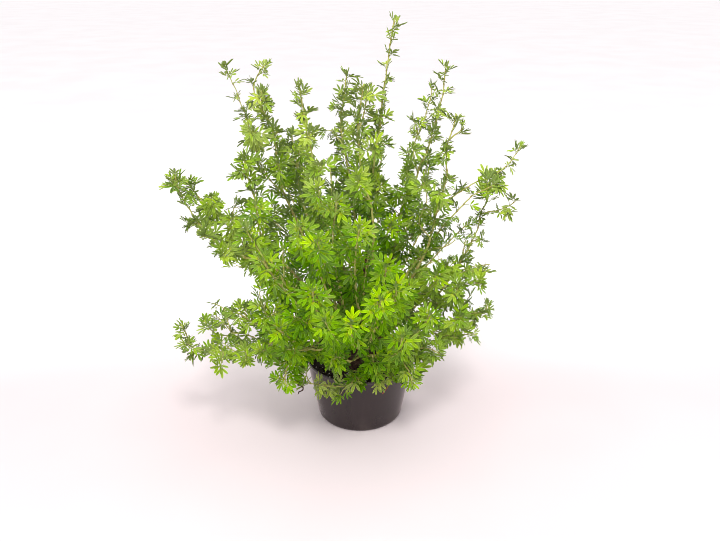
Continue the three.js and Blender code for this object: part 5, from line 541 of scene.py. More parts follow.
115,77,1,61,2184,342,-23,126,-29,10,68,2072,112,47,120,21,33,76,1934,208,0,110,62,3,60,1722,317,56,89,-22,35,75,1597,138,51,119,-3,13,69,1437,254,56,123,15,
24,64,1286,123,-12,113,-41,7,68,1134,183,-16,134,3,12,80,886,254,33,101,-27,6,52,751,173,-13,109,58,20,74,2640,173,55,117,34,11,61,2555,321,-14,132,50,17,70,
2422,61,65,113,-12,8,46,2306,22,-17,123,-31,10,72,2159,199,25,107,18,20,42,2044,4,48,103,0,22,70,1907,357,28,106,-20,6,63,1775,248,52,125,-30,31,58,1579,231,
50,125,-47,39,56,1460,2,60,106,-23,17,44,1266,186,0,98,-58,27,62,1074,68,62,101,24,36,72,905,130,-4,121,49,7,53,785,152,76,111,26,33,77,2655,343,50,73,-26,20,
55,2518,43,18,103,-52,1,49,2413,345,-4,130,-47,14,64,2341,10,-19,117,52,6,50,2169,354,22,80,11,18,64,2037,345,-17,106,-43,57,57,1902,281,51,114,14,29,56,2644,
178,58,108,18,29,52,2523,7,53,98,-14,13,63,2462,344,71,128,-17,38,60,2178,6,-19,126,-10,28,66]),
('be','stem_back_centre','leaves_back_4',0,
[10,160,810,12,194,894,14,228,977,16,268,1058,18,313,1136,24,367,1209,31,423,1279,38,480,1349,45,539,1417,53,598,1484,62,658,1551,71,720,1617,80,782,1682,90,
845,1746,102,909,1808,114,974,1870,127,1040,1931,141,1106,1990,156,1173,2049,171,1241,2106,187,1311,2162,203,1382,2215,219,1456,2264,236,1532,2310,253,1611,
2350,270,1693,2383,288,1778,2409,306,1863,2432,324,1949,2454,342,2035,2476,360,2120,2500],
[2688,302,80,125,-51,57,32,2637,56,32,109,14,45,41,2644,182,27,118,-38,30,49,2617,21,-3,115,-34,8,63,2594,140,-9,122,-36,18,75,2575,237,16,113,-59,22,90,2706,
354,80,62,3,95,25,2706,174,80,62,15,95,25,2593,190,-21,132,-33,42,89,2453,54,29,129,40,23,73,2350,285,18,97,42,24,70,2245,17,19,124,28,12,71,2119,78,-23,123,
5,7,52,1995,351,-4,126,48,8,61,1875,35,48,101,-12,11,61,1770,244,55,111,-21,1,58,1606,353,20,129,-58,0,72,1453,211,61,108,37,4,73,1287,210,22,134,-48,25,63,
1137,333,9,113,3,12,71,969,286,-12,122,40,11,54,812,320,56,107,47,5,52,2460,84,22,86,-25,20,53,2364,340,50,123,-45,36,66,2241,167,2,94,12,11,51,2116,311,-8,
98,8,18,48,1960,89,17,125,-11,37,58,1891,88,2,70,15,17,59,1751,178,26,73,12,16,51,1610,1,13,100,-32,13,56,1450,348,75,107,-56,34,64,1271,133,69,100,34,42,38,
1156,119,-5,118,-40,11,60,984,78,1,114,8,27,57,763,45,38,103,-38,33,50,2487,294,-4,113,-36,11,44,2381,14,23,113,35,21,47,2200,160,11,76,30,37,50,2491,325,29,
108,25,21,56,2337,23,59,74,25,14,51,2122,353,0,81,-35,30,41,1971,239,18,107,-35,49,52]),
('bf','stem_back_centre','leaves_back_3',0,
[10,160,810,12,193,893,14,227,975,16,268,1054,19,315,1130,22,353,1211,26,387,1293,30,420,1376,34,453,1459,39,484,1543,43,516,1626,48,547,1709,54,579,1793,60,
611,1876,67,643,1959,74,676,2041,83,710,2123,92,744,2205,103,780,2286,115,815,2367,127,851,2448,140,887,2529,153,923,2609,166,959,2690,180,996,2770,194,1032,
2850,208,1068,2931,222,1105,3011,236,1141,3091,250,1178,3171,265,1215,3251,280,1252,3331,295,1289,3411,310,1326,3490,325,1363,3570,340,1400,3650],
[3114,169,39,107,10,50,35,3070,281,70,98,-12,36,43,3035,103,36,81,-15,67,42,2986,181,-13,108,42,12,60,2965,306,49,85,-4,21,74,2919,172,-24,104,5,19,92,3120,
240,80,62,-1,95,25,3120,60,80,62,6,95,25,2962,185,15,106,73,33,70,2867,200,-22,83,53,15,65,2715,151,38,126,7,13,78,2614,156,11,127,55,20,63,2523,256,55,127,
38,18,46,2348,182,-15,127,32,3,53,2243,191,-23,134,8,41,66,2111,152,14,120,62,25,87,1970,256,55,115,31,8,62,1837,297,50,121,24,10,68,1695,92,50,118,40,0,51,
1527,350,-28,119,-49,12,53,1385,27,66,130,-38,22,58,1257,289,-16,119,-32,21,68,1119,23,44,111,7,11,74,881,104,41,124,37,0,65,2877,3,54,76,12,13,49,2721,138,
22,110,13,11,63,2628,344,-1,111,-49,18,53,2521,82,1,90,20,27,56,2355,43,-9,101,34,11,56,2268,139,36,109,21,33,46,2160,184,-16,128,31,51,73,1933,129,-9,120,
-21,36,47,1836,84,-1,112,28,13,50,1701,269,53,104,-4,15,61,1565,57,72,126,-21,47,61,1379,45,26,121,-38,4,73,1284,344,-10,101,-53,8,48,1097,23,27,106,-59,12,
53,889,12,5,100,-33,10,62,2874,178,3,111,-42,29,63,2758,206,70,99,5,29,50,2636,335,60,112,20,23,54,2509,4,18,126,5,2,58,2429,82,57,75,-3,13,62,2257,142,56,
116,34,12,60,2112,187,10,102,35,22,52,2035,169,18,121,62,31,54,2902,94,-1,75,33,25,46,2715,202,7,114,53,34,62,2404,96,50,122,26,24,67]),
('bg','stem_back_centre','leaves_back_5',0,
[10,160,810,12,194,894,14,228,977,18,265,1060,21,309,1139,14,379,1194,2,460,1234,-12,543,1267,-27,627,1296,-42,712,1324,-56,797,1351,-70,882,1378,-82,967,
1406,-94,1052,1436,-104,1137,1466,-115,1221,1497,-125,1306,1526,-134,1392,1552,-144,1480,1574,-152,1568,1591,-161,1658,1600,-168,1748,1599,-174,1838,1590,
-180,1927,1575,-185,2015,1556,-190,2103,1536,-195,2191,1517,-200,2280,1500],
[2408,63,43,101,-12,56,32,2407,188,31,91,23,52,50,2371,8,63,93,-29,35,53,2344,102,-14,118,-26,5,63,2318,331,34,120,-37,22,67,2287,37,16,111,16,10,80,2439,153,
80,61,14,95,25,2439,333,80,61,-2,95,25,2301,60,-31,126,59,7,72,2216,330,2,136,70,29,64,2114,101,-23,147,5,2,63,2012,173,0,123,-76,6,62,1888,50,-17,116,-62,15,
59,1763,165,2,141,63,14,70,1620,158,-11,110,-58,26,89,1460,328,9,126,43,0,59,1294,209,-16,123,-38,17,72,1151,334,65,114,-36,3,66,1024,151,12,115,-65,7,71,836,
341,4,107,45,14,57,678,2,-32,132,-66,17,58,2199,351,53,78,-25,9,46,2093,286,44,96,-43,43,39,1984,316,10,119,37,38,63,1829,149,7,110,3,30,61,1747,61,2,112,9,
13,53,1621,27,51,109,-29,22,42,1474,341,24,73,24,17,56,1319,119,-4,105,-34,36,53,1171,101,-13,85,-39,11,71,1018,160,3,100,-62,9,48,836,301,53,101,-48,13,42,
685,59,-4,110,38,23,44]),
('bh','stem_back_right','leaves_back_6',0,
[90,140,810,115,174,890,142,211,970,173,254,1044,207,299,1115,242,345,1185,278,391,1255,314,436,1326,350,482,1395,386,528,1465,423,574,1535,460,620,1604,496,
667,1674,534,713,1743,571,760,1811,609,806,1880,647,853,1948,687,900,2016,727,946,2083,767,993,2150,808,1039,2217,849,1087,2283,889,1135,2349,929,1184,2415,
968,1234,2480,1006,1286,2544,1043,1340,2608,1079,1395,2671,1114,1451,2733,1149,1508,2795,1184,1564,2857,1220,1620,2920],
[2793,219,64,87,-21,72,32,2747,16,47,110,-34,68,47,2742,163,23,89,14,34,50,2689,327,-22,101,-3,0,57,2663,71,-15,97,-15,2,85,2644,148,56,86,-31,8,87,2821,285,
80,62,-11,95,25,2821,105,80,62,8,95,25,2651,27,-2,93,-35,48,49,2564,122,-12,127,-13,17,56,2425,150,-21,89,61,22,71,2354,337,-19,129,-50,2,70,2241,171,39,115,
56,27,70,2082,220,55,115,38,8,59,1954,165,-15,129,-30,10,46,1767,321,-28,110,-46,8,74,1673,96,-17,114,26,10,62,1497,206,38,123,-56,14,61,1362,277,6,117,-31,3,
63,1200,156,-34,101,31,0,68,1037,152,57,120,-43,5,57,888,50,0,94,-32,0,55,2578,94,-9,94,-26,11,59,2480,319,59,106,-23,15,53,2349,316,20,100,20,15,57,2195,180,
7,107,19,16,55,2083,279,24,97,11,25,55,1961,148,62,81,-34,18,62,1827,112,1,70,-15,39,46,1654,38,56,104,-43,32,44,1534,100,-6,103,17,15,45,1355,174,61,80,-17,
23,59,1237,152,22,108,37,17,70,1025,258,59,109,32,24,44,886,187,64,128,60,38,68,2558,337,23,104,-25,0,58,2416,185,7,77,-53,34,70,2319,249,67,78,-35,1,64,2148,
177,2,121,24,23,62,2084,74,53,73,10,12,44,1913,184,42,75,11,42,50,1832,102,3,99,-23,22,48,1674,281,53,105,33,15,60,1527,220,54,96,28,13,46,2443,52,-8,74,-39,
16,62,2322,347,19,111,-39,28,42,2203,186,35,109,29,35,59,2078,279,23,84,-16,23,58,1967,181,16,78,-16,18,68,1672,118,0,73,22,10,55,1506,135,-3,76,-30,10,49,
1386,204,-9,110,32,24,66]),
('bi','stem_back_right','leaves_back_7',0,
[90,140,810,115,174,889,141,209,967,168,252,1041,206,296,1109,254,336,1173,304,376,1236,356,415,1298,410,453,1358,464,491,1419,518,529,1479,573,566,1540,628,
602,1600,684,637,1661,740,672,1722,796,705,1783,853,738,1844,911,769,1905,969,800,1966,1028,830,2027,1087,859,2087,1147,887,2148,1208,914,2208,1269,941,2267,
1331,966,2327,1394,989,2386,1458,1012,2444,1522,1034,2503,1586,1057,2561,1650,1080,2620],
[2593,347,59,123,-31,61,50,2526,68,40,94,-17,46,33,2532,267,74,122,-4,48,59,2470,357,52,88,9,26,71,2455,175,23,124,-32,19,71,2421,256,0,94,11,32,69,2595,41,
80,62,-1,95,25,2449,252,-5,99,20,8,78,2349,162,-13,99,-24,24,64,2232,182,-7,122,-37,22,81,2062,164,-26,137,-70,25,76,1969,101,13,86,65,24,68,1843,171,8,119,9,
0,52,1687,240,10,88,39,15,55,1503,81,-25,117,-57,0,69,1408,192,41,90,-71,0,60,1294,354,46,129,-58,17,72,1112,189,-26,101,46,2,52,956,322,69,109,-15,15,74,759,
351,-20,130,-32,8,69,2383,315,42,86,-7,16,51,2216,197,56,96,-32,27,40,2057,180,-14,125,31,21,53,1950,191,1,99,0,40,40,1803,178,18,73,-25,3,51,1707,178,23,115,
-18,31,61,1547,1,2,93,-35,0,43,1392,356,42,98,-32,9,56,1268,190,60,115,12,30,58,1128,49,-5,106,22,17,46,940,232,41,107,-36,24,52,731,343,35,124,-28,10,61,
1949,177,7,99,7,34,55,1546,43,55,106,-20,15,53,1960,135,7,85,-28,19,56,1562,16,16,115,43,21,52]),
('bj','stem_back_right','leaves_back_8',0,
[90,140,810,115,174,890,142,211,969,171,249,1046,207,302,1110,246,366,1162,285,433,1209,325,502,1253,365,572,1295,406,642,1335,448,712,1375,490,783,1413,535,
853,1450,581,922,1486,630,991,1521,681,1058,1554,734,1124,1587,789,1190,1618,845,1255,1647,902,1321,1673,959,1389,1695,1016,1457,1712,1072,1528,1723,1127,
1600,1725,1183,1672,1721,1237,1744,1712,1291,1816,1700,1345,1888,1689,1400,1960,1680],
[2531,50,27,94,-18,48,36,2464,21,29,120,-41,44,62,2405,59,26,107,-13,8,65,2436,198,12,110,-5,5,70,2389,27,17,122,17,10,80,2408,69,34,90,-45,43,82,2291,28,60,
117,2,25,55,2180,173,-3,118,-64,29,66,2116,212,-17,136,-62,17,62,1959,67,-22,111,44,4,45,1786,190,28,138,50,18,73,1682,224,4,118,-45,0,70,1536,146,36,131,19,
36,53,1386,232,30,133,-47,28,74,1237,111,-17,114,-21,15,44,1124,69,-25,84,60,30,62,908,22,59,100,35,11,70,743,37,-20,124,24,0,48,2314,4,-4,108,-14,11,56,2172,
218,33,84,-32,14,45,2069,170,-8,117,-10,32,52,1988,70,10,117,22,36,64,1798,135,6,104,25,21,58,1663,194,24,124,35,51,43,1516,33,31,112,38,11,49,1393,126,60,96,
19,34,60,1251,199,-6,105,-46,10,62,1099,343,25,115,-43,28,50,933,164,18,105,40,41,62,756,111,-5,113,-54,1,58,2165,179,44,105,-7,41,70,1961,113,6,120,-23,26,
64]),
('bk','stem_left_tall','leaves_top_7',0,
[-90,80,810,-103,87,899,-116,93,988,-131,100,1077,-148,106,1165,-168,118,1252,-191,140,1336,-215,166,1420,-239,192,1502,-264,221,1584,-289,249,1666,-314,279,
1747,-340,308,1829,-365,338,1910,-391,368,1991,-416,398,2072,-442,429,2153,-467,459,2234,-493,489,2315,-519,519,2396,-545,548,2477,-571,578,2558,-598,608,
2639,-625,638,2720,-653,668,2800,-680,699,2881,-706,729,2961,-732,760,3042,-757,791,3123,-781,822,3204,-803,852,3286,-824,884,3368,-844,915,3450,-863,946,
3533,-882,977,3615,-901,1009,3698,-920,1040,3780],
[3217,242,34,103,-37,44,38,3170,350,37,83,-61,39,43,3144,131,27,86,29,48,46,3135,341,-8,131,-51,22,59,3098,148,-17,94,-51,34,82,3087,250,-3,104,28,32,79,3244,
327,80,62,15,95,25,3244,147,80,62,-10,95,25,3079,29,-11,114,-60,4,67,2996,205,-13,131,49,14,63,2842,50,51,116,-17,9,68,2738,279,70,120,-16,3,79,2656,244,50,
99,-44,17,73,2544,186,62,132,50,2,62,2356,232,54,111,-52,9,52,2188,24,56,136,-59,2,54,2084,77,46,121,-46,29,64,1941,42,65,134,-40,26,62,1799,81,0,122,-3,0,64,
1663,194,63,128,31,32,88,1483,24,49,115,-59,28,66,1345,256,-27,85,41,9,80,1182,5,-29,115,-69,0,55,1056,72,56,123,-12,26,64,878,310,-28,110,-28,7,55,2974,149,
59,74,-25,43,55,2900,217,-7,92,-62,28,47,2762,207,40,115,-51,15,59,2626,263,55,73,-49,11,49,2513,133,61,108,7,21,42,2374,157,-6,80,-28,19,62,2195,14,9,100,
-26,17,52,2102,244,51,66,-2,19,57,1947,72,53,118,-46,3,54,1820,38,45,110,-8,26,43,1644,337,16,127,-37,37,44,1494,266,-4,111,24,21,43,1337,344,-9,123,-35,14,
69,1220,342,-7,122,-35,32,44,1071,177,24,101,42,7,57,894,18,46,78,-33,35,55,3011,227,29,86,-32,23,53,2857,100,55,127,18,18,62,2760,78,9,104,-47,4,57,2648,144,
55,99,21,24,62,2515,127,46,102,53,21,47,2355,188,34,113,-53,36,61,2238,220,56,116,51,30,56,2061,131,61,110,47,28,46,1938,198,-10,105,13,16,57,2852,177,21,121,
68,42,46,2756,161,23,65,-22,35,52,2641,53,62,99,8,14,62,2539,293,63,89,8,17,62,2220,166,62,84,23,31,45,2108,277,63,108,-39,37,58]),
('bl','stem_right_tall','leaves_back_9',0,
[90,60,810,103,68,899,115,76,989,129,85,1078,144,91,1167,163,104,1255,188,129,1338,214,159,1420,242,191,1500,270,225,1579,298,260,1658,327,295,1736,356,331,
1814,386,367,1892,415,403,1970,445,439,2048,474,476,2125,504,511,2203,534,547,2281,564,582,2359,595,616,2437,626,650,2515,657,684,2593,690,718,2671,722,752,
2748,755,786,2826,787,819,2904,818,852,2982,849,885,3061,877,917,3141,904,947,3222,928,977,3304,951,1006,3387,974,1035,3470,995,1063,3554,1017,1091,3637,1040,
1120,3720],
[3228,204,37,91,-23,54,46,3199,66,16,134,31,49,57,3181,202,68,90,30,55,53,3161,327,-11,108,-36,7,76,3131,115,-20,121,-53,16,70,3100,252,28,99,-5,20,72,3261,
284,80,62,11,95,25,3261,104,80,62,9,95,25,3116,144,-11,119,55,20,76,3000,346,70,98,-56,41,65,2922,157,56,110,-48,8,51,2802,318,33,106,32,13,56,2637,177,-11,
134,53,0,57,2520,136,-10,114,41,28,50,2406,311,-38,114,-60,0,84,2280,164,30,123,38,21,55,2128,270,39,104,20,15,75,1995,148,27,127,37,36,63,1823,169,-27,101,
57,3,81,1666,313,-10,116,-8,9,72,1560,171,43,130,51,6,65,1352,217,-21,127,52,26,51,1183,135,59,100,-3,2,74,1025,166,62,116,47,3,66,864,89,60,102,37,2,74,3021,
344,1,79,-27,12,54,2919,128,36,124,-23,28,41,2776,37,-1,101,-30,14,51,2697,106,6,75,22,11,56,2551,95,-2,107,-23,14,52,2408,139,48,83,11,20,54,2275,199,-4,114,
-56,34,32,2145,196,21,111,-51,44,54,1934,162,2,77,48,34,65,1838,355,-3,110,19,11,48,1693,141,33,100,3,16,61,1526,248,61,98,-40,14,61,1369,167,21,104,20,21,63,
1164,132,44,119,28,29,61,1018,130,62,95,31,14,54,826,116,52,122,-2,30,61,3055,351,33,117,-18,40,50,2921,337,-16,72,-7,6,54,2775,323,-6,86,-24,27,53,2678,176,
60,103,-19,10,50,2569,249,25,95,-8,19,51,2414,34,35,71,-13,12,57,2275,260,50,99,23,23,47,2113,17,32,73,-39,18,52,2014,57,59,94,-32,10,65,1827,190,67,111,7,26,
60,1674,66,58,76,6,31,51,1509,349,31,102,-18,23,57,3028,344,-2,115,12,14,47,2936,35,6,81,29,34,70,2792,359,28,80,-23,20,58,2656,171,20,98,17,21,62,2535,281,
-8,75,31,26,53,2433,270,57,106,-2,8,57,2253,58,21,76,10,21,51,2091,60,56,75,-25,27,46,2005,7,55,117,-51,31,74,1688,134,24,119,47,4,47,1534,291,56,120,23,27,
57]),
('bm','stem_left_upper','leaves_left_6',0,
[-140,20,810,-170,22,896,-202,25,982,-237,23,1066,-287,36,1141,-344,59,1208,-404,84,1273,-465,112,1335,-526,140,1396,-589,169,1456,-652,199,1516,-715,228,
1575,-779,258,1633,-844,288,1690,-910,318,1746,-976,347,1802,-1043,376,1856,-1112,405,1909,-1183,433,1960,-1255,461,2009,-1328,488,2056,-1402,516,2101,-1479,
543,2143,-1556,571,2183,-1635,598,2221,-1715,625,2256,-1797,651,2286,-1880,678,2313,-1965,703,2335,-2050,729,2356,-2135,754,2377,-2220,780,2400],
[2817,30,36,86,20,50,35,2778,69,32,121,17,51,48,2774,253,28,87,-27,40,67,2709,26,15,130,-43,27,61,2705,148,12,118,12,10,71,2689,357,32,102,-51,4,89,2829,42,
80,62,-9,95,25,2829,222,80,62,0,95,25,2653,33,-17,105,-41,4,79,2612,207,-31,116,-11,32,70,2439,12,-24,99,-33,1,56,2310,51,-10,138,-35,20,58,2215,312,29,114,
30,0,55,2067,5,47,137,10,0,54,1939,157,63,119,40,13,80,1829,1,-17,98,-44,11,58,1707,125,57,118,-12,12,54,1522,184,10,116,29,5,43,1380,25,62,113,-26,9,48,1251,
184,-7,127,41,2,76,1051,228,11,135,40,2,43,893,119,52,109,11,35,68,701,178,26,109,-16,5,80,2600,148,-3,112,-64,35,60,2456,19,-2,105,47,33,57,2373,34,0,121,26,
25,54,2245,357,57,99,16,4,52,2079,249,2,103,-25,12,63,1958,21,58,75,0,44,62,1861,63,61,106,-41,23,43,1681,40,10,76,-44,30,64,1579,209,20,127,33,34,64,1378,
193,-11,107,49,24,39,1210,190,10,93,51,15,59,1075,288,49,119,-30,10,73,925,29,66,114,-28,0,58,699,23,3,104,-54,3,60,2461,352,55,92,-9,31,45,2349,21,29,79,-17,
12,68,2228,250,32,70,-28,41,48,2085,199,-6,98,30,24,62,1959,347,59,106,-18,39,62,2571,120,55,114,30,45,55,2341,356,64,97,-21,17,51,2237,345,-1,111,38,0,54,
2130,80,56,105,41,26,68,1557,327,54,100,17,37,38]),
('bn','stem_right_upper','leaves_right_3',0,
[140,0,810,164,-2,895,189,-4,980,215,-10,1065,250,-12,1145,306,6,1211,368,31,1269,432,59,1324,497,88,1377,563,118,1428,629,149,1478,696,181,1526,763,213,1575,
830,246,1621,898,279,1668,966,313,1713,1035,347,1758,1103,382,1802,1172,418,1845,1240,456,1887,1309,496,1927,1378,536,1964,1449,578,1998,1522,619,2027,1597,
659,2049,1676,697,2061,1757,734,2064,1838,769,2059,1919,804,2053,2000,840,2050],
[2479,65,21,89,-29,62,53,2437,13,-19,111,12,7,63,2410,91,16,86,4,16,78,2439,35,15,100,-35,8,72,2329,58,-33,103,10,24,69,2234,21,10,93,3,10,57,2083,82,68,122,
-40,21,60,1990,171,21,114,46,4,72,1896,299,50,123,29,11,47,1735,188,61,124,60,22,34,1603,301,21,96,-32,24,73,1405,38,-28,136,32,12,60,1298,141,7,128,57,32,55,
1148,104,-4,86,51,0,65,936,61,56,122,-22,36,52,798,347,62,133,-44,30,56,2272,339,28,94,-38,30,65,2087,350,26,108,15,19,54,1989,197,-3,77,-7,11,50,1864,193,56,
113,10,23,48,1720,237,64,103,10,15,37,1572,281,67,77,-26,19,58,1434,350,22,109,-18,20,48,1273,54,-1,95,12,22,54,1127,108,6,83,27,19,46,955,42,39,106,-31,22,
63,771,337,-10,64,-32,12,43,2259,339,-3,104,-19,30,65,2108,29,54,110,-24,14,56,1448,321,25,112,22,7,61,1280,347,2,115,-26,43,45,1168,297,26,100,7,10,46,966,
213,44,99,-36,42,44,788,326,-5,73,-16,15,64,1249,120,21,78,17,34,47,963,13,57,89,-8,19,60,782,326,60,79,-12,22,55]),
('bo','stem_back_left','leaves_back_2',0,
[-90,150,810,-113,185,891,-137,221,970,-161,259,1049,-200,313,1110,-250,376,1152,-303,440,1188,-358,505,1220,-413,572,1249,-468,639,1276,-523,706,1302,-578,
774,1327,-632,843,1350,-686,912,1373,-738,983,1395,-788,1056,1416,-837,1130,1435,-884,1206,1452,-931,1282,1468,-977,1360,1481,-1023,1437,1491,-1069,1515,1497,
-1116,1593,1500,-1164,1670,1496,-1211,1747,1486,-1258,1823,1471,-1306,1898,1453,-1353,1974,1436,-1400,2050,1420],
[2537,123,29,125,-35,70,41,2467,328,68,81,-32,37,46,2471,53,66,102,-26,35,53,2451,139,-5,123,-23,16,63,2454,17,5,115,-50,32,63,2352,75,11,122,36,20,70,2539,
198,80,61,20,95,25,2539,18,80,61,20,95,25,2414,321,4,124,45,36,61,2295,102,13,137,-37,18,71,2235,353,6,132,-61,13,62,2043,85,-18,117,29,6,62,1915,315,-6,132,
32,5,54,1839,124,16,113,-25,45,76,1673,161,8,111,33,1,57,1513,272,70,128,51,27,70,1380,35,-16,93,-31,12,48,1239,238,25,122,32,8,55,1090,22,55,128,-46,1,52,
914,273,-24,92,3,2,64,766,26,46,121,35,2,59,2293,13,0,108,-35,21,45,2209,279,-3,110,-35,20,50,2040,34,-2,100,-12,28,63,1971,164,-9,108,-24,24,61,1812,352,63,
118,-17,16,46,1657,253,24,77,-27,12,62,1528,207,53,115,25,14,59,1395,301,30,104,17,16,63,1222,330,9,111,-46,32,58,1059,335,34,107,-52,32,52,921,294,55,107,5,
29,43,710,106,53,121,17,16,47,1796,24,29,96,-4,17,56,1946,88,56,87,13,22,46,1818,23,31,97,20,36,66]),
('C2','stem_front_centre','leaves_top_3',1,
[-25,-379,4373,-2,-308,4423,23,-240,4476,46,-193,4549,67,-144,4623,79,-96,4698,88,-48,4774,115,0,4845],
[582,332,39,79,-53,47,32,549,96,21,100,-23,44,53,511,179,34,92,-3,37,51,528,7,-11,137,-51,10,72,475,145,27,96,-49,34,83,628,345,80,62,4,95,25,502,50,-28,90,
42,30,58,400,259,62,134,-24,9,57,274,13,53,93,-1,5,75,151,99,-22,114,13,10,61,416,232,49,115,35,29,62,296,359,1,90,24,11,63,146,78,35,114,32,12,50,228,181,8,
91,0,32,43,109,93,-15,117,28,27,47,272,10,-6,106,-4,29,69,157,38,29,86,21,23,50]),
('F','stem_centre_tall','leaves_top_4',1,
[-610,-656,4266,-599,-725,4325,-601,-761,4409,-601,-800,4493],
[235,138,39,107,41,47,46,221,279,65,87,32,65,42,199,332,30,85,-24,30,55,176,157,-2,116,18,10,62,182,255,-8,113,13,0,87,272,164,80,61,-9,95,25,272,344,80,61,
16,95,25,158,347,59,122,43,17,64]),
('I','stem_left_tall','leaves_top_5',1,
[-1319,418,4485,-1311,367,4554,-1310,325,4629,-1306,288,4706,-1285,250,4781],
[291,166,83,92,-24,39,36,285,307,22,118,-38,57,44,276,9,50,95,1,44,60,246,245,-15,116,25,28,66,186,306,-21,128,-27,30,81,341,193,80,62,13,95,25,341,13,80,62,
0,95,25,214,200,-19,106,3,15,69]),
('J','stem_left_tall','leaves_top_6',1,
[-1035,276,3297,-1045,215,3361,-1063,153,3423,-1096,97,3483,-1155,73,3545,-1207,49,3613,-1251,25,3686,-1286,0,3764,-1313,-24,3845,-1334,-49,3928,-1354,-74,
4011,-1373,-99,4094,-1393,-124,4177,-1413,-149,4260,-1420,-175,4345,-1423,-200,4430,-1430,-226,4515,-1453,-253,4596,-1481,-281,4676,-1499,-308,4759,-1511,
-335,4843,-1538,-363,4922,-1566,-392,5002,-1594,-421,5081,-1617,-450,5162],
[2125,336,29,113,9,55,33,2098,219,67,82,-30,48,38,2056,338,56,91,-47,67,50,2008,48,-10,96,9,11,52,1998,256,50,86,-11,31,65,2131,88,80,62,17,95,25,2010,333,4,
101,-32,32,55,1900,357,-12,99,1,16,56,1744,293,0,99,-39,18,59,1655,154,-4,103,-28,2,79,1497,25,-22,125,-6,28,73,1427,311,-27,99,-41,28,71,1261,90,-1,123,31,
12,66,1125,221,-24,123,-40,10,59,997,336,-21,108,-31,1,51,847,288,-18,118,-30,9,65,729,314,-14,121,-43,4,52,538,186,70,98,4,29,62,448,189,67,105,-59,4,59,267,
360,-19,93,-41,21,55,1655,154,57,77,-26,22,47,1523,286,48,66,-20,14,60,1409,323,21,72,18,23,70,1298,116,32,85,38,13,42,1144,44,18,76,-4,32,52,990,202,40,113,
17,29,50,840,146,42,79,3,12,70,721,87,31,98,32,17,58,573,46,39,73,-15,23,55,454,155,21,117,40,44,46,305,205,-7,109,-52,15,55,1511,233,24,85,-15,20,44,1417,
171,11,68,-31,26,54,1280,266,2,70,21,15,57,1137,150,-1,103,-37,14,42,928,326,-1,103,-2,41,61,865,28,24,110,19,20,58,719,172,0,85,-32,23,53,575,167,35,102,-27,
7,63,297,319,8,69,-47,17,51,1305,46,14,103,16,35,40,1117,340,60,115,20,16,63,972,329,4,115,18,21,54,838,259,-2,118,0,22,68,725,261,50,91,36,24,38,587,232,61,
117,-39,41,49,275,238,42,111,-12,0,55]),
('K','stem_left_tall','leaves_top_6',1,
[-1404,-137,4221,-1392,-225,4259,-1376,-314,4293,-1355,-405,4316,-1335,-493,4348,-1317,-579,4387,-1299,-665,4429,-1282,-750,4470],
[646,233,23,120,35,34,41,614,303,29,122,-34,58,39,584,163,19,106,7,40,46,582,261,2,107,14,9,68,551,345,8,136,-52,7,80,672,268,80,61,0,95,25,672,88,80,61,13,
95,25,545,183,6,87,2,18,64,446,294,-11,134,-38,22,58,315,332,1,119,13,0,74,155,240,-6,94,-46,8,55,487,255,-5,102,-10,46,67,309,287,-4,116,22,11,55,221,106,44,
85,24,40,54,472,295,64,101,-24,22,44,362,46,68,101,15,21,69,184,145,2,88,-8,21,55,433,44,55,76,29,23,53,299,324,9,84,31,16,64,233,337,-1,108,17,22,60]),
('L2','stem_front_left','leaves_left_1',1,
[-1290,-742,3266,-1278,-820,3319,-1270,-892,3380,-1265,-955,3452,-1260,-1019,3522,-1256,-1084,3591,-1251,-1150,3660],
[531,218,21,101,36,41,40,538,42,39,98,-27,66,40,486,165,55,98,10,36,49,469,354,-1,123,-22,18,57,444,39,-7,95,-29,10,71,568,317,80,59,12,95,25,568,137,80,59,
-20,95,25,461,236,-11,126,22,0,89,287,342,-24,103,8,18,81,202,298,-18,120,-30,12,53,332,299,-5,118,32,29,57,219,238,0,110,-20,32,49,307,341,37,101,-48,22,40,
198,234,19,92,-51,39,66,316,120,16,75,-4,8,65,202,16,-6,116,-17,44,43]),
('O','stem_left_upper','leaves_left_3',1,
[-1996,237,3031,-2007,176,3094,-2006,111,3155,-2007,48,3219,-2005,-14,3283,-1997,-76,3347,-1987,-138,3410,-1977,-200,3474],
[607,268,20,119,20,34,34,560,20,36,92,-52,54,40,539,193,72,89,-56,25,44,496,307,-6,130,-22,12,56,450,348,11,84,27,30,72,622,276,80,62,20,95,25,622,96,80,62,
-8,95,25,517,239,-36,110,59,24,55,397,284,-24,120,-18,22,60,268,176,-17,137,36,0,65,142,320,-17,102,15,0,58,380,359,-2,92,16,45,69,291,347,20,82,29,18,51,154,
286,4,111,13,22,44,393,103,61,75,-19,14,63,262,347,35,112,-35,12,54,153,132,59,89,8,44,55,418,38,50,104,0,9,58,283,177,2,109,30,22,49,168,69,19,107,-39,2,
63]),
('P','stem_left_upper','leaves_left_3',1,
[-1731,200,2733,-1721,145,2801,-1709,78,2857,-1708,9,2913,-1710,-59,2969,-1710,-128,3025,-1706,-196,3081,-1698,-264,3137,-1689,-332,3193,-1681,-400,3249],
[791,330,34,115,-16,32,32,705,213,16,105,25,63,32,733,303,24,122,-34,47,57,655,139,29,95,-14,6,61,660,196,4,106,17,16,71,793,85,80,62,0,95,25,793,265,80,62,
12,95,25,625,291,6,121,-6,12,59,536,277,2,121,-5,34,83,426,39,8,123,24,25,57,291,320,-12,95,-26,30,62,177,327,9,133,-46,21,70,591,88,55,78,-5,20,66,468,236,3,
105,23,35,47,333,28,3,100,5,12,48,185,5,-1,91,-31,6,56,589,47,3,77,-41,25,41,469,8,19,116,-6,39,47,310,296,-3,93,-32,33,51,167,0,7,116,15,43,65,199,339,1,105,
-12,27,61]),
('M2','stem_left_upper','leaves_left_2',1,
[-1908,-376,2890,-1922,-453,2933,-1940,-526,2981,-1960,-599,3029,-1980,-674,3072,-2002,-750,3115],
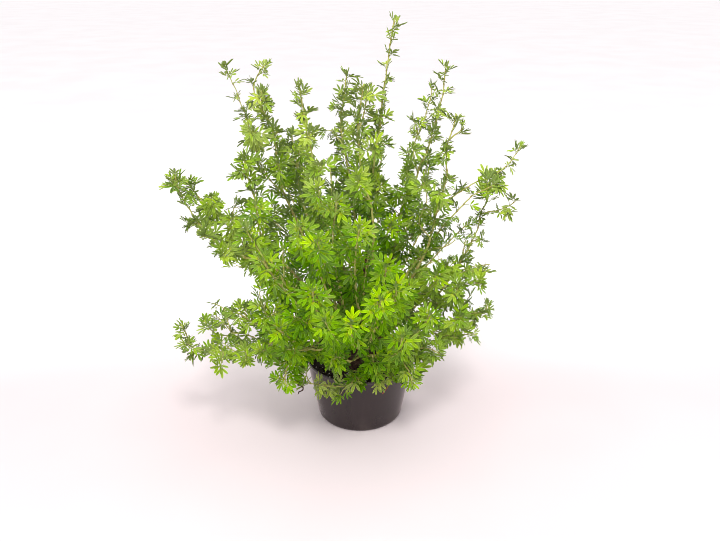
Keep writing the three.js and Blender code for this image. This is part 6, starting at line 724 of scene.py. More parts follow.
[432,38,65,117,15,50,35,404,82,23,122,-33,48,42,405,296,57,84,17,61,62,310,34,-17,92,-33,12,48,299,136,37,85,39,17,76,444,50,80,61,0,95,25,444,230,80,61,-19,
95,25,328,347,58,99,56,33,67,182,50,-2,138,-20,14,69,252,159,-1,79,-17,32,44,228,93,36,96,19,12,52,201,87,24,106,28,3,47]),
('M3','stem_left_upper','leaves_left_2',1,
[-1695,-369,2717,-1708,-435,2774,-1711,-512,2813,-1728,-593,2842,-1744,-677,2863,-1753,-763,2873,-1760,-850,2880],
[488,102,29,107,-16,60,32,486,343,23,129,2,67,48,438,104,12,129,15,42,66,434,164,56,96,-43,26,73,386,36,-12,119,-35,35,69,522,210,80,61,12,95,25,522,30,80,61,
-16,95,25,385,281,-13,106,-40,13,54,248,347,17,124,3,14,55,161,157,-23,125,0,6,66,273,333,-18,123,-25,46,57,116,240,-1,112,43,45,52]),
('M4','stem_left_upper','leaves_left_2',1,
[-2145,-384,3165,-2177,-356,3148,-2209,-328,3132,-2241,-300,3116],
[129,251,63,101,-25,52,36,104,14,38,125,-27,45,44,63,134,70,98,46,27,44,20,347,1,136,28,25,54,10,133,37,95,15,10,71,134,339,80,62,-1,95,25]),
('Q2','stem_left_low','leaves_left_4',1,
[-2307,-709,1473,-2309,-793,1533,-2306,-872,1600,-2303,-950,1670],
[287,41,24,99,-45,60,33,268,182,44,76,24,62,52,240,250,28,84,24,49,52,179,325,-23,103,-3,33,78,185,189,-2,102,-24,10,71,309,35,80,60,1,95,25,309,215,80,60,4,
95,25,162,290,54,97,-31,46,70]),
('Q3','stem_left_low','leaves_left_4',1,
[-1800,-721,1394,-1835,-782,1437,-1846,-860,1458,-1855,-940,1442,-1851,-1020,1424,-1844,-1100,1406],
[402,138,37,126,13,39,32,362,266,59,124,-2,48,41,313,111,39,118,-6,32,62,266,136,-22,117,19,39,48,251,7,-19,111,0,10,72,407,9,80,59,17,95,25,268,212,17,84,
-58,8,56,171,2,55,121,5,23,64,181,233,20,76,-12,21,48,176,335,-3,95,15,22,47,193,12,-2,96,34,32,42]),
('Q4','stem_left_low','leaves_left_4',1,
[-1462,-730,1414,-1509,-800,1441,-1524,-885,1466,-1527,-974,1479,-1515,-1062,1489,-1499,-1150,1497],
[433,162,35,89,19,50,35,390,323,26,89,15,58,38,354,50,28,129,-12,27,45,349,166,-8,98,12,10,62,328,34,44,83,15,23,76,445,198,80,59,-5,95,25,445,18,80,59,-7,95,
25,282,88,-5,122,-16,16,72,203,206,59,87,6,14,72,175,136,14,109,51,34,52,201,324,1,69,-21,23,45,206,248,-3,110,64,22,57]),
('Q5','stem_left_low','leaves_left_4',1,
[-1666,-725,1386,-1741,-728,1424,-1818,-663,1436,-1888,-600,1472],
[281,200,64,111,32,83,45,209,237,20,106,-46,73,56,221,61,10,109,-47,37,57,195,177,11,79,-40,6,71,127,41,-21,104,-11,6,66,156,101,26,83,-31,17,66]),
('R','stem_left_low','leaves_left_4',1,
[-1237,-735,1527,-1266,-664,1486,-1313,-595,1474,-1392,-569,1498,-1472,-546,1525,-1552,-520,1550,-1634,-495,1565,-1717,-471,1555,-1795,-448,1524,-1875,-426,
1497,-1958,-402,1486,-2041,-378,1501,-2113,-352,1542,-2172,-326,1600,-2209,-300,1675],
[1157,63,52,89,8,68,32,1143,293,21,83,-41,54,46,1166,6,35,106,-26,48,54,1089,146,-3,108,13,0,52,1065,301,-9,100,-51,15,55,1214,183,80,61,-4,95,25,1074,89,54,
99,44,10,58,989,236,-34,111,-53,33,60,840,86,65,110,34,13,74,730,193,-28,128,38,16,53,598,90,-15,132,46,7,55,437,95,4,90,24,0,55,371,229,69,116,29,7,73,219,
165,48,91,-54,12,63,973,246,72,83,-28,6,58,872,186,66,77,-50,2,63,728,355,-3,81,17,26,52,584,68,-1,117,26,28,67,472,277,41,96,-19,27,61,382,112,6,113,23,10,
58,197,274,13,109,27,18,52,1008,246,40,109,20,0,69,711,354,-2,76,41,37,53,464,247,22,69,-27,12,56,366,119,21,101,29,14,60,210,178,57,99,-32,21,46,946,278,29,
78,-14,18,60,486,285,21,94,26,16,56,212,315,6,107,-19,35,64]),
('R2','stem_left_low','leaves_left_4',1,
[-1753,-460,1541,-1775,-387,1505,-1832,-327,1536,-1872,-262,1580,-1900,-196,1631,-1922,-129,1685,-1964,-65,1729,-2026,-7,1749,-2096,48,1751,-2167,100,1746],
[722,24,30,97,-2,63,52,719,66,36,85,20,35,53,646,201,41,92,8,0,71,682,17,39,93,20,19,68,660,116,-22,85,-14,14,63,534,10,-29,110,9,33,42,425,29,-14,108,30,7,
60,317,122,9,105,25,8,48,200,294,-27,124,-20,11,68,522,40,-9,91,-39,27,67,439,353,0,100,-31,24,54,336,269,21,99,6,33,56,429,324,31,108,12,14,51,322,296,2,103,
42,15,50,434,34,-2,113,23,25,45,208,44,-16,86,-48,13,40]),
('R3','stem_left_low','leaves_left_4',1,
[-1784,-452,1528,-1823,-367,1519,-1865,-283,1516,-1908,-200,1515,-1952,-117,1511,-1999,-36,1506,-2048,43,1499,-2098,122,1490,-2149,200,1481],
[726,82,28,99,42,40,40,724,148,65,96,-23,47,48,655,331,23,112,-50,38,66,631,68,0,126,-18,30,52,647,171,27,92,4,27,69,747,283,80,61,-4,95,25,613,153,-18,104,
-3,28,61,504,355,-21,110,20,24,63,381,134,50,117,-45,0,53,274,3,7,102,1,4,74,122,72,-34,131,-4,22,49,516,357,8,115,15,23,54,413,70,49,76,28,10,43,295,254,35,
80,27,18,46,492,121,34,115,-5,43,64,428,292,10,90,-31,27,70]),
('R4','stem_left_low','leaves_left_4',1,
[-1844,-435,1507,-1875,-456,1487,-1905,-478,1468,-1936,-500,1448],
[107,200,26,112,-41,52,37,106,71,63,134,-56,67,45,69,159,32,113,30,43,52,20,6,-16,118,29,0,51,0,46,-1,88,19,10,71,124,324,80,61,1,95,25,124,144,80,61,-2,95,
25]),
('V2','stem_front_left','leaves_front_2',1,
[-963,-1166,1422,-976,-1108,1346,-1047,-1120,1292,-1129,-1150,1251],
[258,267,20,89,-3,66,34,256,16,13,84,-49,48,38,209,108,59,103,-16,24,60,146,270,-17,84,-3,0,72,130,20,-4,104,-4,0,58,280,284,80,59,-9,95,25,153,345,58,109,
-38,13,56]),
('AB','stem_right_tall','leaves_top_8',1,
[807,409,3618,791,474,3677,768,517,3751,753,542,3835,751,570,3920,768,598,4004,798,626,4084,835,654,4160,875,682,4235,907,710,4314,927,738,4397,951,766,4478,
981,794,4558,998,822,4641,996,850,4726],
[1247,243,20,98,47,74,32,1220,332,56,90,5,35,42,1202,92,41,101,-47,32,50,1162,332,-12,95,-43,13,52,1087,80,-11,94,-21,35,79,1116,66,-17,99,-11,44,74,994,119,
23,99,20,21,57,877,25,-35,109,2,23,84,740,33,-17,83,75,20,65,632,92,-19,94,27,16,70,520,248,-27,115,32,13,65,378,57,-31,104,-24,5,47,240,187,34,124,0,7,65,
1018,33,3,82,-19,13,39,917,220,32,86,8,17,33,763,74,21,82,-33,13,59,636,218,29,83,-14,15,60,509,121,44,81,18,17,62,376,118,30,79,29,22,44,254,344,44,114,-22,
25,58,1030,141,-1,119,15,30,49,889,28,26,111,16,5,62,754,4,62,84,30,16,64,648,347,3,110,4,22,42,551,291,62,74,-25,35,53,1003,72,6,65,27,30,62,772,121,-1,108,
13,21,45,650,63,53,77,32,13,48,524,54,-7,71,-57,23,58]),
('AC','stem_right_tall','leaves_top_8',1,
[806,633,4103,791,599,4188,762,600,4277,718,600,4359],
[248,306,38,91,-43,58,32,200,146,48,92,-20,42,37,184,277,22,101,21,26,54,147,22,-20,101,-45,23,55,109,244,-12,98,-14,19,68,169,263,-20,101,-40,25,66]),
('AD','stem_right_tall','leaves_top_8',1,
[813,411,3644,770,367,3713,724,313,3774,692,260,3842,667,207,3914,646,154,3987,626,100,4060],
[505,294,23,104,-33,34,32,488,359,18,99,-55,64,53,446,213,13,85,-12,34,59,463,333,-12,136,-36,4,78,452,12,-8,115,18,16,79,414,253,-14,92,43,22,79,303,303,-1,
121,42,19,57,202,157,39,94,-39,10,72,333,141,54,123,-38,20,45,209,178,50,76,-29,17,51,175,168,49,88,-33,14,46,186,337,22,81,1,27,61]),
('AF','stem_right_upper','leaves_top_9',1,
[1082,-625,4314,1143,-615,4370,1212,-607,4417,1266,-600,4474],
[202,184,43,95,-3,40,32,152,15,57,97,32,56,42,212,157,22,80,-21,24,54,151,327,38,80,15,15,65,121,40,35,111,23,18,66]),
('AG','stem_right_upper','leaves_right_1',1,
[978,-557,3348,1034,-508,3401,1096,-454,3440,1157,-407,3488,1225,-362,3529,1297,-317,3563,1369,-273,3595,1443,-229,3624,1517,-185,3655,1596,-142,3670,1677,
-102,3669,1755,-60,3686,1826,-16,3723,1895,27,3764,1962,71,3807,2023,115,3858,2078,160,3916,2128,205,3977,2179,250,4038],
[1605,105,46,87,-26,50,32,1565,172,34,81,-16,66,44,1586,24,59,85,7,26,47,1534,130,-4,101,38,37,70,1510,302,43,91,-27,10,66,1635,124,80,62,-2,95,25,1508,201,
49,99,-22,27,66,1381,90,41,100,3,20,61,1300,20,-27,100,-12,14,51,1180,97,-31,99,-35,7,56,1036,141,30,124,43,5,68,892,203,-9,120,51,6,61,774,5,49,101,1,10,61,
596,116,-21,99,-7,12,69,502,153,28,102,-38,20,63,299,286,51,99,-27,19,85,181,303,6,94,-5,1,73,1387,83,9,98,-28,4,50,1283,101,63,65,19,42,66,1142,94,72,80,28,
42,57,1018,326,26,94,35,26,55,918,190,59,104,18,32,45,482,255,51,77,-48,16,64,174,295,64,78,-32,13,56,1413,166,-14,78,-5,17,48,1267,34,67,76,30,0,52,1040,357,
6,97,-56,34,49,899,271,26,108,24,9,48,236,107,29,91,13,22,41,1163,98,19,79,-44,39,49,1041,123,60,99,-22,12,58,900,77,25,85,31,12,56]),
('AK','stem_right_upper','leaves_right_3',1,
[1671,126,3113,1720,53,3149,1789,2,3190,1864,-50,3217,1930,-101,3264,1992,-152,3315,2042,-201,3380,2088,-250,3448],
[624,201,25,87,-4,68,37,577,153,30,112,-49,31,47,497,116,-4,97,-28,25,82,511,232,-26,120,-31,39,58,441,237,-17,125,23,12,70,333,228,-6,99,22,1,53,155,219,54,
99,-35,1,40,288,150,19,78,4,24,38]),
('AL','stem_right_upper','leaves_right_3',1,
[1577,97,2720,1603,20,2754,1611,-55,2798,1619,-133,2838,1631,-216,2865,1643,-300,2887],
[434,182,39,118,40,40,35,393,314,70,87,37,73,55,384,83,65,120,-28,35,56,346,169,9,107,-30,30,65,285,268,43,84,45,22,73,436,183,80,62,-5,95,25,314,110,59,99,
38,26,74,193,129,-2,109,-46,19,83]),
('AM','stem_right_upper','leaves_right_3',1,
[1327,56,2215,1375,-11,2247,1425,-62,2301,1480,-117,2345,1540,-174,2377,1602,-233,2402,1662,-292,2431,1719,-350,2468],
[568,333,41,80,6,54,32,538,157,33,84,-57,58,41,586,319,68,103,32,25,50,498,145,7,84,27,8,65,451,189,-15,115,-24,6,82,621,90,80,62,14,95,25,479,188,49,105,-15,
13,73,346,193,-2,125,43,25,56,271,15,6,95,11,4,71,150,212,8,117,-5,8,74,360,326,51,75,-19,18,53,252,253,27,71,-40,16,54,148,312,52,99,-39,31,59]),
('AN','stem_right_upper','leaves_right_3',1,
[1203,40,2025,1261,-29,2056,1308,-105,2084,1353,-172,2134,1396,-238,2185,1442,-308,2230,1489,-378,2273,1534,-449,2315,1582,-522,2351,1631,-600,2373],
[793,302,67,97,-41,53,32,793,110,20,112,19,50,56,780,246,35,114,19,35,53,712,76,8,118,10,16,71,716,148,-14,121,15,13,82,848,31,80,62,-9,95,25,848,211,80,62,
-11,95,25,736,195,26,118,-23,34,57,613,1,28,99,27,33,67,488,172,27,110,14,8,56,367,236,9,127,-37,8,56,253,359,40,98,-11,0,67,122,244,4,102,33,8,68,603,168,44,
90,-61,4,70,508,112,29,115,-26,46,57,356,256,46,103,6,22,45,246,193,5,99,24,40,59,97,294,33,106,-30,8,52,591,0,52,91,44,18,38,565,1,42,116,25,39,62,480,187,
56,83,-39,21,55]),
('AP','stem_right_low','leaves_right_4',1,
[995,-405,1546,1061,-470,1538,1125,-537,1537,1199,-585,1562,1274,-625,1597,1350,-668,1630,1424,-710,1665,1498,-754,1698,1578,-800,1708],
[679,66,34,77,-23,41,32,666,210,31,85,-10,43,47,650,244,34,110,20,60,55,615,87,-6,113,19,8,62,604,192,20,89,27,15,67,609,131,5,108,-45,19,56,492,260,-23,120,
30,13,59,394,289,-19,123,43,8,53,271,205,7,120,-51,5,56,156,214,-29,94,42,4,75,504,98,28,92,20,22,62,397,269,58,83,-5,24,44,257,127,21,80,-28,31,54,96,270,8,
102,-2,25,65,538,43,22,115,11,30,52,406,344,3,100,15,12,45,261,5,35,129,-11,28,47,156,5,58,113,-23,26,47,500,200,-1,81,33,13,52,416,232,-2,99,-10,31,59,129,
266,5,105,-51,23,69]),
('AP2','stem_right_low','leaves_right_4',1,
[1041,-407,1566,1090,-474,1584,1127,-549,1601,1155,-626,1623,1184,-701,1651,1212,-776,1681,1239,-850,1711,1266,-925,1742,1292,-1000,1773],
[660,218,48,123,-22,51,34,614,46,66,93,-29,39,46,574,131,22,114,22,38,65,567,209,8,107,-14,32,71,554,89,13,116,13,10,71,678,271,80,59,-2,95,25,678,91,80,59,
18,95,25,508,143,-19,127,33,21,60,428,213,-28,105,10,52,76,309,123,-3,120,31,0,76,192,215,-12,86,-49,23,54,411,320,31,86,-35,20,43,333,244,22,110,52,15,60,
211,241,34,121,31,24,59,435,347,30,91,12,32,40]),
('AR2','stem_right_low','leaves_right_6',1,
[595,-1037,1387,638,-1001,1319,721,-1023,1313,803,-1050,1298],
[223,168,23,89,-3,68,36,228,284,22,126,-6,60,48,148,117,22,107,-54,35,47,126,280,26,120,19,42,63,104,326,-12,116,25,0,74,259,232,80,59,4,95,25,259,52,80,59,
-8,95,25,148,113,-32,118,14,18,60]),
('AV','stem_front_right','leaves_front_9',1,
[160,-1518,2130,214,-1505,2196,267,-1496,2264,317,-1495,2334,350,-1525,2407,370,-1572,2476,386,-1621,2545,401,-1667,2616,414,-1713,2689,420,-1759,2761,417,
-1804,2835,411,-1850,2908],
[938,72,40,124,-42,50,35,878,132,33,129,35,64,48,893,248,37,101,-5,26,47,858,0,5,126,-31,19,52,822,207,-2,103,21,22,76,945,71,80,59,15,95,25,945,251,80,59,-2,
95,25,795,249,-28,117,34,25,51,674,318,-14,98,-18,10,61,565,355,-19,121,-48,0,84,483,314,-39,131,-6,17,60,402,322,4,105,-43,12,60,234,181,-14,105,47,7,89,111,
9,19,114,-47,30,76,713,77,5,114,-7,23,42,585,343,-5,102,-22,4,55,521,104,51,112,24,13,56,424,5,1,120,-39,29,53,262,312,-11,105,20,12,49,124,327,-3,96,-26,20,
60,235,345,5,118,-33,19,58,110,348,-21,112,-17,34,44,717,76,26,112,-15,20,63,138,6,-5,114,-33,23,60]),
('BB','stem_front_centre','leaves_front_4',1,
[-511,-1174,2808,-479,-1242,2854,-449,-1310,2900,-424,-1379,2946,-418,-1442,3006,-423,-1500,3071,-433,-1557,3137,-443,-1613,3204,-451,-1671,3269,-460,-1730,
3332,-469,-1790,3395,-478,-1850,3459],
[947,43,32,102,-32,58,36,934,189,18,120,20,64,49,890,326,37,107,-13,34,56,868,39,29,110,-39,10,65,822,274,-7,135,10,39,63,959,96,80,59,-10,95,25,959,276,80,
59,-9,95,25,804,313,-25,122,-30,32,64,749,188,-23,110,51,9,77,605,233,-34,110,9,0,62,522,299,-18,111,-15,8,67,413,246,10,123,33,3,63,273,284,4,127,-28,13,68,
140,164,-35,130,25,24,80,746,36,22,110,-15,25,45,623,218,16,101,8,35,66,560,37,29,106,-36,12,35,397,337,14,122,-20,8,57,273,265,11,102,-37,36,40,131,119,-5,
104,12,10,46,665,137,33,114,30,16,47]),
('BD','stem_front_centre','leaves_front_5',1,
[-333,-1365,2007,-315,-1453,2034,-298,-1541,2064,-283,-1628,2095,-278,-1709,2141,-291,-1777,2205,-310,-1838,2273,-330,-1898,2343,-348,-1959,2412,-364,-2022,
2480,-378,-2086,2547,-392,-2150,2615],
[1024,149,24,110,47,65,34,990,349,18,110,-51,62,52,1012,69,31,95,15,54,64,916,223,9,103,31,32,70,917,290,-5,102,-21,13,76,1030,205,80,59,11,95,25,1030,25,80,
59,-8,95,25,902,49,6,119,-35,17,70,755,251,-22,116,40,54,70,633,294,-21,110,9,0,64,580,110,48,136,7,7,47,459,244,24,117,11,7,74,297,115,-1,102,26,19,46,168,
274,6,123,24,18,61,832,44,6,97,-34,17,67,702,134,10,109,14,15,50,571,53,28,100,20,22,59,403,118,6,96,-25,42,62,303,171,4,98,9,20,53,205,325,12,108,-48,35,
34]),
('BG','stem_front_left','leaves_front_1',1,
[-847,-956,1673,-841,-1031,1714,-837,-1105,1758,-851,-1169,1813,-870,-1230,1871,-890,-1291,1929,-909,-1351,1987,-926,-1413,2044,-942,-1475,2102,-957,-1538,
2159,-972,-1600,2216],
[834,72,19,118,-42,78,38,836,235,11,117,28,78,52,769,3,27,115,-36,62,62,793,129,6,122,-19,25,70,704,273,-3,105,2,23,86,857,161,80,59,-12,95,25,857,341,80,59,
-11,95,25,726,49,15,107,-31,32,85,640,32,17,115,-44,29,46,503,289,-19,124,-29,11,55,359,21,-16,115,-47,29,65,259,186,-12,108,47,12,73,126,37,-5,129,-51,9,80,
621,226,-5,88,18,36,59,574,31,3,114,-36,7,50,392,67,6,96,19,22,55,272,281,3,101,21,24,47,114,157,0,125,-12,29,60,582,66,21,100,-17,24,61,610,229,21,121,24,5,
46]),
('BH','stem_front_left','leaves_front_2',1,
[-648,-1031,1618,-685,-1100,1654,-716,-1172,1690,-757,-1239,1728,-798,-1304,1766,-836,-1370,1807,-873,-1435,1851,-910,-1500,1894],
[600,265,28,116,15,56,35,555,49,68,84,25,62,42,550,193,25,112,-3,48,55,514,7,1,108,-11,20,62,479,96,-7,112,-3,0,78,602,17,80,59,4,95,25,602,197,80,59,16,95,
25,454,314,1,112,-11,8,53,349,224,26,110,36,39,68,277,289,-9,117,-31,16,57,118,125,1,107,-1,0,53,397,261,-4,110,7,20,49,230,292,3,119,10,14,76,111,279,13,120,
39,35,54,335,262,6,115,21,23,66,400,188,30,117,10,30,64]),
('BJ','stem_front_left','leaves_front_3',1,
[-1104,-1191,2797,-1146,-1154,2872,-1188,-1122,2949,-1230,-1100,3030,-1269,-1117,3113,-1304,-1148,3194,-1338,-1174,3277,-1370,-1200,3361],
[621,324,71,115,22,53,38,637,126,59,113,40,66,48,576,183,25,105,0,27,45,554,35,-9,91,-24,16,59,507,179,5,120,13,16,77,652,20,80,59,10,95,25,652,200,80,59,-2,
95,25,493,310,-28,114,-64,30,72,417,88,30,118,-13,6,63,312,19,3,92,-27,17,81,148,30,65,119,-13,9,73,429,83,-4,70,19,19,56,300,83,80,113,4,14,46,180,27,34,101,
-29,37,61,407,79,62,91,31,22,56,338,29,-4,112,-35,33,74,418,304,51,97,-22,14,48,309,18,55,110,-28,24,54]),
('BK','stem_left_tall','leaves_top_5',1,
[-1085,291,3430,-1059,241,3497,-1044,178,3555,-1047,116,3617,-1053,54,3679,-1058,-9,3740,-1061,-72,3801,-1064,-136,3861,-1067,-200,3921],
[638,171,22,112,28,45,32,639,55,52,118,-50,38,38,602,181,25,111,30,32,56,586,274,14,132,18,0,73,568,35,-9,120,-28,31,78,698,296,80,62,-19,95,25,698,116,80,62,
4,95,25,533,202,-24,130,30,34,76,461,265,-21,129,56,17,64,342,350,26,113,-33,2,54,222,188,8,91,29,4,52,480,169,5,101,38,7,37,310,131,11,84,15,16,51,224,8,23,
113,-28,13,43,474,130,34,72,17,13,57,366,270,-11,118,-51,21,55,460,198,25,102,18,22,46]),
('BM','stem_right_tall','leaves_top_8',1,
[674,374,3265,653,330,3341,630,274,3408,624,212,3474,629,150,3540,635,88,3605,634,26,3670,628,-37,3735,621,-100,3800],
[668,228,16,107,8,71,34,664,47,50,112,-46,74,34,638,95,71,117,-33,32,57,610,278,-7,114,-12,23,56,596,67,28,135,33,29,87,720,291,80,62,19,95,25,720,111,80,62,
14,95,25,605,314,-5,92,1,8,59,462,206,55,88,-37,20,75,357,319,27,110,-24,0,67,227,183,12,91,-43,8,68,485,115,23,102,-25,23,47,331,141,37,102,-18,19,58,233,71,
38,109,-5,20,42,486,115,29,104,-17,19,54,354,69,9,101,-5,44,61,490,73,61,97,-4,12,47,348,291,-2,117,2,23,62]),
('BN','stem_right_upper','leaves_top_9',1,
[921,-534,3010,863,-549,3076,810,-568,3145,765,-593,3218,763,-624,3301,782,-655,3382,806,-688,3462,827,-720,3542,835,-753,3625,816,-785,3706,797,-817,3787,
780,-850,3868],
[940,291,69,98,16,65,32,966,10,54,124,-12,68,51,898,186,33,91,39,37,47,905,250,13,112,-38,13,65,865,39,-13,106,12,24,65,977,306,80,61,19,95,25,977,126,80,61,
8,95,25,853,182,13,120,30,28,68,773,81,51,90,-34,19,67,642,190,-23,123,25,41,69,540,263,7,113,5,7,68,403,181,-15,109,20,17,66,298,191,3,128,5,11,62,147,51,-6,
114,-38,12,60,746,4,52,85,-13,22,43,635,358,-4,105,6,32,60,538,194,58,79,-40,26,34,409,196,30,75,-34,11,47,294,305,27,103,-36,12,49,165,206,46,106,10,39,45,
672,339,39,120,10,48,60,580,198,1,103,-26,8,56,421,196,35,99,24,14,57,282,65,6,108,-20,24,61,156,209,34,113,29,24,58,533,231,68,62,-10,56,64,287,217,25,81,
-23,26,51,148,209,-6,119,-27,20,60]),
('BO','stem_right_upper','leaves_top_9',1,
[1032,-571,3550,1007,-644,3593,996,-721,3638,987,-797,3683,978,-874,3727,969,-950,3772],
[424,258,24,124,-5,61,46,418,47,48,121,24,52,45,372,228,20,109,38,59,57,324,296,6,123,-12,2,73,280,160,7,124,0,26,80,442,359,80,60,-14,95,25,442,179,80,60,-2,
95,25,280,239,7,126,-50,7,69,231,3,42,89,16,26,55,204,290,-3,78,28,20,53,182,254,-5,123,-2,34,70]),
('BP','stem_right_upper','leaves_right_2',1,
[501,-216,2063,583,-247,2076,665,-278,2090,744,-315,2106,818,-361,2123,885,-414,2145,931,-475,2189,950,-537,2250,958,-597,2314,962,-657,2379,969,-718,2443,
972,-779,2508,973,-839,2573,975,-900,2637],
[1087,26,53,129,-16,37,35,1117,197,22,124,-3,83,38,1065,339,31,121,-35,28,57,1062,148,-10,112,25,3,61,1011,235,0,108,-34,12,71,1149,152,80,60,-12,95,25,1149,
332,80,60,-14,95,25,1038,290,2,104,-36,39,65,908,150,1,139,51,4,61,794,226,6,114,-13,8,63,678,99,-21,128,21,3,67,559,196,-27,112,8,17,62,472,355,-28,106,7,7,
39,292,17,15,99,-45,36,55,154,265,63,126,-43,6,70,928,324,18,112,5,7,54,825,51,23,97,-32,40,46,700,244,-10,116,13,23,61,555,255,25,118,19,23,56,427,219,14,85,
-40,14,49,327,353,4,78,12,25,57,160,321,65,107,17,12,39,415,123,-2,106,-1,17,64,317,140,25,80,-19,46,55,303,28,28,113,-15,12,61]),
('BQ','stem_right_upper','leaves_right_3',1,
[1023,19,1793,1080,-50,1817,1134,-122,1843,1174,-203,1869,1202,-285,1903,1221,-359,1955,1235,-429,2016,1246,-496,2080,1255,-563,2145,1262,-630,2209,1266,-698,
2273,1267,-765,2338,1266,-833,2403,1266,-900,2468],
[1188,68,58,101,-26,43,32,1138,179,16,98,21,66,53,1143,287,29,87,-29,35,53,1117,93,16,121,20,7,62,1115,228,11,126,7,12,82,1211,120,80,60,0,95,25,1211,300,80,
60,-10,95,25,1041,241,-14,121,-4,40,62,921,181,-25,123,36,20,39,863,247,-15,131,-10,9,56,723,31,28,119,13,8,69,596,169,-17,110,58,31,79,520,246,59,96,-37,23,
52,373,189,32,106,30,6,64,210,172,-24,107,25,9,70,955,293,30,115,-54,21,62,865,73,55,113,37,46,62,715,224,2,113,-28,41,59,594,206,5,100,12,20,54,526,154,6,94,
-11,14,56,341,240,-8,114,-27,24,57,204,194,7,114,17,11,50,956,290,-2,106,31,18,52,730,343,-14,117,14,35,53,437,312,39,82,37,39,60,341,135,3,117,-17,15,50,964,
64,22,104,18,19,45,603,122,26,95,26,22,44,536,293,1,88,49,23,66,341,240,61,71,23,15,58]),
('BR','stem_right_low','leaves_right_4',1,
[1124,-410,1606,1150,-480,1662,1161,-556,1717,1180,-626,1776,1200,-695,1837,1221,-763,1897,1241,-833,1956,1262,-905,2013,1284,-978,2069,1305,-1050,2124],
[816,25,33,102,-40,49,36,805,260,11,111,18,34,38,735,311,31,108,-50,27,57,724,76,2,129,-9,29,73,731,246,-3,114,-17,13,76,841,136,80,60,-2,95,25,841,316,80,60,
-4,95,25,709,218,-16,122,33,45,78,613,51,42,120,10,2,66,457,195,8,103,-8,0,69,372,289,8,128,-5,17,67,193,183,30,102,37,0,70,611,215,59,72,-29,22,53,507,357,
49,111,11,37,46,350,143,-6,80,-18,24,54,224,202,7,111,-13,12,48,606,61,39,109,41,26,47,469,234,-2,119,-5,17,66,240,19,35,98,27,16,42]),
('BS','stem_right_low','leaves_right_5',1,
[699,-900,1549,712,-930,1629,720,-962,1710,725,-999,1787,739,-1050,1856,756,-1106,1920,773,-1162,1983,791,-1219,2046,806,-1276,2110,820,-1332,2174,831,-1388,
2239,842,-1444,2304,853,-1500,2369],
[1006,308,21,107,-40,50,43,1023,11,29,123,-10,58,38,965,116,28,121,6,30,48,951,261,-2,124,12,0,62,931,147,28,103,36,6,65,1036,317,80,59,-12,95,25,1036,137,80,
59,-5,95,25,944,326,14,120,-21,0,62,808,174,1,111,15,25,68,703,317,-14,98,-26,15,62,573,123,17,106,44,6,70,446,272,-20,88,48,5,68,338,46,26,113,-34,23,72,159,
276,-14,119,47,14,60,804,82,-6,84,-54,33,36,723,78,57,89,-34,20,54,562,90,0,76,-8,10,57,425,132,15,119,18,12,55,327,11,6,97,-3,29,54,169,322,30,82,24,24,44,
822,97,-6,106,-18,16,60,699,32,13,108,-15,24,55,579,20,29,95,16,18,54,305,126,10,110,8,33,58,800,97,2,106,13,15,44,663,53,59,88,-22,8,33]),
('BU','stem_right_upper','leaves_right_3',1,
[1101,28,1885,1090,-19,1960,1076,-71,2032,1060,-130,2098,1060,-189,2166,1068,-247,2234,1080,-304,2302,1093,-362,2369,1104,-421,2436,1115,-480,2503,1126,-540,
2569,1137,-600,2635],
[957,278,29,110,13,46,32,925,89,49,84,14,60,35,922,180,47,110,34,55,57,914,299,5,125,-20,16,70,842,152,30,113,-27,8,79,985,334,80,62,2,95,25,985,154,80,62,
-13,95,25,840,342,1,132,12,27,74,723,24,-14,94,-24,37,61,653,233,1,116,16,0,55,510,90,52,99,-2,1,57,340,268,-28,132,-21,4,53,296,11,4,109,39,8,52,132,179,-30,
115,63,32,60,744,347,2,124,-44,8,43,621,73,25,122,-39,24,55,538,82,6,110,-32,12,68,400,120,30,117,-39,24,47,258,194,3,83,-19,22,63,117,178,-7,102,38,18,53]),
('BV','stem_right_tall','leaves_top_8',1,
[610,364,3164,622,299,3227,608,225,3278,583,154,3330,557,84,3383,534,14,3436,514,-58,3490,495,-129,3544,475,-200,3597],
[665,284,18,116,-10,56,40,661,316,27,111,30,62,38,687,216,20,97,-10,48,57,634,265,-24,131,-14,7,70,629,12,8,118,-39,34,87,727,296,80,62,1,95,25,554,213,-15,
119,33,46,67,454,329,-9,116,-20,3,43,388,6,-23,129,-35,15,67,246,287,-18,126,-22,11,58,500,103,0,71,-15,14,42,335,207,6,122,25,34,52,243,31,31,118,-20,25,50,
491,217,36,109,4,9,43,382,197,-3,116,-21,25,46,214,341,-2,127,-53,25,49,355,197,-4,109,-33,20,52]),
('BW','stem_centre_tall','leaves_top_1',1,
[149,115,3284,208,135,3332,229,70,3400,244,1,3465,262,-67,3532,283,-133,3599,303,-200,3665],
[546,17,68,85,18,50,35,519,181,40,84,13,62,41,508,279,20,115,40,22,55,451,178,-5,120,25,18,72,412,296,-10,130,-10,8,64,558,125,80,62,17,95,25,558,305,80,62,
-6,95,25,415,16,0,105,15,32,67,284,340,-10,129,-43,33,70,170,291,-23,123,-28,8,72,307,130,54,116,-18,20,43,180,184,-6,108,40,34,49,304,95,-4,112,-23,21,64,
200,347,-6,120,13,17,69,291,179,-4,110,28,38,67]),
('BX','stem_left_tall','leaves_top_7',1,
[-884,486,3705,-938,453,3752,-972,521,3787,-995,598,3812,-1018,676,3836,-1044,751,3866,-1071,826,3896,-1098,900,3926],
[531,296,75,109,-32,52,34,530,118,21,106,4,38,37,503,229,56,108,22,24,55,497,71,-10,99,30,22,54,427,185,9,117,-49,16,76,583,42,80,62,9,95,25,583,222,80,62,0,
95,25,438,214,18,90,-37,51,53,355,183,-4,99,-23,26,59,225,126,-16,111,60,29,64,137,170,-22,126,-35,4,68,338,238,-1,96,-25,21,53,246,318,34,110,-21,21,48,106,
182,7,125,-59,24,54,345,296,49,104,15,12,46,246,238,26,108,-29,19,47,328,35,30,106,43,16,63]),
('BY','stem_left_tall','leaves_top_7',1,
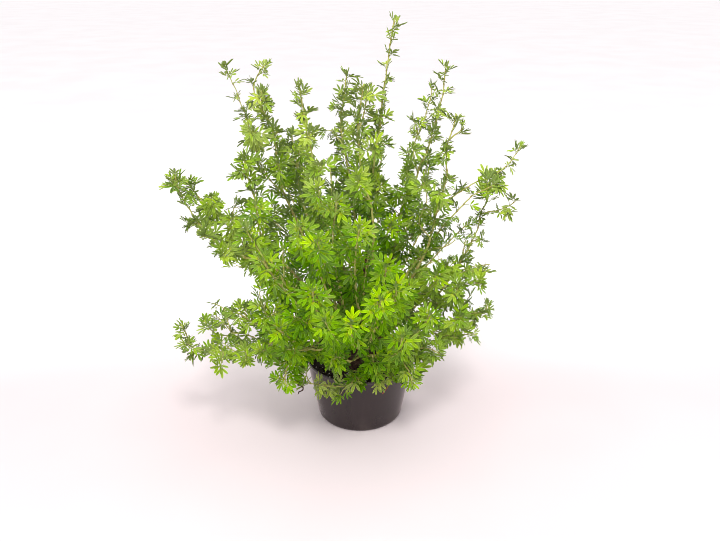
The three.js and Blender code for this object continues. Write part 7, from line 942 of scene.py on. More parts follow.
[-876,460,3604,-868,406,3672,-858,348,3736,-846,309,3814,-834,275,3893,-821,238,3972,-808,200,4049],
[519,134,81,87,9,68,32,438,355,28,110,-31,67,48,407,118,39,91,16,65,58,391,180,-12,118,17,29,73,358,306,-3,113,-9,28,78,521,221,80,62,-15,95,25,521,41,80,62,
-14,95,25,397,281,-32,111,27,23,82,272,165,-30,127,-24,31,47,134,241,-33,124,-4,18,58,328,97,49,82,-7,9,58,197,355,-3,109,-25,39,68]),
('BZ','stem_centre_tall','leaves_top_4',1,
[-546,-629,3789,-529,-690,3851,-512,-751,3914,-494,-815,3973,-474,-882,4028,-454,-950,4082],
[437,197,64,114,-40,47,41,389,281,22,88,-34,40,41,392,175,13,115,5,44,62,357,201,-8,114,32,38,68,340,26,20,116,-19,25,64,442,256,80,60,-6,95,25,442,76,80,60,
4,95,25,292,215,-31,115,14,28,82,186,111,3,112,-42,23,70,240,64,-3,82,1,4,42,205,198,-8,101,33,12,32,148,125,7,116,-5,6,47]),
('CA','stem_centre_tall','leaves_top_2',1,
[-223,668,3918,-242,610,3976,-289,621,4037,-341,663,4089,-394,700,4144],
[282,61,18,78,-35,79,34,241,90,33,106,41,73,60,215,284,78,82,6,60,44,232,120,-20,99,6,8,77,178,142,-11,114,-25,12,64,207,109,26,101,22,33,67]),
('CB','stem_centre_tall','leaves_top_4',1,
[-465,-611,3377,-465,-681,3425,-465,-755,3467,-469,-820,3521,-474,-882,3579,-480,-944,3637,-484,-1007,3694,-488,-1071,3750,-490,-1136,3805,-493,-1200,3861],
[756,82,28,106,-19,57,32,705,187,36,90,36,48,42,676,248,22,116,18,48,55,705,146,2,115,14,28,62,630,255,-3,105,29,29,73,762,92,80,59,-7,95,25,762,272,80,59,
-15,95,25,619,190,6,130,26,24,60,524,327,22,120,12,34,53,404,112,10,88,-14,0,70,320,311,-4,120,-5,24,72,214,179,29,140,52,3,76,493,242,-1,107,28,27,60,387,
292,-17,92,16,27,39,271,237,3,119,13,8,58,175,329,-5,125,-43,45,61,549,137,-5,111,43,25,59,421,284,-12,114,-41,42,67,438,159,8,109,24,30,64]),
('CC','stem_centre_tall','leaves_top_1',1,
[198,135,3895,187,56,3934,181,-26,3971,176,-107,4006,171,-189,4041,166,-272,4076,162,-354,4111,157,-436,4145,153,-518,4180,148,-600,4215],
[741,353,31,121,-25,31,36,747,150,36,124,11,57,46,721,311,25,120,-37,59,68,736,52,27,133,8,29,66,684,202,8,127,6,19,73,801,100,80,62,-5,95,25,801,280,80,62,
-13,95,25,674,7,60,104,33,19,51,552,3,71,101,27,14,73,446,307,69,105,-55,10,52,340,31,-1,83,1,29,49,184,243,-27,110,-55,11,68,554,315,56,114,-20,13,52,456,
359,8,81,16,15,49,319,69,44,75,-23,26,64,219,34,56,106,27,25,68,552,181,3,118,-48,25,64]),
('CD','stem_right_tall','leaves_top_8',1,
[485,303,2467,534,246,2515,567,176,2560,587,109,2616,603,43,2673,621,-25,2730,640,-93,2784,659,-162,2838,679,-231,2891,699,-300,2945],
[800,82,30,114,-5,62,48,754,186,75,117,-53,53,36,734,355,69,112,-23,35,53,694,195,12,113,44,38,53,654,239,-20,116,44,32,59,802,164,80,62,16,95,25,802,344,80,
62,3,95,25,655,129,24,125,3,11,64,563,207,-10,133,-7,32,79,387,261,-15,112,-20,0,66,310,176,-5,145,47,11,80,180,226,-14,91,49,10,68,539,203,2,104,10,20,52,
423,226,1,98,-29,12,49,322,166,2,84,-39,12,49,168,271,-8,121,24,58,76,541,104,48,84,-49,36,49,156,232,2,82,-24,21,54]),
('CE','stem_front_right','leaves_front_8',1,
[201,-1074,2229,278,-1117,2266,353,-1161,2306,414,-1212,2357,449,-1269,2424,478,-1327,2495,507,-1384,2565,536,-1442,2636,564,-1500,2706],
[758,36,41,119,-40,56,39,714,107,42,115,-23,36,46,649,340,31,98,-19,14,58,625,125,-7,124,21,18,50,600,257,-11,112,9,32,82,760,81,80,59,19,95,25,760,261,80,59,
-19,95,25,635,358,36,120,-52,13,55,515,320,5,103,-29,41,61,408,287,-3,128,-33,3,62,284,78,53,108,-32,0,65,177,219,47,91,-44,7,68,534,200,-16,121,25,24,69,416,
305,2,116,-42,3,64,333,215,-12,106,1,13,55,157,9,45,103,-33,24,62]),
('CF','stem_front_centre','leaves_front_6',1,
[-312,-896,2742,-300,-977,2776,-286,-1043,2836,-272,-1106,2899,-258,-1169,2963,-243,-1233,3025,-227,-1299,3085,-210,-1366,3144,-192,-1433,3202,-175,-1500,
3260],
[804,128,49,126,34,48,32,766,332,35,121,-15,46,55,722,154,24,110,20,30,43,689,266,-16,121,-1,6,49,693,324,6,102,-36,4,78,810,256,80,59,14,95,25,810,76,80,59,
6,95,25,662,223,-6,133,29,18,74,578,174,29,106,9,15,72,441,265,-14,81,58,29,54,349,107,26,124,27,22,43,175,261,28,115,50,7,54,540,194,29,107,32,23,50,461,41,
39,111,5,11,38,320,159,36,94,43,20,49,212,107,28,95,34,18,46]),
('CG','stem_centre_tall','leaves_top_1',1,
[89,98,2545,161,79,2594,230,47,2641,282,-6,2687,306,-72,2742,319,-141,2796,328,-210,2851,337,-280,2906,346,-350,2961,357,-420,3015,367,-490,3069,376,-560,
3124,386,-630,3178,395,-700,3232],
[1134,144,28,94,20,44,39,1115,321,21,124,-35,61,39,1095,96,25,107,19,40,62,1039,212,1,130,37,37,71,1034,51,15,131,-37,19,79,1154,259,80,61,-14,95,25,1154,79,
80,61,-4,95,25,1031,344,-4,124,-35,21,82,889,289,-9,128,12,14,57,779,302,3,122,-36,6,47,683,111,22,100,23,0,68,601,296,-11,123,34,24,72,441,144,30,130,9,23,
53,294,296,-30,114,-62,0,63,145,331,2,129,14,18,85,894,96,36,126,-14,6,38,819,274,27,109,-44,37,65,672,329,-16,66,-10,27,37,579,192,-3,113,15,35,57,421,329,4,
109,-32,24,60,321,325,19,121,-33,15,51,164,179,53,100,2,13,44,930,122,22,102,3,28,51,800,56,1,116,15,21,46,769,81,15,129,-27,32,51]),
('CH','stem_front_centre','leaves_top_3',1,
[134,-423,3471,105,-497,3521,82,-580,3561,60,-657,3611,39,-730,3667,20,-803,3724,5,-877,3781,-6,-951,3838,-14,-1026,3895,-24,-1100,3953],
[842,99,46,104,10,41,48,804,302,22,108,15,56,35,814,44,27,116,-35,54,62,738,208,7,116,25,15,54,721,280,-2,112,-16,10,75,847,200,80,59,-6,95,25,847,20,80,59,
14,95,25,705,318,-11,103,-29,18,80,605,132,4,109,32,49,71,499,226,-5,137,5,0,68,364,88,-17,127,-34,21,65,219,228,17,129,7,25,58,578,166,1,108,18,19,49,476,
231,64,100,-32,0,52,409,64,-8,118,-46,25,61,238,178,-6,110,-1,29,60,649,71,20,92,-20,33,60,473,231,7,102,-16,41,48,407,136,6,119,12,38,46,222,278,10,111,-6,
22,62,590,61,17,103,-35,28,68]),
('CI','stem_front_left','leaves_left_1',1,
[-1261,-731,3077,-1253,-662,3134,-1237,-586,3178,-1221,-513,3229,-1205,-442,3281,-1184,-371,3331,-1160,-300,3381],
[523,227,66,120,16,50,35,472,9,48,89,31,41,40,468,48,29,98,-55,57,61,417,209,-4,115,-55,27,55,402,61,-6,96,40,18,72,535,239,80,62,8,95,25,535,59,80,62,1,95,
25,393,354,14,116,31,27,79,321,56,-18,113,56,13,80,224,103,-36,97,-46,23,72,320,28,5,99,-31,18,63,208,65,0,100,-1,15,64,304,58,-10,88,43,30,35,153,59,-1,102,
8,8,48,271,79,6,108,21,27,67,186,67,-10,115,27,31,64]),
('CJ','stem_front_left','leaves_front_3',1,
[-989,-1059,2536,-976,-1027,2612,-963,-999,2689,-964,-997,2772,-968,-1000,2856,-965,-1000,2939,-961,-1000,3023],
[477,75,71,104,-29,43,34,496,171,31,92,44,48,52,460,357,21,116,-47,40,48,375,11,-9,105,-45,8,62,394,155,38,109,32,28,75,498,84,80,60,18,95,25,498,264,80,60,
-7,95,25,371,355,-19,111,-27,20,64,260,17,-7,127,-5,23,71,138,176,5,103,3,9,66,255,87,56,70,11,11,48,128,233,-2,104,19,15,56]),
('CK','stem_right_low','leaves_right_4',1,
[1336,-422,1742,1359,-371,1802,1398,-325,1856,1451,-284,1905,1501,-242,1954,1551,-200,2004],
[402,138,27,103,-46,53,38,390,284,79,108,23,65,38,314,38,13,84,-5,20,44,302,126,-23,100,-19,19,66,298,221,-14,91,15,11,80,280,117,-21,91,-7,20,70,160,298,55,
124,3,34,77,165,72,61,110,-34,26,59,179,82,-6,99,20,11,57,182,300,72,101,12,29,71]),
('CL','stem_left_low','leaves_left_4',1,
[-1096,-739,1579,-1137,-814,1589,-1158,-895,1611,-1179,-976,1637,-1200,-1056,1662,-1220,-1137,1687,-1238,-1218,1711,-1256,-1300,1735],
[595,141,45,129,16,34,36,539,277,37,109,18,69,37,528,30,16,91,-21,48,45,522,143,20,110,0,9,47,499,329,4,126,-3,13,85,604,188,80,59,-3,95,25,604,8,80,59,-17,
95,25,486,339,6,104,26,13,66,332,16,7,127,10,37,69,248,155,27,109,-42,13,64,165,325,52,113,45,8,69,384,212,28,105,-18,20,55,278,314,16,118,-32,28,59,97,100,
-18,115,-4,48,72,388,272,51,105,35,18,51,243,203,27,100,39,21,60,130,348,-6,70,34,24,57,324,328,-14,118,-3,6,48,294,205,16,104,40,21,59]),
('CM','stem_front_centre','leaves_front_5',1,
[-368,-1425,2096,-452,-1458,2125,-529,-1499,2162,-572,-1558,2223,-604,-1619,2288,-638,-1679,2353,-671,-1740,2418,-704,-1800,2484],
[655,1,25,103,-55,60,38,586,197,30,102,37,69,54,583,260,18,111,9,50,54,551,342,-10,115,-17,34,57,505,240,1,123,14,6,77,661,54,80,59,-13,95,25,661,234,80,59,
-12,95,25,487,294,-22,119,-15,44,58,386,321,-36,104,-44,11,76,321,273,-17,117,15,0,78,188,56,-18,106,-36,3,61,416,228,54,77,13,18,42,288,220,4,103,30,12,54,
177,106,10,102,-3,23,55,451,218,44,122,15,21,49,301,215,24,109,21,28,53]),
('CN','stem_front_right','leaves_front_11',1,
[420,-1214,1610,478,-1203,1681,534,-1197,1754,581,-1228,1827,622,-1273,1896,664,-1316,1967,706,-1358,2038,748,-1400,2108],
[641,333,19,84,-28,48,32,596,146,20,89,24,70,52,544,241,65,106,-43,61,47,572,351,-6,108,-24,26,62,506,148,5,128,-11,21,62,643,67,80,59,-18,95,25,643,247,80,
59,16,95,25,531,307,-24,126,40,25,58,383,145,11,139,29,18,82,255,317,-18,102,22,11,76,179,341,-19,130,-46,1,75,391,147,37,97,43,43,47,319,62,23,94,-19,23,64,
219,252,-11,120,37,29,71,418,70,69,100,-10,20,76,319,146,23,112,34,16,52,378,179,16,123,44,12,64]),
('CO','stem_right_upper','leaves_right_2',1,
[884,-264,2732,975,-235,2739,1063,-202,2732,1152,-169,2734,1235,-135,2761,1309,-100,2810],
[469,181,37,100,-32,76,32,462,354,36,109,-8,42,54,357,60,19,93,-32,34,67,303,40,-8,123,34,14,76,336,11,-9,99,17,9,48,226,331,31,85,-48,23,54,221,59,19,76,-29,
9,39]),
('CP','stem_right_upper','leaves_right_3',1,
[1469,78,2491,1458,68,2569,1479,137,2631,1509,200,2695],
[264,88,49,100,25,48,38,255,195,35,124,-14,50,60,172,49,38,95,-15,60,50,168,96,33,116,-31,15,67,124,314,6,89,-5,30,58,100,46,-30,100,-32,38,77]),
('x0','stem_front_right','leaves_front_11',2,
[168,-873,1175,191,-913,1147,211,-933,1112,225,-936,1082,238,-940,1044],
[167,80,65,101,-10,68,45,162,174,64,100,-35,39,51,96,55,70,115,-17,46,50,73,119,39,119,17,10,62,45,328,14,101,14,10,71,169,150,80,60,5,95,25,169,330,80,60,
-11,95,25]),
('x1','stem_front_left','leaves_front_1',2,
[-1198,-1300,2323,-1190,-1314,2387,-1176,-1319,2435,-1163,-1319,2455,-1151,-1318,2467],
[125,77,40,109,-28,50,32,114,238,39,98,-17,52,44,92,22,34,101,-31,40,55,20,165,7,102,18,14,79,62,209,-7,113,6,16,85,154,126,80,59,-7,95,25,154,306,80,59,-6,
95,25]),
('x2','stem_trailing','leaves_front_12',2,
[-152,-856,961,-208,-881,921,-242,-900,889,-257,-911,864,-272,-923,830],
[179,72,73,97,32,42,37,164,133,80,116,-49,50,52,95,251,22,76,-16,52,63,79,12,-6,86,4,32,72,66,185,-3,95,-11,0,80,191,83,80,60,19,95,25]),
('x3','stem_front_right','leaves_front_11',2,
[177,-955,1209,235,-981,1219,290,-987,1213,331,-982,1197,371,-978,1171],
[207,0,69,113,4,48,32,163,74,67,105,8,52,49,143,208,50,99,-35,31,58,122,24,30,95,25,34,65,85,197,39,90,17,10,71,209,43,80,59,16,95,25,209,223,80,59,13,95,
25]),
('x4','stem_front_left','leaves_front_1',2,
[-1142,-1224,2169,-1121,-1223,2220,-1095,-1215,2255,-1075,-1206,2266,-1055,-1196,2271],
[137,83,75,123,-45,40,36,113,181,67,101,-28,43,49,81,348,34,102,44,26,67,55,12,37,107,-30,38,68,35,259,-13,114,10,14,73,143,79,80,59,-9,95,25,143,259,80,59,
16,95,25]),
('x5','stem_centre_tall','leaves_top_2',2,
[-254,781,4425,-276,778,4460,-300,772,4482,-312,767,4483,-323,763,4479],
[95,119,17,96,28,66,40,76,222,19,94,-8,66,41,44,13,77,125,17,59,46,1,149,15,123,-27,10,62,20,224,-22,85,-44,18,57]),
('x6','stem_front_left','leaves_front_1',2,
[-1198,-1300,2323,-1221,-1308,2433,-1235,-1302,2515,-1242,-1290,2567,-1248,-1278,2605],
[286,352,80,107,-42,62,40,252,40,37,106,-18,51,46,222,183,55,84,-20,41,58,194,19,-5,99,0,15,76,164,144,20,85,-40,14,74,173,243,37,96,36,21,45]),
('x7','stem_right_tall','leaves_top_8',2,
[568,348,2993,542,347,3046,513,344,3080,493,341,3090,473,338,3092],
[129,65,47,102,-33,58,41,79,206,38,115,-23,55,57,104,79,56,92,33,23,61,38,183,15,116,-2,31,57,20,303,20,112,-24,19,66,143,178,80,62,11,95,25,143,358,80,62,-1,
95,25]),
('x8','stem_right_upper','leaves_right_2',2,
[1771,-300,3668,1801,-304,3664,1822,-309,3655,1822,-309,3650,1822,-310,3641],
[53,352,64,90,-28,50,35,20,191,28,104,-31,59,34,-3,243,34,109,-24,35,53,-31,356,16,100,16,10,62,-59,206,-7,101,-29,10,71,65,52,80,62,-5,95,25,65,232,80,62,10,
95,25]),
('x9','stem_left_upper','leaves_left_3',2,
[-1681,-400,3249,-1658,-433,3328,-1637,-445,3390,-1622,-445,3427,-1606,-444,3453],
[216,271,44,96,30,74,37,182,359,48,96,22,56,47,180,173,82,85,-5,37,67,151,246,10,102,-38,16,53,63,21,10,78,25,11,80]),
('x10','stem_trailing','leaves_front_2',2,
[-658,-993,1061,-702,-1013,1140,-720,-1025,1209,-721,-1031,1258,-722,-1037,1295],
[235,152,46,101,34,40,37,203,293,75,114,-20,53,45,184,142,42,101,-2,59,60,149,165,22,104,-14,15,67,81,290,34,85,-26,4,71,249,218,80,59,-9,95,25,249,38,80,59,
12,95,25,122,209,6,106,41,24,51]),
('x11','stem_front_left','leaves_front_2',2,
[-924,-1133,1511,-996,-1163,1494,-1055,-1185,1500,-1097,-1198,1512,-1139,-1211,1513],
[219,15,64,88,7,47,32,209,66,35,89,-51,56,47,128,237,37,99,13,37,47,108,332,-20,125,-16,16,59,114,123,3,82,-27,18,77,230,37,80,59,17,95,25,230,217,80,59,-9,
95,25]),
('x12','stem_centre_tall','leaves_top_1',2,
[272,153,4420,291,137,4451,309,120,4469,315,114,4468,321,107,4462],
[63,313,65,95,5,60,35,47,36,35,96,-23,50,44,20,180,46,81,-18,46,49,20,346,17,97,23,26,59,20,195,0,117,-26,9,70]),
('x13','stem_front_right','leaves_front_12',2,
[-297,-1600,1838,-324,-1617,1817,-347,-1619,1786,-359,-1613,1761,-370,-1607,1728],
[125,73,62,79,14,69,37,98,231,62,111,12,50,44,81,9,28,120,-37,40,55,46,74,0,111,-26,17,61,44,289,41,100,24,20,69,138,129,80,59,15,95,25,138,309,80,59,-19,95,
25]),
('x14','stem_trailing','leaves_front_12',2,
[-34,-817,1081,-27,-840,1044,-14,-854,1018,-3,-857,1009,8,-860,993],
[105,254,75,86,-10,50,41,83,124,48,103,-23,47,46,20,261,79,87,-10,54,52,20,321,-7,97,6,20,58,20,156,-16,110,-19,13,84,107,22,80,60,-1,95,25,107,202,80,60,-16,
95,25]),
('x15','stem_front_left','leaves_left_1',2,
[-1379,-783,3910,-1424,-805,3947,-1464,-826,3963,-1491,-840,3961,-1518,-854,3951],
[153,163,72,86,-17,44,36,152,294,64,98,29,62,48,108,25,62,102,19,44,50,61,165,-2,118,-22,20,65,28,343,-2,89,10,22,78]),
('x16','stem_right_low','leaves_right_5',2,
[981,-1055,1614,989,-1069,1579,983,-1075,1547,973,-1074,1529,963,-1073,1505],
[112,330,58,93,12,59,41,76,128,51,117,-25,50,44,48,314,34,95,-24,35,53,20,91,-3,94,-25,10,62,-8,157,38,102,-26,10,71,116,51,80,59,2,95,25,116,231,80,59,2,95,
25]),
('x17','stem_centre_tall','leaves_top_2',2,
[-205,645,3812,-237,642,3841,-268,635,3856,-280,630,3854,-293,626,3847],
[102,131,18,94,-28,79,46,68,304,47,93,25,52,50,47,62,64,115,-29,49,56,20,215,26,92,38,34,52,22,344,-20,124,-25,4,62,104,179,80,62,-19,95,25,104,359,80,62,-19,
95,25]),
('x18','stem_left_low','leaves_left_4',2,
[-2239,-711,1433,-2280,-712,1414,-2305,-714,1388,-2311,-715,1368,-2318,-717,1341],
[111,203,26,91,-24,60,40,87,57,65,102,15,50,44,101,131,61,94,-16,37,60,79,256,-11,107,-12,24,67,20,8,-23,84,32,3,84,127,291,80,61,3,95,25]),
('x19','stem_left_low','leaves_left_5',2,
[-1551,-580,1844,-1565,-595,1926,-1558,-607,1991,-1543,-615,2030,-1528,-623,2058],
[181,168,74,80,30,69,32,183,275,68,117,-24,50,44,139,25,63,104,-13,40,52,127,166,38,111,16,10,62,84,360,-9,110,-36,17,69,223,222,80,62,-20,95,25,223,42,80,62,
-11,95,25]),
('x20','stem_right_upper','leaves_top_9',2,
[964,-550,3248,988,-544,3271,1010,-537,3283,1014,-535,3279,1018,-534,3271],
[67,271,59,128,-29,56,32,45,314,63,95,19,44,48,3,181,29,86,-29,35,53,-25,294,-2,98,18,10,62,-53,72,-2,92,-24,10,71,71,278,80,62,-13,95,25]),
('x21','stem_right_low','leaves_right_6',2,
[680,-1136,1237,707,-1140,1223,731,-1138,1219,735,-1135,1222,739,-1132,1220],
[51,74,33,88,-25,50,35,46,155,68,77,-26,49,40,-5,325,29,113,13,35,53,-33,151,15,88,15,10,62,-61,192,0,102,-22,10,71,63,110,80,59,-14,95,25,63,290,80,59,-18,
95,25]),
('x22','stem_right_upper','leaves_right_3',2,
[1137,-600,2635,1150,-628,2684,1161,-645,2720,1167,-649,2732,1172,-653,2738],
[113,288,66,110,-26,47,36,65,125,68,82,-25,54,41,80,259,46,108,-28,28,53,26,335,-5,116,-35,21,62,20,231,9,99,6,22,78,119,32,80,61,-2,95,25,119,212,80,61,3,95,
25]),
('x23','stem_trailing','leaves_front_12',2,
[7,-669,1074,-23,-741,1117,-49,-788,1149,-68,-815,1165,-88,-841,1171],
[173,302,46,104,-1,51,46,211,182,60,84,-39,72,45,120,328,35,99,-23,46,53,109,16,14,105,18,9,66,132,256,41,106,7,11,78,218,250,80,60,3,95,25]),
('x24','stem_left_upper','leaves_left_2',2,
[-2355,-396,3665,-2397,-397,3692,-2435,-398,3703,-2455,-398,3699,-2475,-398,3688],
[118,259,53,97,19,50,35,72,359,39,96,-4,44,38,72,150,34,112,-17,56,62,61,23,26,94,20,20,62,20,50,13,98,-12,0,59,130,343,80,62,17,95,25]),
('x25','stem_right_tall','leaves_top_8',2,
[973,454,4079,994,449,4112,1012,443,4133,1016,441,4132,1020,438,4127],
[42,79,35,97,-33,46,41,29,152,36,117,10,47,48,8,339,47,94,13,35,53,-20,164,35,96,-29,10,62,-48,254,-8,90,-30,10,71,76,124,80,62,17,95,25,76,304,80,62,-12,95,
25]),
('x26','stem_front_right','leaves_front_11',2,
[371,-978,1171,417,-992,1155,449,-1007,1148,459,-1017,1146,470,-1026,1138],
[93,77,32,80,-38,68,40,63,177,25,88,-21,51,56,68,339,79,128,30,24,53,18,88,40,100,18,10,62,-10,297,15,97,-27,10,71,114,119,80,59,-18,95,25]),
('x27','stem_front_centre','leaves_front_5',2,
[-704,-1800,2484,-739,-1825,2509,-769,-1840,2523,-782,-1843,2523,-794,-1846,2516],
[91,93,77,92,25,43,32,59,204,65,113,9,47,46,52,290,40,97,-23,39,51,39,68,4,108,-48,14,71,-14,236,42,88,-22,10,71,110,130,80,59,-13,95,25,110,310,80,59,7,95,
25]),
('x28','stem_centre_tall','leaves_top_1',2,
[252,147,4240,260,151,4279,266,155,4307,266,156,4308,267,157,4305],
[69,38,27,95,20,54,40,40,162,56,121,15,52,48,3,244,35,88,19,35,53,-25,117,-4,95,16,10,62,-53,207,0,123,-22,10,71,71,257,80,62,4,95,25]),
('x29','stem_front_centre','leaves_top_3',2,
[-22,-373,4503,-43,-383,4549,-66,-393,4579,-79,-399,4585,-92,-405,4585],
[106,332,69,86,-23,50,35,78,182,31,85,-27,50,44,47,349,34,93,-17,29,50,20,19,40,92,18,16,66,-6,258,-4,93,-26,10,71,118,80,80,62,-10,95,25,118,260,80,62,6,95,
25]),
('x30','stem_front_left','leaves_left_1',2,
[-1317,-765,3649,-1297,-762,3696,-1274,-758,3728,-1259,-755,3735,-1245,-752,3736],
[102,165,19,105,-7,42,41,72,329,58,88,-25,37,50,29,207,30,105,35,63,43,20,241,21,93,3,9,65,-5,104,-7,83,-29,10,71,119,286,80,61,-5,95,25,119,106,80,61,10,95,
25]),
('x31','stem_front_right','leaves_front_12',2,
[-104,-951,1399,-158,-992,1379,-205,-1010,1348,-238,-1012,1313,-272,-1014,1267],
[220,225,66,89,-26,50,35,215,40,71,98,-34,48,38,169,91,72,84,-17,56,42,136,230,19,86,19,10,62,108,55,34,86,12,10,71,232,81,80,59,1,95,25]),
('x32','stem_front_left','leaves_left_1',2,
[-1397,-794,4088,-1405,-808,4122,-1412,-821,4145,-1413,-824,4144,-1415,-826,4139],
[64,303,52,90,24,55,32,29,10,37,95,26,57,40,20,223,47,83,-35,30,50,20,285,-4,110,18,16,64,-53,111,14,89,-28,10,71,71,317,80,61,-15,95,25,71,137,80,61,-11,95,
25]),
('x33','stem_centre_tall','leaves_top_4',2,
[-668,-678,4644,-648,-681,4672,-626,-683,4689,-620,-684,4687,-614,-684,4680],
[63,290,67,98,17,50,35,38,359,46,87,31,71,46,20,172,21,83,-23,44,46,20,266,16,92,-15,13,55,-49,144,-5,121,-27,10,71]),
('x34','stem_right_low','leaves_right_4',2,
[1506,-432,1836,1548,-425,1805,1569,-418,1767,1574,-412,1733,1579,-406,1691],
[159,280,64,100,14,50,35,115,80,46,84,15,60,50,100,189,31,116,11,46,51,54,326,39,86,12,35,56,47,62,-6,87,14,10,71,171,340,80,61,17,95,25,171,160,80,61,17,95,
25]),
('x35','stem_front_centre','leaves_top_3',2,
[32,-355,4859,16,-369,4899,-2,-384,4924,-11,-391,4927,-21,-398,4924],
[98,333,50,87,-36,65,50,91,116,73,93,-37,60,33,27,245,42,97,5,31,53,20,315,30,78,-18,25,59,20,165,-13,90,-13,9,68]),
('x36','stem_left_tall','leaves_top_5',2,
[-1305,414,4461,-1286,397,4514,-1256,377,4549,-1230,363,4562,-1203,348,4566],
[148,201,51,101,16,61,33,94,79,75,92,0,62,44,109,221,61,90,16,32,49,80,270,24,114,-3,30,74,50,127,-13,102,9,22,77,169,312,80,62,-16,95,25,169,132,80,62,6,95,
25]),
('x37','stem_centre_tall','leaves_top_2',2,
[-394,700,4144,-435,708,4152,-466,709,4152,-476,707,4146,-485,704,4134],
[90,327,48,92,9,48,36,88,158,42,105,-3,44,40,76,199,74,84,-3,42,39,2,48,-4,96,16,10,62]),
('x38','stem_left_tall','leaves_top_5',2,
[-1170,372,4132,-1146,356,4175,-1119,338,4201,-1102,326,4206,-1085,314,4204],
[117,199,28,115,-30,61,32,93,357,65,104,15,50,44,44,193,26,97,41,44,58,32,277,-21,95,-18,18,62,20,95,0,94,23,13,66,133,100,80,62,-19,95,25]),
('x39','stem_right_upper','leaves_top_9',2,
[1069,-611,4120,1043,-625,4147,1017,-638,4161,1007,-642,4159,997,-647,4151],
[92,196,59,88,-17,56,37,42,335,26,115,37,76,51,26,34,31,109,15,35,53,-2,268,-6,97,-28,10,62,23,340,-11,85,49,17,73,94,227,80,61,19,95,25,94,47,80,61,10,95,
25]),
('x40','stem_left_upper','leaves_left_3',2,
[-1637,-445,3390,-1608,-458,3404,-1583,-469,3407,-1577,-472,3401,-1571,-475,3391],
[69,341,50,93,16,50,35,25,121,70,107,13,56,46,29,32,28,111,-45,21,76]),
('x41','stem_centre_tall','leaves_top_1',2,
[219,141,4062,263,138,4091,304,134,4102,327,131,4098,351,128,4086],
[141,59,64,90,1,65,33,104,196,47,103,-32,46,40,76,348,74,116,17,26,51,20,76,-6,84,-5,0,51,19,148,-6,123,-28,10,71,143,246,80,62,-10,95,25]),
('x42','stem_left_upper','leaves_left_2',2,
[-2241,-300,3116,-2268,-311,3127,-2287,-331,3143,-2289,-342,3150,-2291,-354,3152],
[84,122,49,83,-39,49,40,33,281,35,84,-17,55,49,35,54,78,93,-37,52,56,20,212,-14,89,-10,31,60,20,295,12,85,-45,0,78]),
('x43','stem_right_upper','leaves_right_1',2,
[1297,-317,3563,1293,-319,3586,1282,-326,3606,1275,-330,3608,1269,-334,3606],
[58,326,40,108,-45,64,36,54,151,67,93,-25,34,51,-8,289,29,87,-29,35,53,20,4,17,84,33,34,54,20,239,8,94,-45,7,67]),
('x44','stem_left_tall','leaves_top_6',2,
[-1430,-226,4515,-1440,-240,4537,-1448,-252,4551,-1449,-254,4550,-1450,-255,4545],
[40,292,49,91,15,50,35,20,42,60,84,7,66,58,20,215,14,99,-22,31,55,-44,296,38,90,-26,10,62,20,46,39,101,38,19,70]),
('x45','stem_left_upper','leaves_left_3',2,
[-2364,291,3461,-2350,282,3495,-2327,271,3518,-2313,265,3522,-2299,260,3519],
[98,81,68,96,15,66,32,32,150,64,86,-4,59,51,33,330,42,97,19,47,42,46,88,-5,81,29,10,56,-24,256,38,99,16,10,71]),
('x46','stem_right_upper','leaves_top_9',2,
[1054,-580,3681,1037,-583,3719,1018,-586,3743,1010,-586,3745,1001,-587,3742],
[76,173,68,109,-24,50,35,48,335,28,92,-30,50,44,20,358,50,96,26,63,60,-8,226,-1,95,-23,10,62,25,25,39,108,30,0,77,88,209,80,62,-11,95,25,88,29,80,62,-6,95,
25]),
('x47','stem_right_upper','leaves_right_3',2,
[1930,-101,3264,1962,-113,3252,1985,-118,3233,1990,-116,3220,1996,-115,3201],
[86,317,67,121,17,50,35,64,64,41,86,-5,44,51,50,217,19,83,26,51,60,34,297,20,101,10,11,67,24,144,41,108,14,12,57])
]

# ---------------------------------------------------------------- camera, light and floor
scene = bpy.context.scene
cam_data = bpy.data.cameras.new("camera")
cam = bpy.data.objects.new("camera", cam_data)
scene.collection.objects.link(cam)
cam_data.lens = 35.0
cam_data.sensor_width = 36.0
cam_data.clip_start, cam_data.clip_end = 0.05, 60.0
cam.location = (0.0, -0.911, 0.627)
cam.rotation_euler = (math.radians(90 - 23.5), 0.0, 0.0)
scene.camera = cam
scene.view_settings.view_transform = "Standard"
scene.cycles.filter_width = 0.9


def area_light(name, at, to, size, watts, colour):
    data = bpy.data.lights.new(name, "AREA")
    data.shape = "DISK"
    data.size = size
    data.energy = watts
    data.color = colour
    o = bpy.data.objects.new(name, data)
    scene.collection.objects.link(o)
    o.location = at
    o.rotation_euler = (Vector(to) - Vector(at)).to_track_quat("-Z", "Y").to_euler()
    return o


area_light("key_softbox", (0.16, -1.45, 2.15), (0.0, 0.0, 0.25), 0.55, 31.0, (1.0, 0.985, 0.955))
area_light("fill_softbox", (-0.60, -1.75, 0.95), (0.0, 0.0, 0.22), 0.7, 10.0, (1.0, 0.985, 0.97))


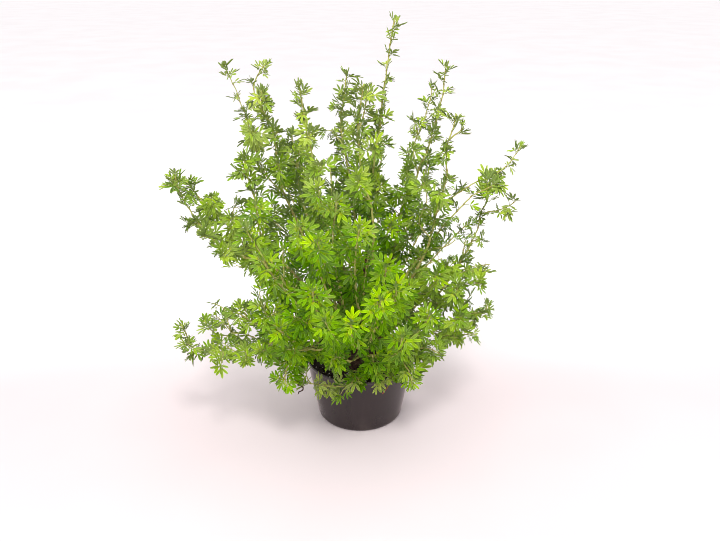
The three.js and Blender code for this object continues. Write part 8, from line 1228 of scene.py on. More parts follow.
class Look:
    """A small builder of one procedural material around a Principled shader."""

    def __init__(self, name, **sockets):
        self.mat = bpy.data.materials.new(name)
        self.mat.use_nodes = True
        self.tree = self.mat.node_tree
        self.tree.nodes.clear()
        self.out = self.tree.nodes.new("ShaderNodeOutputMaterial")
        self.shader = self.tree.nodes.new("ShaderNodeBsdfPrincipled")
        self.tree.links.new(self.shader.outputs[0], self.out.inputs[0])
        for k, v in sockets.items():
            self.shader.inputs[k.replace("_", " ")].default_value = v

    def put(self, socket, value):
        if hasattr(value, "default_value") or hasattr(value, "is_linked"):
            self.tree.links.new(value, socket)
        else:
            socket.default_value = value

    def node(self, kind, **props):
        n = self.tree.nodes.new("ShaderNode" + kind)
        for k, v in props.items():
            setattr(n, k, v)
        return n

    def attribute(self, name):
        return self.node("Attribute", attribute_name=name, attribute_type="GEOMETRY")

    def place(self):
        return self.node("TexCoord").outputs["Object"]

    def split(self, vector):
        n = self.node("SeparateXYZ")
        self.put(n.inputs[0], vector)
        return n.outputs

    def math(self, op, a, b=0.0, c=None, clamp=False):
        n = self.node("Math", operation=op, use_clamp=clamp)
        self.put(n.inputs[0], a)
        self.put(n.inputs[1], b)
        if c is not None:
            self.put(n.inputs[2], c)
        return n.outputs[0]

    def scaled(self, vector, by):
        n = self.node("VectorMath", operation="MULTIPLY")
        self.put(n.inputs[0], vector)
        n.inputs[1].default_value = by
        return n.outputs[0]

    def noise(self, vector, scale, detail=3.0, rough=0.55, distortion=0.0):
        n = self.node("TexNoise")
        self.put(n.inputs["Vector"], vector)
        n.inputs["Scale"].default_value = scale
        n.inputs["Detail"].default_value = detail
        n.inputs["Roughness"].default_value = rough
        n.inputs["Distortion"].default_value = distortion
        return n.outputs["Fac"]

    def cells(self, vector, scale, feature="F1", out="Distance"):
        n = self.node("TexVoronoi", feature=feature)
        self.put(n.inputs["Vector"], vector)
        n.inputs["Scale"].default_value = scale
        return n.outputs[out]

    def band(self, value, low, high, to_low=0.0, to_high=1.0, smooth=True):
        n = self.node("MapRange", interpolation_type="SMOOTHSTEP" if smooth else "LINEAR")
        self.put(n.inputs["Value"], value)
        n.inputs["From Min"].default_value = low
        n.inputs["From Max"].default_value = high
        n.inputs["To Min"].default_value = to_low
        n.inputs["To Max"].default_value = to_high
        return n.outputs["Result"]

    def ramp(self, value, stops, mode="EASE"):
        n = self.node("ValToRGB")
        n.color_ramp.interpolation = mode
        e = n.color_ramp.elements
        while len(e) > 1:
            e.remove(e[-1])
        e[0].position, e[0].color = stops[0][0], (*stops[0][1], 1.0)
        for p, c in stops[1:]:
            e.new(p).color = (*c, 1.0)
        self.put(n.inputs["Fac"], value)
        return n.outputs["Color"]

    def mix(self, amount, a, b, mode="MIX"):
        n = self.node("Mix", data_type="RGBA", blend_type=mode)
        n.clamp_factor = True
        self.put(n.inputs[0], amount)
        for socket, v in ((n.inputs[6], a), (n.inputs[7], b)):
            self.put(socket, (*v, 1.0) if isinstance(v, tuple) and len(v) == 3 else v)
        return n.outputs[2]

    def shift(self, colour, hue=0.5, saturation=1.0, value=1.0):
        n = self.node("HueSaturation")
        self.put(n.inputs["Hue"], hue)
        self.put(n.inputs["Saturation"], saturation)
        self.put(n.inputs["Value"], value)
        self.put(n.inputs["Color"], colour)
        return n.outputs["Color"]

    def bump(self, height, strength, distance):
        n = self.node("Bump")
        n.inputs["Strength"].default_value = strength
        n.inputs["Distance"].default_value = distance
        self.put(n.inputs["Height"], height)
        self.tree.links.new(n.outputs["Normal"], self.shader.inputs["Normal"])

    def finish(self, colour=None, roughness=None):
        if colour is not None:
            self.put(self.shader.inputs["Base Color"], colour)
        if roughness is not None:
            self.put(self.shader.inputs["Roughness"], roughness)
        return self.mat


# World: an evenly white room, a little dimmer low on the camera's side, where the photographer stands.
world = bpy.data.worlds.new("white_room")
scene.world = world
world.use_nodes = True
wt = world.node_tree
wt.nodes.clear()
w_out = wt.nodes.new("ShaderNodeOutputWorld")
w_bg = wt.nodes.new("ShaderNodeBackground")
w_co = wt.nodes.new("ShaderNodeTexCoord")
w_dot = wt.nodes.new("ShaderNodeVectorMath")
w_dot.operation = "DOT_PRODUCT"
w_dot.inputs[1].default_value = (0.0, -0.985, 0.17)
w_map = wt.nodes.new("ShaderNodeMapRange")
w_map.interpolation_type = "SMOOTHSTEP"
w_map.inputs["From Min"].default_value = 0.70
w_map.inputs["From Max"].default_value = 0.93
w_mix = wt.nodes.new("ShaderNodeMix")
w_mix.data_type = "RGBA"
w_mix.inputs[6].default_value = (0.985, 0.97, 0.978, 1)
w_mix.inputs[7].default_value = (0.26, 0.25, 0.255, 1)
wt.links.new(w_co.outputs["Generated"], w_dot.inputs[0])
wt.links.new(w_dot.outputs["Value"], w_map.inputs["Value"])
wt.links.new(w_map.outputs["Result"], w_mix.inputs[0])
wt.links.new(w_mix.outputs[2], w_bg.inputs["Color"])
w_bg.inputs["Strength"].default_value = 1.12
wt.links.new(w_bg.outputs[0], w_out.inputs[0])

# Floor: one large pale sheet, darker and pinker near the pot, where shade and its pink bounce light are painted in, and
# whiter further back, where painted light makes up for the lamps falling off.
floor_look = Look("pale_floor", Roughness=0.75)
f_xyz = floor_look.split(floor_look.place())
f_painted_shade_light = floor_look.band(f_xyz[1], 0.02, 0.40)
f_tone = floor_look.mix(f_painted_shade_light, (0.745, 0.655, 0.670), (0.97, 0.945, 0.955))
f_var = floor_look.noise(floor_look.place(), 3.0, 2.0)
f_tone = floor_look.mix(floor_look.band(f_var, 0.3, 0.7, 0.0, 0.25), f_tone, (0.84, 0.78, 0.79))
floor_look.finish(f_tone)
floor_mesh = bpy.data.meshes.new("floor")
N = 24
fx = np.linspace(-14, 14, N + 1)
floor_mesh.from_pydata(
    [(x, y, 0.0) for y in fx for x in fx],
    [],
    [(j * (N + 1) + i, j * (N + 1) + i + 1, (j + 1) * (N + 1) + i + 1, (j + 1) * (N + 1) + i) for j in range(N) for i in range(N)],
)
floor = bpy.data.objects.new("floor", floor_mesh)
floor_mesh.materials.append(floor_look.mat)
scene.collection.objects.link(floor)
floor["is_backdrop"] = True


# ---------------------------------------------------------------- mesh helpers
def unit(v):
    v = np.asarray(v, float)
    return v / np.maximum(np.linalg.norm(v, axis=-1, keepdims=True), 1e-9)


class Soup:
    """Collects closed bodies, in millimetres, for one piece."""

    def __init__(self):
        self.co, self.quads, self.tris = [], [], []
        self.qm, self.tm, self.qu, self.tu = [], [], [], []
        self.a, self.b, self.margin = [], [], []
        self.n = 0

    def add(self, co, quads, tris, a, b, margin=None, under_q=None, under_t=None, slot=0):
        """co (...,3); quads and tris index co; a and b are per-vertex triples."""
        co = np.asarray(co, float).reshape(-1, 3)
        k = len(co)
        quads = np.asarray(quads, np.int64).reshape(-1, 4)
        tris = np.asarray(tris, np.int64).reshape(-1, 3)
        self.co.append(co)
        self.quads.append(quads + self.n)
        self.tris.append(tris + self.n)
        self.qm.append(np.full(len(quads), slot))
        self.tm.append(np.full(len(tris), slot))
        self.qu.append(np.zeros(len(quads)) if under_q is None else np.asarray(under_q, float).ravel())
        self.tu.append(np.zeros(len(tris)) if under_t is None else np.asarray(under_t, float).ravel())
        self.a.append(np.broadcast_to(np.asarray(a, float), (k, 3)) if np.ndim(a) < 2 else np.asarray(a, float).reshape(-1, 3))
        self.b.append(np.broadcast_to(np.asarray(b, float), (k, 3)) if np.ndim(b) < 2 else np.asarray(b, float).reshape(-1, 3))
        self.margin.append(np.zeros(k, bool) if margin is None else np.asarray(margin, bool).ravel())
        self.n += k

    def build(self, name, mats, slot, replaced=()):
        co = np.concatenate(self.co) * MM
        quads, tris = np.concatenate(self.quads), np.concatenate(self.tris)
        me = bpy.data.meshes.new(name)
        me.vertices.add(len(co))
        me.vertices.foreach_set("co", co.astype(np.float32).ravel())
        loops = np.concatenate([quads.ravel(), tris.ravel()]).astype(np.int32)
        me.loops.add(len(loops))
        me.loops.foreach_set("vertex_index", loops)
        me.polygons.add(len(quads) + len(tris))
        starts = np.concatenate([np.arange(len(quads)) * 4, len(quads) * 4 + np.arange(len(tris)) * 3]).astype(np.int32)
        me.polygons.foreach_set("loop_start", starts)
        me.update(calc_edges=True)
        for m in mats:
            me.materials.append(m)
        me.polygons.foreach_set("material_index", np.concatenate([*self.qm, *self.tm]).astype(np.int32))
        me.polygons.foreach_set("use_smooth", np.ones(len(me.polygons), bool))
        for label, data in (("tone_a", self.a), ("tone_b", self.b)):
            at = me.attributes.new(label, "FLOAT_VECTOR", "POINT")
            at.data.foreach_set("vector", np.concatenate(data).astype(np.float32).ravel())
        under = np.concatenate([*self.qu, *self.tu])
        if under.any():
            at = me.attributes.new("underside", "FLOAT", "FACE")
            at.data.foreach_set("value", under.astype(np.float32))
        margin = np.concatenate(self.margin)
        if margin.any():
            edges = np.empty(len(me.edges) * 2, np.int32)
            me.edges.foreach_get("vertices", edges)
            edges = edges.reshape(-1, 2)
            at = me.attributes.new("sharp_edge", "BOOLEAN", "EDGE")
            at.data.foreach_set("value", margin[edges].all(1))
        me.update()
        o = bpy.data.objects.new(name, me)
        scene.collection.objects.link(o)
        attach(o, "root")
        if replaced:
            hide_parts(*replaced)
        return o


def tube_faces(rings, sides):
    """Quads along a tube and triangles of its two end caps (each round a middle point that comes last)."""
    k = np.arange(sides)
    q = []
    for i in range(rings - 1):
        a, b = i * sides, (i + 1) * sides
        q.append(np.stack([a + k, a + (k + 1) % sides, b + (k + 1) % sides, b + k], 1))
    first, last, m = 0, (rings - 1) * sides, rings * sides
    t = [
        np.stack([np.full(sides, m), first + (k + 1) % sides, first + k], 1),
        np.stack([last + k, last + (k + 1) % sides, np.full(sides, m + 1)], 1),
    ]
    return np.concatenate(q), np.concatenate(t)


def grown_frames(q):
    """Tangents and a twist-free pair of cross directions along a centre line."""
    t = np.zeros_like(q)
    t[1:-1] = q[2:] - q[:-2]
    t[0], t[-1] = q[1] - q[0], q[-1] - q[-2]
    t = unit(t)
    u = np.array([1.0, 0.0, 0.0])
    if abs(u @ t[0]) > 0.9:
        u = np.array([0.0, 1.0, 0.0])
    us = []
    for d in t:
        u = unit(u - d * (u @ d))
        us.append(u)
    us = np.array(us)
    return t, us, np.cross(t, us)


def halved(q):
    """The centre line with a smooth point put between each two."""
    p = np.vstack([2 * q[0] - q[1], q, 2 * q[-1] - q[-2]])
    mid = (-p[:-3] + 9 * p[1:-2] + 9 * p[2:-1] - p[3:]) / 16
    out = np.empty((2 * len(q) - 1, 3))
    out[0::2], out[1::2] = q, mid
    return out


class Shoot:
    def __init__(self, name, stem, leaf, kind, line, leaves):
        self.name, self.stem, self.leaf, self.kind = name, stem, leaf, kind
        self.q = np.array(line, float).reshape(-1, 3) / 10
        self.rows = np.array(leaves, float).reshape(-1, 7) * np.array([0.1, 1, 1, 0.1, 1, 0.01, 0.01])
        self.cum = np.concatenate([[0], np.cumsum(np.linalg.norm(np.diff(self.q, axis=0), axis=1))])
        self.length = self.cum[-1]
        self.t, self.u, self.v = grown_frames(self.q)
        self.r0 = (min(2.6, 1.2 + self.length / 270), 1.15, 0.85)[kind]
        self.r1 = (0.78, 0.55, 0.42)[kind]

    def radius(self, d):
        return self.r1 + (self.r0 - self.r1) * (1 - np.clip(d, 0, self.length) / self.length) ** 1.25

    def at(self, d):
        d = min(max(d, 0.0), self.length)
        i = min(max(int(np.searchsorted(self.cum, d)) - 1, 0), len(self.q) - 2)
        k = (d - self.cum[i]) / max(self.cum[i + 1] - self.cum[i], 1e-9)
        pick = lambda m: m[i] * (1 - k) + m[i + 1] * k
        return pick(self.q), unit(pick(self.t)), unit(pick(self.u)), unit(pick(self.v))


shoots = [Shoot(*row) for row in SHOOTS]


# ---------------------------------------------------------------- stems
def add_stem(soup, sh):
    q = halved(sh.q) if sh.kind < 2 else halved(halved(sh.q))
    cum = np.concatenate([[0], np.cumsum(np.linalg.norm(np.diff(q, axis=0), axis=1))])
    length = cum[-1]
    nodes, last = [], -99.0
    for s in sorted(sh.rows[:, 0]) if len(sh.rows) else ():
        if s - last > 5.0 and 3 < s < length - 2:
            nodes.append(s)
            last = s
    stations = {round(float(s), 2): 0.0 for s in np.linspace(0, length, max(4, int(length / 5.0) + 1))}
    for s in nodes:
        for off, k in ((-1.9, 0.0), (-0.6, 1.0), (0.7, 0.8), (2.2, 0.0)):
            stations[round(float(min(max(s + off, 0.0), length)), 2)] = k
    keys = sorted(stations)
    kept = [keys[0]]
    for s in keys[1:]:
        if s - kept[-1] < 0.45:
            if stations[s] > stations[kept[-1]]:
                kept[-1] = s
            continue
        kept.append(s)
    s = np.array(kept)
    swell = np.array([stations[x] for x in kept])
    c = np.stack([np.interp(s, cum, q[:, i]) for i in range(3)], 1)
    t, u, v = grown_frames(c)
    sides = (8, 6, 5)[sh.kind]
    r = sh.radius(s) * (1 + 0.30 * swell * np.clip(1.5 / np.maximum(sh.radius(s), 0.4), 0.25, 1.0))
    phase = rng.uniform(0, 6.28)
    a = 2 * np.pi * np.arange(sides) / sides
    wob = 1 + 0.07 * np.sin(3 * a[None, :] + phase + s[:, None] * 0.05) * np.clip((sh.radius(s)[:, None] - 0.8) / 1.2, 0.2, 1)
    # a slight bend at each node, as new growth sets off sideways
    zig = 0.22 * np.sin(s * 0.55 + phase)[:, None] * u + 0.22 * np.cos(s * 0.41 + phase)[:, None] * v
    zig *= np.clip(np.minimum(s, length - s) / 10, 0, 1)[:, None]
    co = (c + zig)[:, None] + (np.cos(a)[None, :, None] * u[:, None] + np.sin(a)[None, :, None] * v[:, None]) * (r[:, None] * wob)[..., None]
    ends = np.stack([c[0] - t[0] * r[0] * 0.4, c[-1] + t[-1] * r[-1] * 0.8])
    quads, tris = tube_faces(len(s), sides)
    from_tip = length - s
    grown = sh.length + (0, 60, 20)[sh.kind]
    age = np.clip(1 - (from_tip + (0, 25, 15)[sh.kind]) / 340, 0, 1)
    tone = np.zeros((len(s), sides, 3))
    tone[..., 0] = age[:, None]
    tone[..., 1] = swell[:, None]
    tone[..., 2] = np.abs(((a / (2 * np.pi)) * 2) % 2 - 1)[None, :]
    other = np.zeros((len(s), sides, 3))
    other[..., 0] = (s * 0.01)[:, None]
    other[..., 1] = rng.uniform(0, 1)
    other[..., 2] = np.clip(c[:, 2] / 600, 0, 1)[:, None]
    cap = lambda m: np.concatenate([m.reshape(-1, 3), m[0, :1], m[-1, :1]])
    soup.add(np.concatenate([co.reshape(-1, 3), ends]), quads, tris, cap(tone), cap(other))


# ---------------------------------------------------------------- leaves
ANGLE = np.radians([0.0, 42.0, -42.0, 76.0, -76.0])
REACH = np.array([1.0, 0.94, 0.94, 0.78, 0.78])
SET_BACK = np.array([0.0, 0.04, 0.04, 0.26, 0.26])


def leaflet_frames(sh, rows):
    """Where each leaf's stalk runs, and each of its five leaflets' origin, direction, upper-side normal and length."""
    k = len(rows)
    p, t, u, v = (np.empty((k, 3)) for _ in range(4))
    for i, s in enumerate(rows[:, 0]):
        p[i], t[i], u[i], v[i] = sh.at(s)
    az, el, roll = (np.radians(rows[:, i])[:, None] for i in (1, 2, 4))
    size, fold, stalk = rows[:, 3], rows[:, 5], rows[:, 6]
    size = size * 1.19
    o = np.cos(az) * u + np.sin(az) * v
    p0 = unit(o * math.cos(0.9) + t * math.sin(0.9))
    b = unit(o * np.cos(el) + t * np.sin(el))
    run = (stalk * size)[:, None]
    base = p + o * sh.radius(rows[:, 0])[:, None] * 0.8
    knee = base + p0 * run * 0.45
    end = knee + b * run * 0.6
    n = unit(0.55 * t + 0.75 * UP + 0.12 * np.array([0, -1, 0]) - 0.15 * o)
    n = n - b * (n * b).sum(-1, keepdims=True)
    weak = np.linalg.norm(n, axis=-1) < 0.15
    n[weak] = (t - b * (b * t).sum(-1, keepdims=True))[weak]
    n = unit(n)
    side = np.cross(n, b)
    n, side = n * np.cos(roll) + side * np.sin(roll), side * np.cos(roll) - n * np.sin(roll)
    th = ANGLE[None] * (1 - 0.35 * fold)[:, None]
    lift = (0.10 + 0.55 * fold)[:, None] * np.where(ANGLE != 0, 1.0, 0.6)[None]
    d = unit(b[:, None] * np.cos(th)[..., None] + side[:, None] * np.sin(th)[..., None] + n[:, None] * lift[..., None])
    org = end[:, None] - b[:, None] * (SET_BACK[None] * size[:, None])[..., None]
    nn = unit(n[:, None] - d * (n[:, None] * d).sum(-1, keepdims=True))
    return base, knee, end, org, d, nn, size[:, None] * REACH[None]


ALONG = np.array([0.14, 0.38, 0.64, 0.88])
WIDE = np.array([0.40, 0.86, 1.00, 0.72])
# cross sections: place across (share of the half width), height (share of the half width), thickness side
FULL = np.array([(1.0, 0.30, 0.0), (0.55, 0.27, 0.5), (0.0, -0.10, 0.7), (-0.55, 0.27, 0.5), (-1.0, 0.30, 0.0), (0.0, -0.18, -0.8)])
PLAIN = np.array([(1.0, 0.32, 0.0), (0.0, -0.08, 0.7), (-1.0, 0.32, 0.0), (0.0, -0.18, -0.8)])


def body_faces(points, rings=4):
    k = np.arange(points)
    q = [np.stack([i * points + k, i * points + (k + 1) % points, (i + 1) * points + (k + 1) % points, (i + 1) * points + k], 1) for i in range(rings - 1)]
    base, tip, last = rings * points, rings * points + 1, (rings - 1) * points
    t = [np.stack([np.full(points, base), (k + 1) % points, k], 1), np.stack([last + k, last + (k + 1) % points, np.full(points, tip)], 1)]
    under = (k >= points - 2).astype(float)
    return np.concatenate(q), np.concatenate(t), np.tile(under, rings - 1), np.tile(under, 2)


def add_leaflets(soup, ks, org, d, nn, size, section, tone, vary):
    """org, d, nn (M,3), size (M,), tone (M,3) = age with painted shade, random, olive tint with painted light; vary
    (M,4) = width, bend, twist, sideways sweep.
    """
    m = len(org)
    if not m:
        return
    points, rings = len(section), len(ks)
    along, wide = ALONG[list(ks)], WIDE[list(ks)]
    ss = np.cross(nn, d)
    x = along[None, :]
    width = 0.5 * 0.262 * size[:, None] * wide[None] * vary[:, 0:1]
    bend = vary[:, 1:2]
    mid = (
        org[:, None]
        + d[:, None] * (size[:, None] * x)[..., None]
        + nn[:, None] * (bend * size[:, None] * x * x)[..., None]
        + ss[:, None] * (vary[:, 3:4] * size[:, None] * x * x)[..., None]
    )
    tw = vary[:, 2:3] * x
    s_dir = ss[:, None] * np.cos(tw)[..., None] + nn[:, None] * np.sin(tw)[..., None]
    n_dir = nn[:, None] * np.cos(tw)[..., None] - ss[:, None] * np.sin(tw)[..., None]
    thick = 0.13
    co = (
        mid[:, :, None]
        + s_dir[:, :, None] * (width[..., None] * section[None, None, :, 0])[..., None]
        + n_dir[:, :, None] * (width[..., None] * section[None, None, :, 1] + thick * section[None, None, :, 2])[..., None]
    ).reshape(m, -1, 3)
    base = org - d * (0.01 * size[:, None])
    tip = org + d * size[:, None] + nn * (vary[:, 1:2] * size[:, None]) + ss * (vary[:, 3:4] * size[:, None])
    co = np.concatenate([co, base[:, None], tip[:, None]], 1)
    per = co.shape[1]
    quads, tris, uq, ut = body_faces(points, rings)
    step = (np.arange(m) * per)[:, None, None]
    a = np.zeros((m, per, 3))
    a[:, :-2, 0] = np.tile(section[:, 0], rings)[None]
    a[:, :-2, 1] = np.repeat(along, points)[None]
    a[:, -1, 1] = 1.0
    a[..., 2] = tone[:, 1:2]
    b = np.zeros((m, per, 3))
    b[..., 0], b[..., 1] = tone[:, 0:1], tone[:, 2:3]
    b[..., 2] = rng.uniform(0, 1, (m, 1))
    margin = np.zeros((m, per), bool)
    margin[:, :-2] = np.tile(np.abs(section[:, 0]) > 0.99, rings)[None]
    margin[:, -2:] = True
    soup.add(co, quads[None] + step, tris[None] + step, a.reshape(-1, 3), b.reshape(-1, 3), margin, np.tile(uq, m), np.tile(ut, m))


def add_stalks(soup, base, knee, end, r_base, tone):
    """Curved leaf stalks, three-sided, running on as the short axis between the leaflets."""
    m = len(base)
    if not m:
        return
    x = np.array([0.0, 0.5, 1.0])
    c = base[:, None] * ((1 - x) ** 2)[None, :, None] + knee[:, None] * (2 * x * (1 - x))[None, :, None] + end[:, None] * (x * x)[None, :, None]
    c[:, 0] = base
    t = unit(np.gradient(c, axis=1))
    ref = np.where(np.abs(t @ UP)[..., None] > 0.9, np.array([1.0, 0, 0]), UP)
    u = unit(np.cross(t, ref))
    v = np.cross(t, u)
    r = np.array([0.42, 0.29, 0.22])[None, :] * r_base[:, None]
    a = 2 * np.pi * np.arange(3) / 3
    co = c[:, :, None] + (np.cos(a)[None, None, :, None] * u[:, :, None] + np.sin(a)[None, None, :, None] * v[:, :, None]) * r[:, :, None, None]
    co = np.concatenate([co.reshape(m, -1, 3), c[:, 0][:, None], c[:, -1][:, None]], 1)
    quads, tris = tube_faces(3, 3)
    step = (np.arange(m) * co.shape[1])[:, None, None]
    aa = np.zeros((m, co.shape[1], 3))
    aa[..., 1] = 0.05
    aa[..., 2] = tone[:, 1:2]
    b = np.zeros_like(aa)
    b[..., 0], b[..., 1], b[..., 2] = tone[:, 0:1], tone[:, 2:3], 0.5
    soup.add(co, quads[None] + step, tris[None] + step, aa.reshape(-1, 3), b.reshape(-1, 3), slot=1)


# Young shoots carry yellower leaves than older ones; the fresh set, young shoots that are also well lit, gets lighter
# greens, partly painted light.
FRESH_AND_LIT = set("AU BC BF AY AZ BA AS U T R O K L2 I AH AV AM AO L V BI W2 C2 R2 Q4 P BB".split())
OLIVE = set("A B H G AA AE E F I J K AB AC AD AF AG AK AL AM BM BL BW BZ CA CB CC CD BN BO BP BQ BU".split())
DULL = set("W x0 x3".split())

everything = []
for sh in shoots:
    if not len(sh.rows):
        continue
    base, knee, end, org, d, nn, size = leaflet_frames(sh, sh.rows)
    everything.append([sh, base, knee, end, org, d, nn, size])
centres = np.concatenate([e[4][:, 0] for e in everything])
heart = np.array([0.0, 0.0, 210.0])
# how near the outside of the plant each leaf lies, against the furthest leaves in about the same direction; it sets the
# leaflet detail and the painted shade on inner leaves
rel = centres - heart
dist = np.linalg.norm(rel * np.array([1, 1, 0.8]), axis=1)
way = unit(rel)
near = (way @ way.T) > 0.955
reach = np.array([np.quantile(dist[near[i]], 0.93) for i in range(len(dist))])
openness = np.clip(dist / np.maximum(reach, 1), 0, 1.1) / 1.1
start = 0
leaf_soups = {}
counts = {"full": 0, "plain": 0}
for sh, base, knee, end, org, d, nn, size in everything:
    k = len(sh.rows)
    op = openness[start : start + k]
    start += k
    from_tip = sh.length - sh.rows[:, 0]
    young = np.exp(-np.maximum(from_tip - 4, 0) / 42.0)
    lift = 0.13 if sh.name in FRESH_AND_LIT else (-0.10 if sh.name in DULL else 0.0)
    # age also carries painted shade: the lower a leaf's openness, the darker the green painted on it.
    age = np.clip(0.36 + 0.18 * young + lift * (0.4 + 0.6 * young) + 0.26 * (op - 0.60) + rng.normal(0, 0.11, k), 0, 1)
    # The olive tint below also carries painted light: leaves at the top, the sides and the lower right of the plant are
    # painted yellower and brighter.
    at_edge = np.maximum(np.clip((end[:, 2] - 300) / 190, 0, 1), 0.65 * np.clip((np.abs(end[:, 0]) - 80) / 90, 0, 1))
    at_edge = np.maximum(at_edge, 0.62 * np.clip((end[:, 0] - 15) / 80, 0, 1) * np.clip((290 - end[:, 2]) / 120, 0, 1))
    olive_and_painted_light = np.clip((0.95 if sh.name in DULL else 0.0) + at_edge * 0.85 + (0.15 if sh.name in OLIVE else 0.0) + rng.normal(0, 0.08, k), 0, 1)
    tone = np.stack([age, rng.uniform(0, 1, k), olive_and_painted_light], 1)
    soup = leaf_soups.setdefault(sh.leaf, Soup())
    vary = np.stack(
        [rng.uniform(0.88, 1.12, (k, 5)) * (1.0 + 0.05 * at_edge[:, None]), rng.uniform(-0.20, -0.04, (k, 5)) + 0.10 * at_edge[:, None], rng.normal(0, 0.34, (k, 5)), rng.normal(0, 0.03, (k, 5))], -1
    )
    rich = (op > 0.82) & (sh.rows[:, 3] > 10.3) & (end[:, 1] < 60)
    counts["full"] += int(rich.sum()) * 5
    counts["plain"] += int((~rich).sum()) * 5
    five = lambda m: np.repeat(m[:, None], 5, 1)
    inner = (op < 0.68) & ~rich
    for pick, section, ks in ((rich, FULL, (0, 1, 2, 3)), (~rich & ~inner, PLAIN, (0, 1, 2, 3)), (inner, PLAIN, (0, 2, 3))):
        add_leaflets(
            soup,
            ks,
            org[pick].reshape(-1, 3),
            d[pick].reshape(-1, 3),
            nn[pick].reshape(-1, 3),
            size[pick].reshape(-1),
            section,
            five(tone[pick]).reshape(-1, 3),
            vary[pick].reshape(-1, 4),
        )
    add_stalks(soup, base, knee, end, np.ones(k), tone)
print("leaflets", counts)

stem_soups = {}
for sh in shoots:
    add_stem(stem_soups.setdefault(sh.stem, Soup()), sh)

# ---------------------------------------------------------------- leaf and stem materials
leaf = Look("cinquefoil_leaf", Specular_IOR_Level=0.04)
la = leaf.split(leaf.attribute("tone_a").outputs["Vector"])
lb = leaf.split(leaf.attribute("tone_b").outputs["Vector"])
under = leaf.attribute("underside").outputs["Fac"]
across = leaf.math("ABSOLUTE", la[0])
pos = leaf.place()
mottle = leaf.noise(pos, 420.0, 3.0, 0.6)
# The first tone_b channel is the leaf's age with painted shade: leaves deep inside the plant take the darker greens.
green = leaf.ramp(
    lb[0],
    [(0.0, (0.022, 0.064, 0.002)), (0.25, (0.046, 0.128, 0.002)), (0.5, (0.088, 0.208, 0.002)), (0.75, (0.146, 0.292, 0.003)), (1.0, (0.215, 0.372, 0.006))],
    "LINEAR",
)
# The second tone_b channel is the olive tint with painted light: outer leaves are mixed towards olive and made up to
# 1.17 times brighter.
green = leaf.mix(leaf.math("MULTIPLY", lb[1], 0.66), green, (0.285, 0.345, 0.062))
green = leaf.shift(
    green,
    hue=leaf.band(la[2], 0.0, 1.0, 0.486, 0.510, smooth=False),
    saturation=leaf.band(lb[2], 0.0, 1.0, 0.90, 1.06, smooth=False),
    value=leaf.math(
        "MULTIPLY",
        leaf.math("ADD", leaf.band(la[2], 0.0, 1.0, 1.16, 0.74, smooth=False), leaf.band(lb[2], 0.0, 1.0, -0.20, 0.18, smooth=False)),
        leaf.band(lb[1], 0.0, 1.0, 1.0, 1.17, smooth=False),
    ),
)
# the youngest leaves are yellow where their leaflets meet
heart = leaf.math("MULTIPLY", leaf.band(la[1], 0.38, 0.0), leaf.band(lb[0], 0.50, 0.80))
green = leaf.mix(leaf.math("MULTIPLY", heart, 0.6), green, (0.43, 0.43, 0.02))
green = leaf.mix(leaf.band(mottle, 0.35, 0.70, 0.0, 0.30), green, leaf.shift(green, value=0.72))
vein = leaf.math("SINE", leaf.math("ADD", leaf.math("MULTIPLY", la[1], 42.0), leaf.math("MULTIPLY", across, -9.0)))
vein = leaf.math("MULTIPLY", leaf.band(vein, 0.55, 1.0), leaf.band(across, 0.95, 0.6))
midrib = leaf.band(across, 0.20, 0.03)
# A pale tone for midrib, veins and margins; along the margins it is partly the leaflets' own pale edge and partly a
# painted highlight.
pale = leaf.shift(green, saturation=1.03, value=2.10)
pale = leaf.mix(leaf.math("MULTIPLY", lb[1], 0.45), pale, (0.46, 0.53, 0.20))
top = leaf.mix(leaf.math("MULTIPLY", midrib, 0.62), green, pale)
top = leaf.mix(leaf.math("MULTIPLY", vein, 0.14), top, pale)
# Margins: partly the leaflets' own pale edge, partly a painted highlight.
top = leaf.mix(leaf.band(across, 0.46, 0.82, 0.0, 0.98), top, pale)
back = leaf.mix(0.45, leaf.shift(green, saturation=0.80, value=1.0), (0.185, 0.275, 0.050))
back = leaf.mix(leaf.math("MULTIPLY", midrib, 0.5), back, (0.36, 0.47, 0.18))
colour = leaf.mix(under, top, back)
leaf.bump(leaf.math("ADD", leaf.math("MULTIPLY", vein, -0.4), leaf.math("MULTIPLY", mottle, 0.6)), 0.25, 0.00025)
leaf_mat = leaf.finish(colour, leaf.math("ADD", leaf.band(mottle, 0.3, 0.7, 0.40, 0.54), leaf.math("MULTIPLY", under, 0.2)))

stalk = Look("leaf_stalk", Specular_IOR_Level=0.3)
sb = stalk.split(stalk.attribute("tone_b").outputs["Vector"])
sn = stalk.noise(stalk.place(), 700.0, 2.0)
# The first tone_b channel is the leaf's age with painted shade, so stalks deep inside the plant are darker too.
stalk_c = stalk.ramp(sb[0], [(0.0, (0.10, 0.16, 0.03)), (0.5, (0.24, 0.36, 0.06)), (1.0, (0.42, 0.52, 0.12))])
stalk_c = stalk.mix(stalk.band(sn, 0.42, 0.75, 0.0, 0.5), stalk_c, (0.36, 0.20, 0.09))
stalk_mat = stalk.finish(stalk_c, stalk.band(sn, 0.3, 0.7, 0.5, 0.65))

